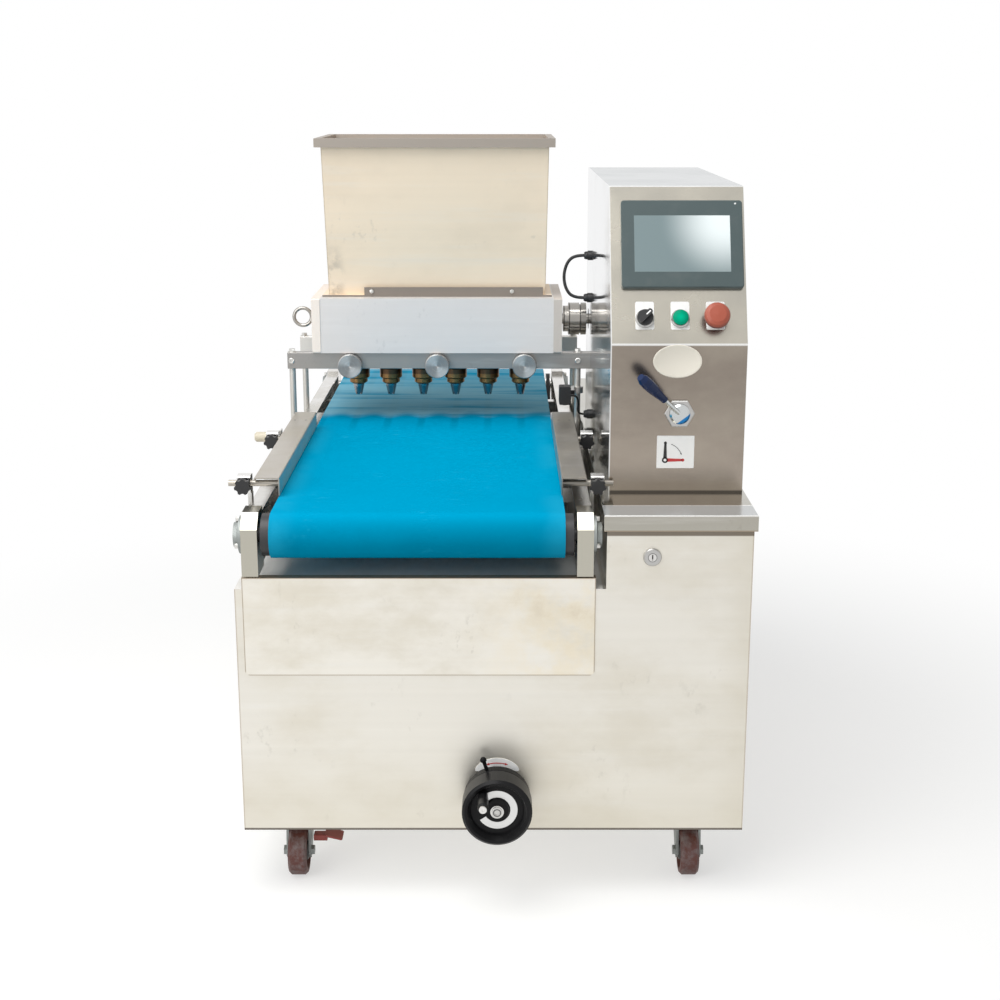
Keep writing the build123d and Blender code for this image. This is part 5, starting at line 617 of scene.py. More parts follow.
# Console: its slope, buttons, screen, lever and signs
SLOPE_FOOT = Vector((0.290, -0.440, 0.868))
SLOPE_UP = Vector((0.0, 0.42394, 0.90569))
SLOPE_OUT = Vector((0.0, -0.90569, 0.42394))
SLOPE_DEPTH = 0.110
BUTTON_XS = (0.235, 0.290, 0.345)
BUTTON_RISE = 0.041
PLATE_RISE = 0.0465
STOP_HEAD_LIFT = (0.0215, 0.0235)
LENS_LIFT = 0.0103
LENS_RADIUS = 0.011
LENS_PROFILE = ((0.0, 0.0026), (0.006, 0.0023), (0.0100, 0.0015), (0.0120, 0.0005), (0.0123, 0.0), (0.0, 0.0))
SCREEN_CORNER = (0.362, 0.198)
SCREEN_LAMP = (0.379, 0.2265, 0.009)
SCREEN_LAMP_PROFILE = ((0.0, 0.0007), (0.0013, 0.0006), (0.0016, 0.0), (0.0, 0.0))
SELECTOR_TILT = math.radians(-45.0)
POINTER_OUT = 0.006
POINTER_SIZE = (0.0022, 0.009, 0.0004, 0.0008)
LEVER_PIVOT = Vector((0.291, -0.448, 0.760))
LEVER_WAY = Vector((-0.6243, -0.4695, 0.6243))
LEVER_GRIP_FROM = 0.0415
DAB_WAY = Vector((0.6, 0.0, -0.8))
OVAL_CENTRE = (0.286, CONSOLE_FRONT_Y, 0.842)
OVAL_PROFILE = ((0.0, 1.0), (0.92, 1.0), (0.94, 1.3), (0.98, 1.3), (1.0, 0.9), (1.0, 0.0), (0.0, 0.0))
LEVER_SIGN_CENTRE = (0.2865, CONSOLE_FRONT_Y, 0.698)
LEVER_ARC = (math.radians(70), math.radians(24))
INK = 0.00015

# Handwheel and dial
WHEEL_AXIS = joint_place("handwheel_turn")
WHEEL_WEB_Y = -0.636
WHEEL_CAP_Y = -0.645
WHEEL_RING = (0.0205, 0.0315, math.radians(-147), math.radians(131), 0.0006, 48)
WHEEL_SIGN = (0.074, 0.0165, 0.0505)
WHEEL_ARC = (math.radians(76), math.radians(104))
HUB_SCREW = (0.0085, 0.0030)
DIAL_BACK_Y = CABINET_FRONT_Y - 0.0085
DIAL_SCREW_PLACE = (-0.018, -0.607, 0.2175)
DIAL_SCREW = (0.0024, 0.0012)
HANDLE_PIN_Y = -0.6885

# Head: posts, bars, nozzles and hopper
POST_XS = (-0.387, 0.159)
POST_YS = (0.130, 0.330)
POST_TOP_Z = 0.7328
BAR_TOP_Z = 0.764
BAR_SCREW_Z = 0.7485
BAR_FRONT_Y = 0.120
REAR_BAR_Y = 0.25
STRIP_FRONT_Y = 0.138
STRIP_BACK_Y = 0.1416
STRIP_TOP_Z = 0.8868
STRIP_BOLT_XS = (-0.233, 0.033)
STRIP_BOLT_Z = 0.8785
GROOVE_XS = (0.1345, 0.1445, 0.1655)
COLLAR_X = 0.1660
NOZZLE_X = -0.269
NOZZLE_PITCH = 0.064
NUT_RING_Z = 0.7075
NUT_NECK_Z = 0.7190
RIM_Z = HOPPER_HIGH[2] - 0.0163
HEAD_MIDDLE = Vector((-0.109, 0.0, 0.0))
HOPPER_FOOT = Vector((0.206, 0.150, 0.868))
HOPPER_LEAN = Vector((0.004, -0.050, 0.295)).normalized()

# Table, sensors and casters
CLAMP_FOOT_Z = 0.6350
BRACKET_BACK_Y = -0.5035
GUIDE_HOLES = tuple((x, -0.020, 0.662) for x in (-0.366, -0.346, 0.118, 0.138))
SENSOR_BRACKET_Y = 0.0904
EYE_STRAP_X = -0.3822
BEARING_SEATS = ((-0.3844, LEFT), (0.1564, RIGHT))
BEARING_BOLT_REACH = 0.0242
BEARING_BOLT_ANGLES = tuple(math.radians(turn) for turn in (90, 210, 330))
CORNERS = tuple(product(("front", "rear"), ("left", "right")))
CASTER_XS = (-0.319, 0.319)
CASTER_YS = (-0.465, 0.465)
CASTER_HOLE_XS = (-0.033, 0.033)
CASTER_HOLE_YS = (-0.038, 0.038)
CASTER_PLATE_Z = 0.109
CASTER_RIM = (0.0262, 0.0268)
CASTER_TREAD = (0.0352, 0.0372)
WASHER = 0.0012
SCREW_INSET = 0.014

# Brake pedal: its place, and each plate's width, height, thickness and corner radius
PEDAL_Y = -0.492
PEDAL_Z = 0.0655
PEDAL_SINK = 0.0005
PEDAL_DROP = 0.002
PEDAL_REACH = 0.032
PEDAL_TILT = (0.25, 0.0, 1.0)
PEDAL_ARM = (0.018, 0.010, 0.022, 0.0015)
PEDAL_TREAD = (0.030, 0.030, 0.0030, 0.004)

# Cables: the points of each route, its length along them and its radius
SENSOR_CABLE = (
    ((0.144, 0.076, 0.690), (0.152, 0.076, 0.690), (0.158, 0.0795, 0.683), (0.1595, 0.086, 0.670),
     (0.158, 0.092, 0.658), (0.1625, 0.096, 0.650), (0.170, 0.096, 0.650)),
    0.0617, 0.002,
)
LOOP_CABLE = (
    ((0.170, 0.150, 0.945), (0.152, 0.150, 0.945), (0.1375, 0.151, 0.932), (0.131, 0.1525, 0.906),
     (0.136, 0.1515, 0.880), (0.1505, 0.150, 0.865), (0.170, 0.150, 0.865)),
    0.1281, 0.003,
)

# Fixed shades of marks and small parts
WIPED = (0.90, 0.90, 0.88)
DECK_DUST = (0.86, 0.84, 0.80)
HEM_DARK = (0.05, 0.032, 0.026)
PANEL_TAN = (0.86, 0.765, 0.58)
PANEL_SMEAR = (0.47, 0.39, 0.29)
SEAM_BROWN = (0.40, 0.31, 0.21)
LID_FRONT = (0.36, 0.34, 0.29)
# Painted reflection on the lid's top strip and painted highlight on its folds.
LID_STRIP_REFLECTION = (0.50, 0.52, 0.53)
LID_FOLD_HIGHLIGHT = (0.88, 0.87, 0.84)
# Painted light on the console's top and painted highlights on its edges.
CONSOLE_TOP_LIGHT = (0.53, 0.55, 0.56)
CONSOLE_GLINT = (0.9, 0.9, 0.89)
# Painted reflection on the console's left wall, low and high.
WALL_REFLECTION_LOW = (0.20, 0.19, 0.18)
WALL_REFLECTION_HIGH = (0.64, 0.65, 0.66)
GROOVE_SHADE = (0.05, 0.048, 0.045)
# Painted shade in recesses: the lock's groove and slot, and the gap at the console's foot.
RECESS_SHADE = (0.05, 0.045, 0.04)
HUB_DARK = (0.05, 0.05, 0.05)
HOLE_SHADE = (0.03, 0.03, 0.03)
DRUM_DARK_AND_SHADE = (0.045, 0.045, 0.047)
POST_PALE = (0.58, 0.56, 0.52)
# Painted light on the rear bar, which lies in shade.
REAR_BAR_PAINTED_LIGHT = (0.70, 0.68, 0.64)
CLAMP_BRIGHT = (0.80, 0.79, 0.77)
BRACKET_DULL = (0.50, 0.48, 0.41)
NECK_GREY = (0.22, 0.21, 0.20)
DISC_STEEL = (0.58, 0.60, 0.60)
DAB_BLUE = (0.02, 0.19, 0.47)
SCREEN_REFLECTION = (0.86, 0.93, 0.93)
HUB_PLASTIC = (0.06, 0.055, 0.05)
SIGN_DUST = (0.55, 0.51, 0.42)
IVORY = (0.88, 0.83, 0.72)
IVORY_DUST = (0.60, 0.54, 0.42)
RING_SILVER = (0.78, 0.78, 0.77)
FASTENER_STEEL = (0.66, 0.65, 0.62)
PEDAL_RED = (0.30, 0.055, 0.045)
LAMP_WHITE = (0.85, 0.87, 0.85)

# Ways the brush lines run in a sheet
LEVEL = (0.012, 1.0, 1.0)
UPRIGHT = (1.0, 1.0, 0.012)
CROSSWAYS = (0.02, 1.0, 1.0)
LENGTHWAYS = (1.0, 0.02, 1.0)


def on_slope(x, rise, lift=0.0):
    """A point on the console's slope, at a height along it and a lift off it."""
    point = SLOPE_FOOT + rise * SLOPE_UP + lift * SLOPE_OUT
    return Vector((x, point.y, point.z))


# Operators, one for each piece or group of like pieces

SENSOR_WIDTH = 36.0
FLOOR_HALF = 14.0
FLOOR_GREY = (0.50, 0.50, 0.49)
FLOOR_GLOW = 0.54
FLOOR_FADE = (0.75, 1.9)
ROOM_COLOUR = (0.97, 0.98, 1.0)
SEEN_COLOUR = (1.0, 1.0, 1.0)
LAMP_AIM = Vector((0.0, 0.0, 0.6))
KEY_LAMP = ((-0.9, -1.3, 3.4), 2.4)
FILL_LAMP = ((-2.0, -2.5, 1.5), 1.8)


class MACHINE_OT_stage(bpy.types.Operator):
    """Adds the camera, the pale floor, the room's light and two lamps"""

    bl_idname = "machine.stage"
    bl_label = "Stage"

    def execute(self, context):
        scene = context.scene
        stage = scene.machine_stage
        camera = bpy.data.cameras.new("view")
        camera.lens = stage.lens
        camera.sensor_width = SENSOR_WIDTH
        eye = bpy.data.objects.new("view", camera)
        eye.location = (stage.eye_x, stage.eye_y, stage.eye_z)
        eye.rotation_euler = (math.pi / 2 - stage.tilt, 0.0, 0.0)
        scene.collection.objects.link(eye)
        scene.camera = eye
        scene.view_settings.view_transform = "Standard"
        self.add_floor(scene)
        self.add_world(scene, stage)
        self.add_lamp(scene, "key_lamp", stage.key, *KEY_LAMP)
        self.add_lamp(scene, "fill_lamp", stage.fill, *FILL_LAMP)
        return {"FINISHED"}

    @staticmethod
    def seen_ray(nodes):
        """1 for the rays that see the background."""
        path = nodes.tree.nodes.new("ShaderNodeLightPath").outputs
        return nodes.either(*(path[f"Is {kind} Ray"] for kind in ("Camera", "Glossy", "Transmission")))

    def add_floor(self, scene):
        """A pale floor that keeps the shadow near the machine and fades into the white room."""
        bm = bmesh.new()
        bmesh.ops.create_grid(bm, x_segments=2, y_segments=2, size=FLOOR_HALF)
        mesh = bpy.data.meshes.new("floor")
        bm.to_mesh(mesh)
        bm.free()
        floor = bpy.data.objects.new("floor", mesh)
        scene.collection.objects.link(floor)
        finish = Finish("pale_floor", 0.0, 0.95)
        finish.set("Base Color", (*FLOOR_GREY, 1.0))
        finish.set("Specular IOR Level", 0.0)
        seen = self.seen_ray(finish)
        glow = finish.add("Emission", "Emission", {"Strength": finish.both(seen, FLOOR_GLOW)})
        near = finish.add("AddShader", "Shader", {0: finish.shader.outputs["BSDF"], 1: glow})
        white = finish.add("Emission", "Emission", {})
        far = finish.ramp(finish.axis_distance((0.0, 0.0, 0.0), UPWARDS), *FLOOR_FADE)
        faded = finish.add("MixShader", "Shader", {"Fac": finish.both(far, seen), 1: near, 2: white})
        finish.tree.links.new(faded, finish.tree.nodes["Material Output"].inputs["Surface"])
        mesh.materials.append(finish.material)

    def add_world(self, scene, stage):
        """A room that lights the machine softly and is seen as white."""
        world = bpy.data.worlds.new("white_room")
        world.use_nodes = True
        nodes = Nodes(world.node_tree)
        room = nodes.tree.nodes["Background"]
        room.inputs["Color"].default_value = (*ROOM_COLOUR, 1.0)
        room.inputs["Strength"].default_value = stage.world
        seen = nodes.add("Background", "Background", {"Color": SEEN_COLOUR})
        sides = {"Fac": self.seen_ray(nodes), 1: room.outputs["Background"], 2: seen}
        mixed = nodes.add("MixShader", "Shader", sides)
        nodes.tree.links.new(mixed, nodes.tree.nodes["World Output"].inputs["Surface"])
        scene.world = world

    @staticmethod
    def add_lamp(scene, name, watts, place, size):
        """A square lamp that looks at the machine's middle."""
        lamp = bpy.data.lights.new(name, "AREA")
        lamp.energy = watts
        lamp.size = size
        holder = bpy.data.objects.new(name, lamp)
        holder.location = place
        holder.rotation_euler = (LAMP_AIM - Vector(place)).to_track_quat("-Z", "Y").to_euler()
        scene.collection.objects.link(holder)


class MACHINE_OT_cables(bpy.types.Operator):
    """Adds the sensor's cable and the looped cable behind the head"""

    bl_idname = "machine.cables"
    bl_label = "Cables"

    def execute(self, context):
        sheath = moulded("cable_sheath", finishes().cable, rough=0.46, dust=0.08)
        self.add_cable("sensor_lead", "sensor_cable", sheath, *SENSOR_CABLE)
        self.add_cable("loop_lead", "loop_cable", sheath, *LOOP_CABLE)
        return {"FINISHED"}

    @staticmethod
    def add_cable(name, node, material, route, cable_length, radius):
        """A round cable along a route, in place of its CAD node."""
        line = bpy.data.curves.new(name, "CURVE")
        line.dimensions = "3D"
        line.bevel_depth = radius
        line.bevel_resolution = 5
        line.use_fill_caps = True
        spline = line.splines.new("NURBS")
        spline.points.add(len(route) - 1)
        for point, place in zip(spline.points, route):
            point.co = (*place, 1.0)
        spline.order_u = 3
        spline.use_endpoint_u = True
        spline.resolution_u = 14
        line.materials.append(material)
        piece = bpy.data.objects.new(name, line)
        bpy.context.scene.collection.objects.link(piece)
        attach(piece, "base")
        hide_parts(node)


# Widths of thin lines and skins in the finishes, in metres
SKIN = 0.0008
DECK_SKIN = 0.0004
WALL_SKIN = 0.0010
FRONT_SKIN = 0.0012
CABINET_SKIN = 0.003
LINE_SOFT = 0.0010


class MACHINE_OT_sheet_finishes(bpy.types.Operator):
    """Gives the cabinet, lid, front panel, hopper, pump and console their stainless sheet"""

    bl_idname = "machine.sheet_finishes"
    bl_label = "Sheet finishes"

    def execute(self, context):
        paint = finishes()
        stain = paint.sheet_stain
        # Node, finish, colour, stain, metallic, roughness, brush, stain size, mottle, relief, tint, metal
        wear_sheets(
            ("cabinet_shell", "cabinet_sheet", paint.sheet, stain,
             0.88, 0.36, LEVEL, 1.0, 0.5, 0.05, self.cabinet_seams, self.dull_deck),
            ("front_panel", "panel_sheet", scaled_colour(paint.sheet, 1.06), stain,
             0.88, 0.36, LEVEL, 1.5, 0.62, 0.05, self.panel_edge),
            ("cabinet_lid", "lid_sheet", paint.lid, scaled_colour(stain, 0.7),
             1.0, 0.11, LEVEL, 1.4, 0.3, 0.02, self.lid_edge, self.lid_metal),
            ("hopper", "hopper_sheet", paint.hopper, scaled_colour(paint.hopper, 0.88),
             0.15, 0.46, LEVEL, 1.3, 0.55, 0.02, self.hopper_marks),
            ("pump_body", "pump_face", paint.pump, scaled_colour(paint.pump, 0.92),
             0.12, 0.42, LEVEL, 1.8, 0.4, 0.02),
            ("pump_ends", "pump_end_face", paint.pump_end, scaled_colour(paint.pump_end, 0.9),
             0.1, 0.40, UPRIGHT, 1.8, 0.4, 0.02, self.shaded_right_end),
            ("console_back", "console_back", paint.console, stain, 0.95, 0.26, UPRIGHT, 1.0, 0.35),
        )
        wear(self.console(), "console_shell")
        return {"FINISHED"}

    @staticmethod
    def deck(finish):
        """Mask of the cabinet's low deck, beside the raised side."""
        level = finish.within(finish.split["Z"], DECK_Z - DECK_SKIN, DECK_Z + DECK_SKIN)
        return finish.both(level, finish.below("X", LID_LOW[0]))

    @classmethod
    def cabinet_seams(cls, finish, face):
        """Stains low, darker towards the right edge, dark lines along the side edges, a painted shadow line
        under the lid on the raised side, a dark line at the foot, deck flour.
        """
        paint = finishes()
        front = finish.below("Y", CABINET_FRONT_Y + CABINET_SKIN)
        right = finish.both(finish.above("X", CABINET_HIGH[0] - 0.03, 0.03), front)
        edges = finish.ends("X", CABINET_LOW, CABINET_HIGH, 0.0014, LINE_SOFT)
        # Painted shadow of the lid's skirt on the raised side.
        raised = finish.both(finish.above("X", LID_LOW[0]), finish.above("Z", LID_LOW[2] - 0.0082, LINE_SOFT))
        hem = finish.both(finish.below("Z", CABINET_LOW[2] + 0.0032, LINE_SOFT), front)
        return finish.layers(
            face,
            (finish.below("Z", 0.20, 0.09), 0.42, paint.sheet_stain),
            (right, 0.34, paint.sheet_stain),
            (edges, 0.55, paint.edge_grime_and_shade),
            (raised, 0.85, scaled_colour(paint.edge_grime_and_shade, 0.4)),
            (hem, 0.85, HEM_DARK),
            (cls.deck(finish), FULL, DECK_DUST),
        )

    @classmethod
    def dull_deck(cls, finish):
        """Steel all over, but for the flour on the deck under the table."""
        return finish.line(cls.deck(finish), -0.80, 0.88)

    @staticmethod
    def lid_strip(finish):
        """Mask of the strip along the front of the lid's top."""
        return finish.both(finish.above("Z", LID_HIGH[2] - SKIN), finish.below("Y", LID_STEP_Y))

    @classmethod
    def lid_edge(cls, finish, face):
        """Warmer front, a paler strip on top that is a painted reflection between painted highlight lines,
        and a painted shadow line along the foot.
        """
        front = finish.both(finish.below("Y", LID_LOW[1] + SKIN), finish.below("Z", LID_HIGH[2] - SKIN))
        # Painted highlights along the lid's front fold and its step.
        fold = finish.edge([((0.0, LID_LOW[1], LID_HIGH[2]), RIGHT)], 0.0024)
        step = finish.edge([((0.0, LID_STEP_Y, LID_HIGH[2]), RIGHT)], 0.0030)
        return finish.layers(
            face,
            (front, 0.25, LID_FRONT),
            # Painted reflection on the strip along the front of the lid's top.
            (cls.lid_strip(finish), 0.8, LID_STRIP_REFLECTION),
            (finish.either(fold, step), FULL, LID_FOLD_HIGHLIGHT),
            # Painted shadow along the lid's foot.
            (finish.below("Z", LID_LOW[2] + 0.0016, 0.0008), 0.7, finishes().edge_grime_and_shade),
        )

    @classmethod
    def lid_metal(cls, finish):
        """Polished metal, duller on the lid's front strip."""
        return finish.line(cls.lid_strip(finish), -0.6, 1.0)

    @staticmethod
    def shaded_right_end(finish, face):
        """Darker right end plate: painted shade, as lit from the left."""
        return finish.layers(face, (finish.above("X", 0.0), FULL, scaled_colour(finishes().pump_end, 0.62)))

    @staticmethod
    def panel_edge(finish, face):
        """Tan right side, a smeared upper right corner and a thin dark line round the panel, painted shadow
        of its edge gap.
        """
        edge = finish.either(*(finish.ends(axis, PANEL_LOW, PANEL_HIGH, 0.0011, 0.0006) for axis in "XZ"))
        corner = finish.both(finish.above("X", 0.05, 0.09), finish.above("Z", 0.46, 0.06))
        smear = finish.noise(finish.place, 24.0, 5.0, 0.6)
        tanned = finish.both(finish.above("X", 0.02, 0.10), finish.ramp(smear, 0.30, 0.62))
        return finish.layers(
            face,
            (tanned, 0.55, PANEL_TAN),
            (finish.both(corner, finish.ramp(smear, 0.48, 0.74)), 0.45, PANEL_SMEAR),
            # Painted shadow in the gap round the panel.
            (edge, 0.85, finishes().edge_grime_and_shade),
        )

    @staticmethod
    def hopper_marks(finish, face):
        """A stain at the left foot, brown front seams, and a grey folded rim and front strip."""
        rim = finishes().rim
        strip = finish.both(finish.below("Z", STRIP_TOP_Z), finish.below("Y", STRIP_BACK_Y))
        foot = finish.both(
            finish.below("X", -0.290, 0.012), finish.below("Z", 0.945, 0.045), finish.below("Y", 0.175, 0.03),
            finish.ramp(finish.noise(finish.place, 30.0, 4.0, 0.6), 0.44, 0.62),
        )
        seams = finish.edge([
            (HOPPER_FOOT * Vector((side, 1.0, 1.0)) + HEAD_MIDDLE, HOPPER_LEAN * Vector((side, 1.0, 1.0)))
            for side in (-1.0, 1.0)
        ], 0.0022)
        return finish.layers(
            face,
            (foot, 0.5, scaled_colour(rim, 0.8)),
            (seams, 0.55, SEAM_BROWN),
            (finish.either(finish.above("Z", RIM_Z), strip), FULL, rim),
            (strip, FULL, scaled_colour(rim, 0.62)),
        )

    @staticmethod
    def console():
        """Polished console: warm slope, darker upright front as painted shade, pale top as painted light, a
        painted reflection on its left wall, painted highlights along its edges and a painted shadow line at
        its foot.
        """
        paint = finishes()
        low = paint.console_front_shade
        finish = Finish("console_sheet", metallic=1.0)
        height = finish.split["Z"]
        marks = finish.group("handled_sheet", finish.place)
        lines = finish.group("brush_lines", finish.stretched(finish.place, UPRIGHT))
        front = finish.below("Y", CONSOLE_FRONT_Y + FRONT_SKIN)
        foot = finish.both(finish.below("Z", SLOPE_FOOT.z, 0.0008), front)
        # The upright front is painted shade: a lit and a shaded copy of its colour, darker towards its top.
        shades = scaled_colour(low, 1.10), scaled_colour(low, 0.80)
        shaded_front = finish.mix(finish.ramp(height, 0.62, 0.80), *shades)
        # The left wall is a painted reflection, dark low and pale high.
        left = finish.below("X", CONSOLE_LOW[0] + WALL_SKIN)
        wall = finish.mix(finish.ramp(height, 0.70, 0.80), WALL_REFLECTION_LOW, WALL_REFLECTION_HIGH)
        # Painted shadow line in the gap along the foot of the front.
        base = finish.both(finish.below("Z", CONSOLE_LOW[2] + 0.0035, 0.0012), front)
        corner = (CONSOLE_LOW[0], CONSOLE_FRONT_Y, SLOPE_FOOT.z)
        top = (CONSOLE_LOW[0], CONSOLE_FRONT_Y + SLOPE_DEPTH, CONSOLE_HIGH[2])
        # Painted highlights along the left edges, the fold and the top edge.
        glint = finish.edge([(corner, UPWARDS), (corner, SLOPE_UP), (corner, RIGHT), (top, RIGHT)], 0.0026)
        finish.feed("Base Color", finish.layers(
            paint.console,
            (foot, FULL, shaded_front),
            (marks["Mottle"], 0.22, paint.sheet_stain),
            (lines["Tone"], 0.12, scaled_colour(low, 0.7)),
            (finish.above("Z", CONSOLE_HIGH[2] - WALL_SKIN), FULL, CONSOLE_TOP_LIGHT),
            (left, FULL, wall),
            (base, 0.8, RECESS_SHADE),
            (glint, 0.8, CONSOLE_GLINT),
        ))
        finish.feed_rough(left, -0.14, finish.line(marks["Mottle"], 0.08, 0.20))
        finish.bump(lines["Height"], 0.04)
        return finish.material


class MACHINE_OT_metal_finishes(bpy.types.Operator):
    """Gives bars, rails, guides, shafts, castings and motors their metal"""

    bl_idname = "machine.metal_finishes"
    bl_label = "Metal finishes"

    def execute(self, context):
        paint = finishes()
        stain = scaled_colour(paint.sheet_stain, 0.75)
        # Node, finish, colour, stain, metallic, roughness, brush, stain size, mottle, relief, tint
        wear_sheets(
            ("head_frame", "bar_steel", paint.bar, scaled_colour(stain, 0.8),
             0.55, 0.30, CROSSWAYS, 2.0, 0.3, 0.05, self.posts),
            ("nozzle_manifold", "manifold_steel", scaled_colour(paint.bar, 0.7), stain,
             1.0, 0.3, CROSSWAYS, 2.0, 0.3),
            # Painted light and shade: the left guide is painted lighter and the right one darker.
            *((f"tray_guide_{side}", f"guide_steel_{side}", scaled_colour(paint.guide, shade), stain,
               0.65, 0.30, LENGTHWAYS, 2.6, 0.4, 0.05, self.guide_holes)
              for side, shade in (("left", 1.5), ("right", 0.84))),
            ("table_frame", "rail_steel", paint.rail, stain,
             1.0, 0.18, LENGTHWAYS, 2.2, 0.45, 0.05, self.clamps),
            ("belt_bed", "bed_steel", scaled_colour(paint.rail, 0.7), stain, 0.95, 0.34, LENGTHWAYS, 2.0),
        )
        wear(
            turned_metal("turned_steel", paint.bright, rough=0.14),
            "lift_screw", "handwheel_shaft", "idle_roller", "rear_drum", "motor_shaft",
        )
        wear(
            turned_metal("zinc_casting", paint.iron, rough=0.42, metallic=0.7), "lift_plate", "drum_bearings",
            "caster_fork_front_left", "caster_fork_front_right", "caster_mounts",
        )
        # Dark grey drum, darkened further as painted shade where its ends show beside the belt.
        wear(turned_metal("dark_drum", DRUM_DARK_AND_SHADE, rough=0.34, metallic=0.4), "front_drum")
        wear(turned_metal("eye_steel", paint.coupling, rough=0.20), "lifting_eye")
        wear(turned_metal("fitting_steel", scaled_colour(paint.bright, 0.72), rough=0.24), "panel_fittings")
        coupling = turned_metal("coupling_steel", paint.coupling, rough=0.13, tint=self.coupling_rings)
        wear(coupling, "driven_roller")
        wear(turned_metal("lock_steel", paint.bright, 0.20, LOCK_CENTRE, tint=self.lock_rings), "lock_barrel")
        casting = turned_metal("lift_casting", paint.iron, 0.40, metallic=0.6, tint=self.dial, gloss=0.12)
        wear(casting, "lift_bearings")
        wear(moulded("motor_paint", paint.motor, rough=0.38, dust=0.14), "belt_motor", "pump_motor")
        return {"FINISHED"}

    @staticmethod
    def coupling_rings(finish, face):
        """A duller collar by the console, and painted shade in grooves round the coupling."""
        across = finish.split["X"]
        grooves = finish.either(*(finish.within(across, x - 0.0010, x + 0.0010) for x in GROOVE_XS))
        collar = scaled_colour(finishes().coupling, 0.7)
        return finish.layers(face, (finish.above("X", COLLAR_X), FULL, collar), (grooves, 0.85, GROOVE_SHADE))

    @staticmethod
    def lock_rings(finish, face):
        """Painted shade in a groove round the lock's key face and in a key slot across it."""
        groove = finish.within(finish.axis_distance(LOCK_CENTRE, BACK), 0.0060, 0.0074, 0.0002)
        level = finish.within(finish.along(LOCK_CENTRE, UPWARDS), -0.0034, 0.0034, 0.0002)
        slot = finish.both(finish.within(finish.along(LOCK_CENTRE, RIGHT), -0.00095, 0.00095, 0.00015), level)
        marks = finish.either(finish.both(groove, 0.8), slot)
        return finish.layers(face, (marks, FULL, RECESS_SHADE))

    @staticmethod
    def posts(finish, face):
        """Pale bright posts under the bars, and a paler rear bar, painted light where the bar lies in shade.
        """
        return finish.layers(
            face,
            (finish.above("Y", REAR_BAR_Y), FULL, REAR_BAR_PAINTED_LIGHT),
            (finish.below("Z", POST_TOP_Z), FULL, POST_PALE),
        )

    @staticmethod
    def clamps(finish, face):
        """Bright clamps above the rails and duller end brackets."""
        return finish.layers(
            face,
            (finish.below("Y", BRACKET_BACK_Y), FULL, BRACKET_DULL),
            (finish.above("Z", CLAMP_FOOT_Z), FULL, CLAMP_BRIGHT),
        )

    @staticmethod
    def guide_holes(finish, face):
        """Two small holes near the back end of each guide, painted dark as the shade in them."""
        holes = (finish.ramp(finish.axis_distance(hole, UPWARDS), 0.0026, 0.0020) for hole in GUIDE_HOLES)
        return finish.layers(face, (finish.either(*holes), FULL, HOLE_SHADE))

    @staticmethod
    def dial(finish, face):
        """Black dial in front of the cabinet."""
        black = scaled_colour(finishes().black, 0.6)
        return finish.layers(face, (finish.below("Y", DIAL_BACK_Y), FULL, black))


class MACHINE_OT_belt(bpy.types.Operator):
    """Gives the conveyor its smooth blue belt and the drive its black one"""

    bl_idname = "machine.belt"
    bl_label = "Belts"

    def execute(self, context):
        paint = finishes()
        wear(self.blue(paint), "conveyor_belt")
        wear(moulded("black_rubber", paint.black, rough=0.62, dust=0.2), "drive_belt")
        return {"FINISHED"}

    @staticmethod
    def blue(paint):
        """Blue belt with pale scratches and rubbed edges, painted shade on its nose, nozzle streaks that are
        painted shadows and reflections of the nozzles, and a painted reflection of the head, lightened as
        painted light, under the head.
        """
        finish = Finish("blue_belt")
        place = finish.place
        way = finish.split["Y"]
        cloud = finish.noise(place, 5.5, 5.0, 0.6)
        clouds = finish.ramp(cloud, 0.45, 0.75)
        scratch = finish.noise(finish.stretched(place, (1.0, 2.6, 1.0)), 34.0, 6.0, 0.72)
        patch = finish.noise(place, 7.0, 2.0, 0.5)
        scratches = finish.both(finish.ramp(scratch, 0.55, 0.74), finish.ramp(patch, 0.47, 0.64))
        sides = finish.ends("X", BELT_LOW, BELT_HIGH, 0.026, 0.020)
        turn = 2 * math.pi / NOZZLE_PITCH
        crest = finish.maths("COSINE", finish.line(finish.split["X"], turn, -turn * NOZZLE_X))
        streaks = finish.both(finish.ramp(crest, 0.55, 1.0), finish.ramp(way, 0.0, 0.13))
        band = finish.noise(finish.stretched(place, (0.4, 3.2, 1.0)), 9.0, 3.0, 0.5)
        start = finish.ramp(finish.line(crest, 0.011, way), 0.150, 0.215)
        fade = finish.line(finish.ramp(way, 0.40, 0.65), -0.45, 1.0)
        finish.feed("Base Color", finish.layers(
            paint.belt,
            # Painted shade on the nose, where the belt turns down.
            (finish.below("Y", BELT_LOW[1] + 0.012, 0.016), 0.58, scaled_colour(paint.belt, 0.45)),
            (clouds, 0.5, scaled_colour(paint.belt, 0.88)),
            # Painted shadows and reflections of the nozzles.
            (streaks, 0.5, scaled_colour(paint.belt, 0.62)),
            (finish.both(sides, finish.ramp(cloud, 0.42, 0.62)), 0.30, paint.belt_scuff),
            (scratches, 0.42, paint.belt_scuff),
            # Painted reflection of the head on the belt under it, lightened as painted light, with scallops
            # under the nozzles.
            (finish.both(start, fade, finish.ramp(band, 0.24, 0.56)), 0.85, paint.belt_reflection_film),
        ))
        finish.feed_rough(clouds, 0.12, 0.40)
        finish.set("Specular IOR Level", 0.0)
        finish.bump(finish.noise(place, 900.0, 1.0, 0.5), 0.08)
        return finish.material


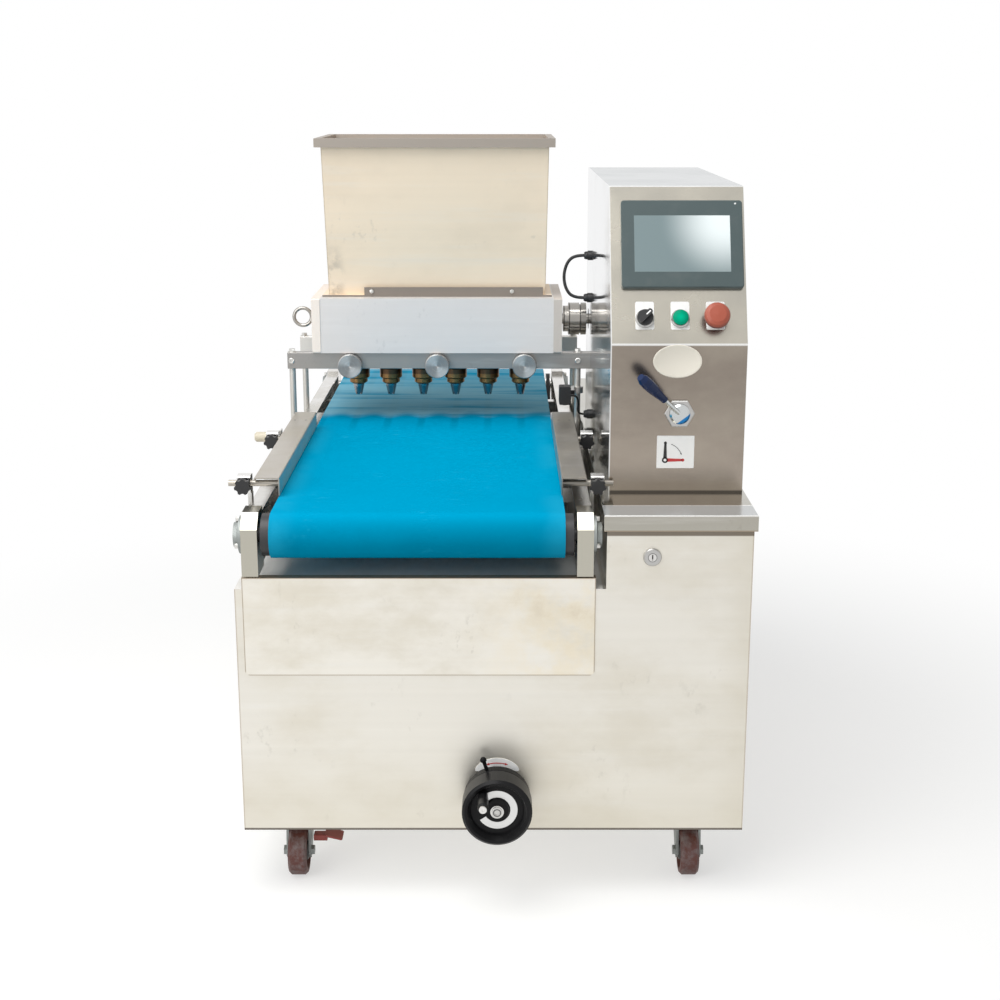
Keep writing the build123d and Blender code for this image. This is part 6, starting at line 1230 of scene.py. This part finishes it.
class MACHINE_OT_plastics(bpy.types.Operator):
    """Gives knobs, handwheel, sensors, lever and glands their moulded plastic"""

    bl_idname = "machine.plastics"
    bl_label = "Plastics"

    def execute(self, context):
        paint = finishes()
        deep = scaled_colour(paint.black, 0.6)
        knobs = [f"star_knob_{end}_{side}" for end, side in CORNERS]
        wear(moulded("satin_black", paint.black, rough=0.46), "cable_glands", "selector_knob", *knobs)
        wear(moulded("wheel_black", deep, rough=0.30, dust=0.03, metal=self.pin, gloss=0.14), "handwheel")
        wear(moulded("handle_black", deep, rough=0.30, dust=0.03, gloss=0.2), "crank_handle")
        wear(moulded("sensor_black", paint.black, 0.40, dust=0.08, metal=self.sensor_arm), "tray_sensor")
        wear(moulded("cream_moulding", paint.cream, rough=0.42, dust=0.15, metal=self.eye_strap), "beam_eye")
        wear(moulded(
            "navy_moulding", paint.navy, rough=0.22, dust=0.03, coat=0.06, metal=self.lever_rod, gloss=0.2
        ), "shift_lever")
        return {"FINISHED"}

    @staticmethod
    def pin(finish):
        """Bright head of the handle's pin."""
        return finish.below("Y", HANDLE_PIN_Y), finishes().bright

    @staticmethod
    def sensor_arm(finish):
        """Bright bracket of the tray sensor."""
        return finish.above("Y", SENSOR_BRACKET_Y), finishes().bright

    @staticmethod
    def eye_strap(finish):
        """Bright strap that holds the beam eye."""
        return finish.above("X", EYE_STRAP_X), finishes().bright

    @staticmethod
    def lever_rod(finish):
        """Steel rod and disc of the lever, with a dab of blue paint on the disc."""
        reach = finish.along(LEVER_PIVOT, LEVER_WAY)
        dab = finish.ramp(finish.along(LEVER_PIVOT, DAB_WAY), 0.0078, 0.0092)
        rod = finish.ramp(reach, LEVER_GRIP_FROM + SOFT, LEVER_GRIP_FROM - SOFT)
        return rod, finish.mix(dab, DISC_STEEL, DAB_BLUE)


class MACHINE_OT_nozzles(bpy.types.Operator):
    """Gives the nozzles browned brass nuts and dark steel cones"""

    bl_idname = "machine.nozzles"
    bl_label = "Nozzles"

    def execute(self, context):
        paint = finishes()
        wear(turned_metal("browned_brass", paint.brass, rough=0.24, tint=self.rings), "nozzle_holders")
        wear(turned_metal("tip_steel", paint.tip, rough=0.16), "nozzle_tips")
        return {"FINISHED"}

    @staticmethod
    def rings(finish, face):
        """Dark ring above the brass collar and a grey neck above the ring."""
        ring = finish.both(finish.above("Z", NUT_RING_Z, 0.0012), finish.below("Z", NUT_NECK_Z))
        neck = finish.above("Z", NUT_NECK_Z)
        return finish.layers(face, (ring, FULL, finishes().brass_dark), (neck, FULL, NECK_GREY))


class MACHINE_OT_head_knobs(bpy.types.Operator):
    """Gives the three round head knobs their turned aluminium"""

    bl_idname = "machine.head_knobs"
    bl_label = "Head knobs"

    def execute(self, context):
        for side in ("left", "middle", "right"):
            centre = joint_place(f"head_knob_{side}_turn")
            wear(self.turned(f"turned_knob_{side}", centre), f"head_knob_{side}")
        return {"FINISHED"}

    @staticmethod
    def turned(name, centre):
        """Facing marks in rings, with a painted highlight in the fan of light that they throw."""
        finish = Finish(name, metallic=0.4)
        base = scaled_colour(finishes().bright, 0.66)
        rings = finish.rings(centre, FRONT, 1500.0)
        # Painted highlight: lighter and darker colour by angle round the knob.
        parts = finish.parts_of(finish.offset_from(centre))
        angle = finish.maths("ARCTAN2", parts["Z"], parts["X"])
        fan = finish.maths("COSINE", finish.both(finish.maths("ADD", angle, 0.9), 2.0))
        shade = finish.mix(finish.ramp(fan, -0.6, 1.0), scaled_colour(base, 0.55), scaled_colour(base, 1.12))
        finish.feed("Base Color", finish.layers(shade, (rings, 0.30, scaled_colour(base, 0.6))))
        finish.feed_rough(rings, 0.10, 0.20)
        finish.bump(rings, 0.25)
        return finish.material


class MACHINE_OT_console(bpy.types.Operator):
    """Finishes the touch screen, its frame and the start and stop buttons on the console"""

    bl_idname = "machine.console"
    bl_label = "Console"

    def execute(self, context):
        paint = finishes()
        wear(moulded("slate_moulding", paint.slate, rough=0.40, dust=0.08), "screen_frame")
        wear(self.screen(paint), "screen_glass")
        wear(self.lens(paint), "start_button")
        wear(self.mushroom(paint), "stop_button")
        return {"FINISHED"}

    @staticmethod
    def screen(paint):
        """Sleeping screen with a painted reflection that brightens it to its upper right corner."""
        finish = Finish("sleeping_screen", roughness=0.10)
        glow = finish.ramp(finish.distance(on_slope(*SCREEN_CORNER)), 0.105, 0.012)
        finish.feed("Base Color", finish.mix(glow, paint.glass, SCREEN_REFLECTION))
        finish.set("Specular IOR Level", 0.3)
        smear = finish.noise(finish.place, 22.0, 4.0, 0.6)
        finish.feed_rough(finish.ramp(smear, 0.45, 0.8), 0.16, 0.10)
        return finish.material

    @staticmethod
    def lens(paint):
        """Green lens, paler in the middle and darker at its rim: painted light and shade."""
        finish = Finish("green_lens", roughness=0.16)
        radius = finish.axis_distance(on_slope(BUTTON_XS[1], BUTTON_RISE), SLOPE_OUT)
        middle, rim = scaled_colour(paint.green, 1.12), scaled_colour(paint.green, 0.74)
        finish.feed("Base Color", finish.mix(finish.ramp(radius, 0.0, LENS_RADIUS), middle, rim))
        finish.set("Specular IOR Level", 0.05)
        return finish.material

    @staticmethod
    def mushroom(paint):
        """Faded red head on a deep red neck."""
        finish = Finish("stop_red", roughness=0.36)
        grain = finish.group("moulded_grain", finish.place)
        rise = finish.along(on_slope(BUTTON_XS[2], BUTTON_RISE), SLOPE_OUT)
        head = finish.layers(paint.red, (grain["Dust"], 0.6, scaled_colour(paint.red, 1.1, 0.02)))
        finish.feed("Base Color", finish.mix(finish.ramp(rise, *STOP_HEAD_LIFT), paint.red_neck, head))
        finish.set("Specular IOR Level", 0.3)
        finish.bump(grain["Height"], 0.2)
        return finish.material


class MACHINE_OT_casters(bpy.types.Operator):
    """Gives the casters red-brown tyres on dark hubs"""

    bl_idname = "machine.casters"
    bl_label = "Casters"

    def execute(self, context):
        for end, side in CORNERS:
            centre = joint_place(f"wheel_spin_{end}_{side}")
            wear(self.tyre(f"tyre_{end}_{side}", centre), f"caster_wheel_{end}_{side}")
        return {"FINISHED"}

    @staticmethod
    def tyre(name, centre):
        """Tyre with a dusty tread round a dusty hub."""
        finish = Finish(name)
        tyre = finishes().tyre
        radius = finish.axis_distance(centre, RIGHT)
        dust = finish.noise(finish.place, 60.0, 5.0, 0.65)
        dirty = finish.ramp(dust, 0.40, 0.66)
        worn = scaled_colour(tyre, 0.6, 0.13)
        band = finish.mix(finish.both(dirty, finish.ramp(radius, *CASTER_TREAD)), tyre, worn)
        hub = finish.layers(HUB_PLASTIC, (dirty, 0.4, worn))
        finish.feed("Base Color", finish.mix(finish.ramp(radius, *CASTER_RIM), hub, band))
        finish.feed_rough(dirty, 0.2, 0.45)
        finish.bump(dust, 0.2, depth=0.0006)
        return finish.material


def add_arched_plate(bm, place, width, height, radius, thick):
    """An oval plate whose middle line is bent to a radius about its place's origin."""
    shape = bmesh.new()
    bmesh.ops.create_circle(shape, cap_ends=True, segments=72, radius=0.5)
    for vert in shape.verts:
        reach = radius + height * vert.co.y
        angle = math.pi / 2 - width * vert.co.x / radius
        vert.co = (reach * math.cos(angle), reach * math.sin(angle), 0.0)
    raise_faces(shape, thick)
    merge_shape(bm, shape, place)


def add_lever_mark(bm, place, reach, eye):
    """A small lever drawn from its place's origin along Y, with a round end and, if asked, a ring."""
    half, tip, end = 0.10 * reach, 0.062 * reach, 0.085 * reach
    root, neck = 0.10 * reach, 0.93 * reach
    add_flat(bm, place, [(-half, root), (half, root), (tip, neck), (-tip, neck)], INK)
    add_turned(bm, moved(place, 0.0, 0.96 * reach, 0.0), [(0.0, INK), (end, INK), (end, 0.0), (0.0, 0.0)], 20)
    if eye:
        add_washer(bm, place, 0.08 * reach, 0.17 * reach, INK)


def add_border(bm, place, width, height, line):
    """A hairline border on a sign."""
    shape = flat_sheet(width, height)
    inner = bmesh.ops.inset_region(shape, faces=shape.faces[:], thickness=line, use_even_offset=True)
    middle = [face for face in shape.faces if face not in inner["faces"]]
    bmesh.ops.delete(shape, geom=middle, context="FACES_ONLY")
    raise_faces(shape, 0.5 * INK)
    merge_shape(bm, shape, place)


def add_arc_arrow(bm, place, radius, start, end, half, both_ends):
    """A thin arc about its place's origin with an arrow head at its end, or at both ends."""
    add_band(bm, place, radius - half, radius + half, start, end, INK, 18)
    heads = [(end, math.copysign(1.0, end - start))]
    if both_ends:
        heads.append((start, math.copysign(1.0, start - end)))
    for angle, way in heads:
        out = Vector((math.cos(angle), math.sin(angle)))
        along = way * Vector((-math.sin(angle), math.cos(angle)))
        root = radius * out
        corners = [root + 6.5 * half * along, root + 2.8 * half * out, root - 2.8 * half * out]
        add_flat(bm, place, [tuple(corner) for corner in corners], INK)


class MACHINE_OT_signs(bpy.types.Operator):
    """Adds the blank button plates, the blank oval and the lever and handwheel signs"""

    bl_idname = "machine.signs"
    bl_label = "Signs"

    def execute(self, context):
        paint = finishes()
        white = moulded("white_sign", paint.sign, rough=0.34, dust=0.35, dust_colour=SIGN_DUST)
        ivory = moulded("ivory_label", IVORY, rough=0.30, dust=0.3, dust_colour=IVORY_DUST)
        red = moulded("sign_red_ink", paint.sign_red, rough=0.45)
        black = moulded("sign_black_ink", paint.sign_black, rough=0.45)
        self.button_plates(white)
        self.oval_label(ivory)
        self.lever_sign(white, black, red)
        self.wheel_sign(white, red)
        return {"FINISHED"}

    @staticmethod
    def button_plates(white):
        """Blank white plates behind the three buttons."""
        size = sizes()
        bm = bmesh.new()
        for x in BUTTON_XS:
            place = facing(on_slope(x, PLATE_RISE), SLOPE_OUT)
            add_plate(bm, place, size.plate, size.plate_rise, size.sign_thick, corner=0.0025)
        keep_piece("button_plates", bm, "base", white)

    @staticmethod
    def oval_label(ivory):
        """Blank oval with a raised bead along its rim."""
        size = sizes()
        shape = Matrix.Diagonal((size.oval_width / 2, size.oval_height / 2, size.sign_thick, 1.0))
        bm = bmesh.new()
        add_turned(bm, facing(OVAL_CENTRE, FRONT) @ shape, OVAL_PROFILE, 72)
        keep_piece("oval_label", bm, "base", ivory)

    @staticmethod
    def lever_sign(white, black, red):
        """White sign with an upright black lever, a level red one and the arc between them."""
        size = sizes()
        side = size.lever_sign
        centre = facing(LEVER_SIGN_CENTRE, FRONT)
        bm = bmesh.new()
        add_plate(bm, centre, 1.13 * side, side, size.sign_thick, corner=0.0012)
        keep_piece("lever_sign", bm, "base", white)
        face = moved(centre, 0.0, 0.0, size.sign_thick)
        pivot = moved(face, -0.31 * side, -0.25 * side, 0.0)
        dark = bmesh.new()
        add_lever_mark(dark, pivot, 0.55 * side, eye=True)
        add_border(dark, face, 1.05 * side, 0.92 * side, line=0.0004)
        add_arc_arrow(dark, pivot, 0.52 * side, *LEVER_ARC, 0.009 * side, both_ends=False)
        keep_piece("lever_sign_black", dark, "base", black)
        bright = bmesh.new()
        add_lever_mark(bright, pivot @ Matrix.Rotation(-math.pi / 2, 4, "Z"), 0.56 * side, eye=False)
        keep_piece("lever_sign_red", bright, "base", red)

    @staticmethod
    def wheel_sign(white, red):
        """Arched sign over the handwheel with a double arrow."""
        thick = sizes().sign_thick
        place = facing((WHEEL_AXIS.x, CABINET_FRONT_Y, WHEEL_AXIS.z), FRONT)
        bm = bmesh.new()
        add_arched_plate(bm, place, *WHEEL_SIGN, thick)
        keep_piece("wheel_sign", bm, "base", white)
        ink = bmesh.new()
        raised = moved(place, 0.0, 0.0, thick)
        add_arc_arrow(ink, raised, WHEEL_SIGN[2], *WHEEL_ARC, 0.0008, both_ends=True)
        keep_piece("wheel_sign_arrow", ink, "base", red)


class MACHINE_OT_handwheel_trim(bpy.types.Operator):
    """Adds the silver ring and the hub screw of the handwheel, and the dial's screw"""

    bl_idname = "machine.handwheel_trim"
    bl_label = "Handwheel trim"

    def execute(self, context):
        silver = turned_metal("silver_ring", RING_SILVER, 0.34, WHEEL_AXIS)
        pale = scaled_colour(finishes().bright, 0.8)
        bright = turned_metal("hub_screw", pale, 0.16, WHEEL_AXIS, tint=self.hub_ring)
        bm = bmesh.new()
        add_band(bm, facing((WHEEL_AXIS.x, WHEEL_WEB_Y, WHEEL_AXIS.z), FRONT), *WHEEL_RING)
        keep_piece("handwheel_ring", bm, "handwheel", silver)
        screw = bmesh.new()
        add_socket_screw(screw, facing((WHEEL_AXIS.x, WHEEL_CAP_Y, WHEEL_AXIS.z), FRONT), *HUB_SCREW)
        keep_piece("hub_screw", screw, "handwheel", bright)
        dial = bmesh.new()
        add_socket_screw(dial, facing(DIAL_SCREW_PLACE, FRONT), *DIAL_SCREW)
        keep_piece("dial_screw", dial, "base", bright)
        return {"FINISHED"}

    @staticmethod
    def hub_ring(finish, face):
        """Dark ring round the socket of the hub's screw."""
        ring = finish.within(finish.axis_distance(WHEEL_AXIS, BACK), 0.0046, 0.0064, 0.0002)
        return finish.layers(face, (ring, 0.85, HUB_DARK))


class MACHINE_OT_small_marks(bpy.types.Operator):
    """Adds the selector's white pointer, the start button's lens and the screen's small lamp"""

    bl_idname = "machine.small_marks"
    bl_label = "Small marks"

    def execute(self, context):
        glow = moulded("screen_lamp", LAMP_WHITE, rough=0.25, dust=0.02)
        white = moulded("white_mark", finishes().sign, rough=0.4)
        green = NODES["start_button"].material_slots[0].material
        lamp = bmesh.new()
        add_turned(lamp, facing(on_slope(*SCREEN_LAMP), SLOPE_OUT), SCREEN_LAMP_PROFILE, 16)
        keep_piece("screen_lamp", lamp, "base", glow)
        axis = on_slope(BUTTON_XS[0], BUTTON_RISE)
        top = max((vert.co - axis).dot(SLOPE_OUT) for vert in NODES["selector_knob"].data.vertices)
        bar = facing(axis + top * SLOPE_OUT, SLOPE_OUT) @ Matrix.Rotation(SELECTOR_TILT, 4, "Z")
        pointer = bmesh.new()
        add_plate(pointer, moved(bar, 0.0, POINTER_OUT, 0.0), *POINTER_SIZE)
        keep_piece("selector_pointer", pointer, "selector_knob", white)
        lens = bmesh.new()
        add_turned(lens, facing(on_slope(BUTTON_XS[1], BUTTON_RISE, LENS_LIFT), SLOPE_OUT), LENS_PROFILE)
        keep_piece("start_lens", lens, "start_button", green)
        return {"FINISHED"}


class MACHINE_OT_fasteners(bpy.types.Operator):
    """Adds the nuts, bolts and screws, and the brake pedal of the left front caster"""

    bl_idname = "machine.fasteners"
    bl_label = "Fasteners"

    def execute(self, context):
        steel = turned_metal("fastener_steel", FASTENER_STEEL, rough=0.22)
        for name, body, add_all in (
            ("head_fasteners", "base", self.head),
            ("bearing_bolts", "table", self.bearings),
            ("caster_bolts", "base", self.caster_plates),
            ("console_screws", "base", self.console_screws),
        ):
            bm = bmesh.new()
            add_all(bm, sizes())
            keep_piece(name, bm, body, steel)
        self.pedal()
        return {"FINISHED"}

    @staticmethod
    def head(bm, size):
        """Nuts on the posts, screws in the front bar and bolts in the hopper's strip."""
        for x in POST_XS:
            for y in POST_YS:
                place = facing((x, y, BAR_TOP_Z), UPWARDS, BACK)
                add_washer(bm, place, 0.45 * size.bolt, 1.35 * size.bolt, WASHER)
                add_hex_bolt(bm, moved(place, 0.0, 0.0, WASHER), size.bolt, height=0.0052)
            add_socket_screw(bm, facing((x, BAR_FRONT_Y, BAR_SCREW_Z), FRONT), 0.9 * size.bolt, height=0.0026)
        for x in STRIP_BOLT_XS:
            add_hex_bolt(bm, facing((x, STRIP_FRONT_Y, STRIP_BOLT_Z), FRONT), 0.7 * size.bolt, height=0.0034)

    @staticmethod
    def bearings(bm, size):
        """Three bolts on the flange of each drum bearing."""
        for drum in ("front", "rear"):
            axle = joint_place(f"{drum}_drum_turn")
            for seat, way in BEARING_SEATS:
                for angle in BEARING_BOLT_ANGLES:
                    y = axle.y + BEARING_BOLT_REACH * math.cos(angle)
                    z = axle.z + BEARING_BOLT_REACH * math.sin(angle)
                    add_hex_bolt(bm, facing((seat, y, z), way), 0.7 * size.bolt, height=0.0056)

    @staticmethod
    def caster_plates(bm, size):
        """Bolt heads under the four caster plates."""
        for x, y, across, along in product(CASTER_XS, CASTER_YS, CASTER_HOLE_XS, CASTER_HOLE_YS):
            place = facing((x + across, y + along, CASTER_PLATE_Z), DOWNWARDS, BACK)
            add_hex_bolt(bm, place, size.bolt, height=0.0048)

    @staticmethod
    def console_screws(bm, size):
        """Screws along the two edges of the console's back sheet."""
        low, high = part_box("console_back")
        middle = (low[2] + high[2]) / 2
        for x in (low[0] + SCREW_INSET, high[0] - SCREW_INSET):
            for z in (low[2] + SCREW_INSET, middle, high[2] - SCREW_INSET):
                add_socket_screw(bm, facing((x, high[1], z), BACK), size.screw, height=0.0020)

    @staticmethod
    def pedal():
        """Red brake pedal on the left front fork: a short arm with a foot plate."""
        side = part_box("caster_fork_front_left")[1][0]
        arm = facing((side - PEDAL_SINK, PEDAL_Y, PEDAL_Z - PEDAL_DROP), RIGHT)
        tread = facing((side + PEDAL_REACH, PEDAL_Y, PEDAL_Z), PEDAL_TILT, BACK)
        bm = bmesh.new()
        add_plate(bm, arm, *PEDAL_ARM)
        add_plate(bm, tread, *PEDAL_TREAD)
        red = moulded("pedal_red", PEDAL_RED, rough=0.42, dust=0.25)
        keep_piece("brake_pedal", bm, "caster_fork_front_left", red)


class MACHINE_PT_panel(bpy.types.Panel):
    """Lists the machine's pieces and settings"""

    bl_idname = "MACHINE_PT_panel"
    bl_label = "Biscuit machine"
    bl_space_type = "VIEW_3D"
    bl_region_type = "UI"
    bl_category = "Machine"

    def draw(self, context):
        layout = self.layout
        for operator in OPERATORS:
            layout.operator(operator.bl_idname)
        for group in SETTINGS:
            box = layout.box()
            for name in SETTINGS[group].__annotations__:
                box.prop(getattr(context.scene, group), name)


SETTINGS = {"machine_sizes": MachineSizes, "machine_finishes": MachineFinishes, "machine_stage": MachineStage}
OPERATORS = (
    MACHINE_OT_stage,
    MACHINE_OT_cables,
    MACHINE_OT_sheet_finishes,
    MACHINE_OT_metal_finishes,
    MACHINE_OT_belt,
    MACHINE_OT_plastics,
    MACHINE_OT_nozzles,
    MACHINE_OT_head_knobs,
    MACHINE_OT_console,
    MACHINE_OT_casters,
    MACHINE_OT_signs,
    MACHINE_OT_handwheel_trim,
    MACHINE_OT_small_marks,
    MACHINE_OT_fasteners,
)
CLASSES = (*SETTINGS.values(), *OPERATORS, MACHINE_PT_panel)


def register():
    """Registers the classes and hangs the settings on the scene."""
    for made in CLASSES:
        bpy.utils.register_class(made)
    for name, group in SETTINGS.items():
        setattr(bpy.types.Scene, name, PointerProperty(type=group))


def unregister():
    """Takes the settings and classes away again."""
    for name in SETTINGS:
        delattr(bpy.types.Scene, name)
    for made in reversed(CLASSES):
        bpy.utils.unregister_class(made)


def main():
    """Makes every piece in order."""
    register()
    bpy.ops.machine.stage()
    bpy.ops.machine.cables()
    bpy.ops.machine.sheet_finishes()
    bpy.ops.machine.metal_finishes()
    bpy.ops.machine.belt()
    bpy.ops.machine.plastics()
    bpy.ops.machine.nozzles()
    bpy.ops.machine.head_knobs()
    bpy.ops.machine.console()
    bpy.ops.machine.casters()
    bpy.ops.machine.signs()
    bpy.ops.machine.handwheel_trim()
    bpy.ops.machine.small_marks()
    bpy.ops.machine.fasteners()


if __name__ == "__main__":
    main()
